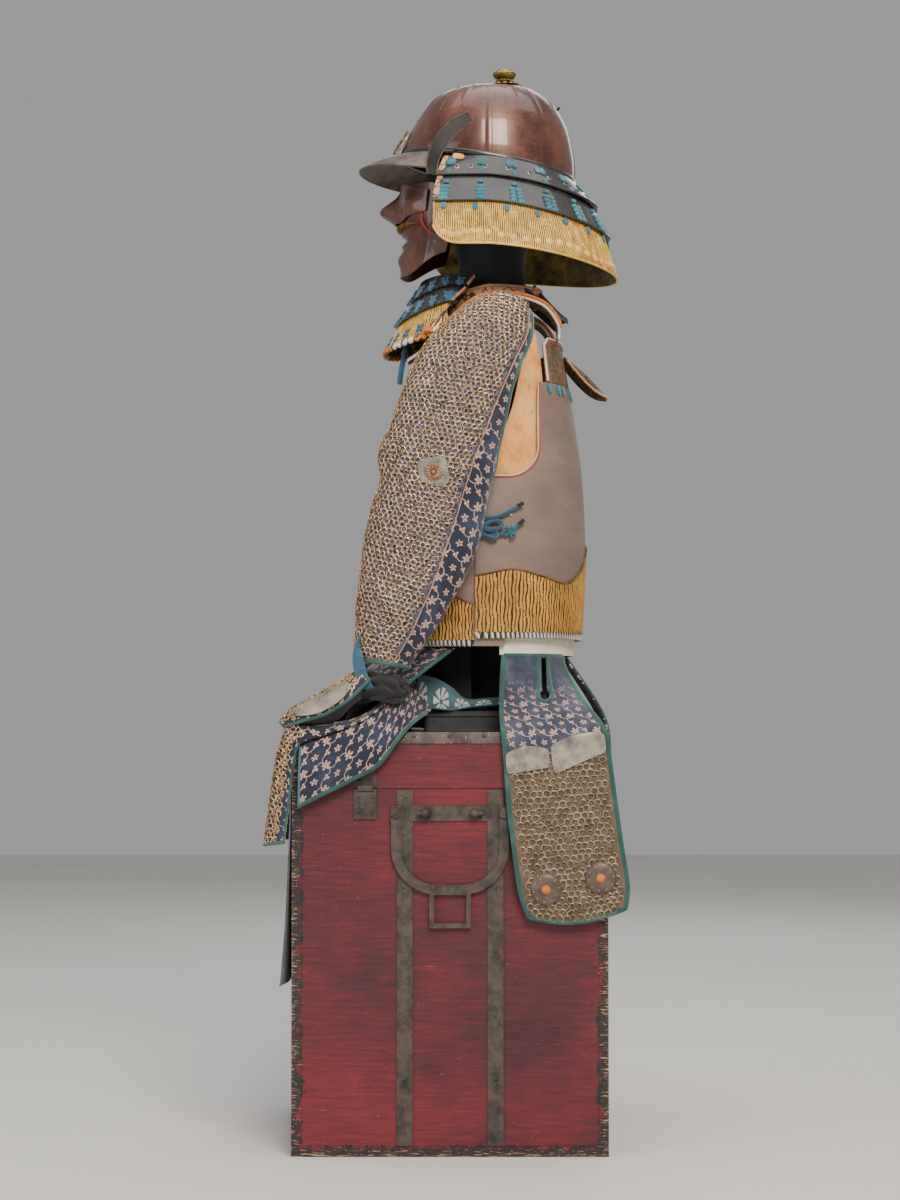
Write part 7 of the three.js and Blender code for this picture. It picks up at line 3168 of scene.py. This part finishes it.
    def discs(self) -> None:
        """Adds the two bossed discs with the rivets round their rims."""
        places, axes = axes_on(self.side, *self.places(np.array([(120, 334), (189, 348)])), self.heart)
        for name, around, out, size, finish in (
            ("discs", 40, 2.6, (20, 20, 3.4), DULL_RUSSET), ("bosses", 20, 5.4, (6, 6, 4.2), ORANGE_SKIN),
        ):
            raised = places + axes[:, 2] * out
            pair(scatter(f"skirt_{name}_left", dome_shape(5, around), raised, axes, size), finish)
        turns = 2 * math.pi * np.arange(10) / 10
        rivets = [
            place + axis[2] * 3.6 + 15.5 * (math.cos(turn) * axis[0] + math.sin(turn) * axis[1])
            for place, axis in zip(places, axes, strict=True) for turn in turns
        ]
        rivet_axes = np.repeat(axes, len(turns), 0)
        pair(scatter("skirt_rivets_left", dome_shape(3, 8), rivets, rivet_axes, (1.7, 1.7, 1.6)), COPPER)


# ------------------------------------------------------------------ cords


@dataclass
class Cords:
    """The free cords: the side laces through the cuirass and the chin cord under the mask."""

    lace: float = 2.4
    chin: float = 4.0
    eyelet: tuple[float, float, float] = (173.5, 30.0, 792.0)
    upper: tuple[tuple[float, float, float], ...] = (
        (173, 34, 800), (172, 44, 804), (170.5, 56, 804), (169, 68, 808), (167, 80, 815), (164.5, 92, 822),
    )
    lower: tuple[tuple[float, float, float], ...] = (
        (173, 34, 784), (172, 44, 780), (170.5, 56, 781), (169, 67, 783), (167.5, 77, 787), (166, 85, 793),
        (164.5, 93, 800),
    )
    under_chin: tuple[tuple[float, float, float], ...] = (
        (44, -57, 1046), (46, -60, 1030), (46, -64, 1014), (45, -66, 1001), (42, -67, 991),
    )

    def strand(
        self, name: str, route: Sequence[Sequence[float]], radius: float, finish: Finish
    ) -> Piece:
        """Makes one round cord.

        Args:
            name: the piece's name.
            route: the points that it goes through.
            radius: half its thickness.
            finish: what it is made of.

        Returns:
            The piece.
        """
        return dress(swept(name, smooth_path(route, 1.5), LEFT, (radius, radius), 0.1, sides=12), finish)

    def length(self, route: Sequence[Sequence[float]]) -> float:
        """Returns the length of a cord along its route, in metres."""
        return float(np.sum(np.linalg.norm(np.diff(smooth_path(route, 1.5), axis=0), axis=1))) * MM

    def build(self) -> None:
        """Builds each free cord with the tip it ends in, and the side laces' bows and knots."""
        for side in (1, -1):
            hand = "left" if side > 0 else "right"
            turned = np.array([side, 1, 1])
            for name, points in (("upper", self.upper), ("lower", self.lower)):
                route = np.array([self.eyelet, *points]) * turned
                cord = self.strand(f"side_lace_{name}_{hand}", route, self.lace, BLUE_SILK)
                end, before = route[-1], route[-2]
                ahead = unit(end - before)
                sheath = [end - ahead * 7, end, end + ahead * 2]
                tip = self.strand(f"lace_tip_{name}_{hand}", sheath, self.lace + 0.5, BLACK_SILK)
                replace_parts(cord, f"side_tie_{hand}")
                self.length(route)
                [tip, self.bow(hand, side)] if name == "upper" else [tip]
            self.knot(hand, side)
        cord = self.strand("chin_lace", self.under_chin, self.chin, BLUE_SILK)
        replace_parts(cord, "chin_cord")
        self.length(self.under_chin)

    def bow(self, hand: str, side: int) -> Piece:
        """Makes the two tied loops that hang at the side lace's eyelet.

        Args:
            hand: which side's they are.
            side: 1 for the left side, -1 for the right.

        Returns:
            The piece.
        """
        loops = []
        for rise, reach in ((6, 34), (-9, 27)):
            around = 2 * math.pi * np.arange(44) / 44
            along = (1 - np.cos(around)) / 2
            y = 33 + reach * along
            z = 790 + rise * along + 5.4 * np.sin(around) * (0.4 + along)
            x = 174.6 + 1.4 * np.sin(2 * around) - 2.2 * along
            path = np.stack([x * side, y, z], axis=1)
            loops.append(swept("loop", path, LEFT, (self.lace, self.lace), 0.1, closed=True, sides=10))
        return dress(join(f"lace_bow_{hand}", loops), BLUE_SILK)

    def knot(self, hand: str, side: int) -> None:
        """Adds the frayed teal knot at the bend of the side lace.

        Args:
            hand: which side's it is.
            side: 1 for the left side, -1 for the right.
        """
        chance = np.random.default_rng(31)
        count = 34
        turned = np.array([side, 1, 1])
        lean = unit(chance.normal(0, 1, (count, 3)) * np.array([0.6, 1, 1]))
        across = unit(np.cross(lean, np.array([0.3, 0.2, 1.0])))
        axes = np.stack([across, np.cross(lean, across), lean], axis=1) * turned
        places = (np.array([169.5, 77.0, 787.0]) + lean * 2.4) * turned
        tuft = scatter(f"lace_knot_{hand}", pad_shape(0.3), places, axes, (2.6, 2.6, 14.0))
        face_outwards(tuft)
        dress(tuft, TEAL_SILK)


# ------------------------------------------------------------------ studio


@dataclass
class Studio:
    """The plain pale floor and the soft lights."""

    floor_half: float = 6.0

    def build(self) -> None:
        """Lays the floor, hangs the lights and sets the sky's grey."""
        bpy.ops.object.select_all(action="DESELECT")
        bpy.ops.mesh.primitive_plane_add(size=2 * self.floor_half, location=(0, 0, -0.0005))
        floor = bpy.context.object
        floor.name = floor.data.name = "studio_floor"
        floor.data.materials.append(PALE_PAPER.material())
        self.lamp("studio_key", (3.3, 0.7, 3.1), (0, 0, 0.8), (1.5, 1.5), 188, "#fff3e4")
        self.lamp("studio_fill", (2.6, -2.8, 1.5), (0, 0, 0.7), (2.2, 2.2), 42, "#eef3ff")
        self.lamp("studio_top", (0.2, 0.2, 3.2), (0, 0, 0.8), (2.4, 2.4), 45, "#ffffff")
        self.lamp("studio_back", (-3.0, 0.6, 2.4), (0, 0, 0.9), (2.0, 2.0), 26, "#ffffff")
        world = bpy.context.scene.world or bpy.data.worlds.new("Studio")
        bpy.context.scene.world = world
        world.use_nodes = True
        sky = world.node_tree.nodes["Background"]
        sky.inputs["Color"].default_value = linear("#e4e4e4")
        sky.inputs["Strength"].default_value = 0.46

    def lamp(
        self, name: str, place: tuple, aim: tuple, size: tuple[float, float], watts: float, colour: str
    ) -> None:
        """Hangs one soft rectangular light.

        Args:
            name: its name.
            place: where it hangs, in metres.
            aim: the point it faces.
            size: its width and height in metres.
            watts: its power.
            colour: its tint.
        """
        light = bpy.data.lights.new(name, "AREA")
        light.shape, light.size, light.size_y = "RECTANGLE", *size
        light.energy, light.color = watts, linear(colour)[:3]
        lamp = bpy.data.objects.new(name, light)
        lamp.location = place
        lamp.rotation_euler = (Vector(aim) - Vector(place)).to_track_quat("-Z", "Y").to_euler()
        bpy.context.scene.collection.objects.link(lamp)


def place_camera() -> None:
    """Sets the camera level at the middle of the body on its left side, tilted slightly up."""
    camera = bpy.data.cameras.new("camera")
    camera.lens, camera.sensor_width = 76.0, 36.0
    holder = bpy.data.objects.new("camera", camera)
    holder.location = (3.4, 0.0, 0.571)
    holder.rotation_euler = (math.radians(90 + 2.26), 0.0, math.radians(90))
    bpy.context.scene.collection.objects.link(holder)
    bpy.context.scene.camera = holder


def main() -> None:
    """Builds every sub-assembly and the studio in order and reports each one."""
    logging.basicConfig(level=logging.INFO, format="%(message)s")
    place_camera()
    parts = (
        Cords(), StorageChest(), Stand(), Helmet(), NeckGuard(), ThroatGuard(), FaceMask(), Cuirass(),
        Sleeves(), HandGuards(), ThighGuards(), WaistTie(), Skirt(), Studio(),
    )
    for part in parts:
        before = set(bpy.data.objects)
        part.build()
        added = [piece for piece in bpy.data.objects if piece not in before]
        faces = sum(len(piece.data.polygons) for piece in added if piece.type == "MESH")
        log.info("%s: %d pieces, %d faces", type(part).__name__, len(added), faces)


if __name__ == "__main__":
    main()
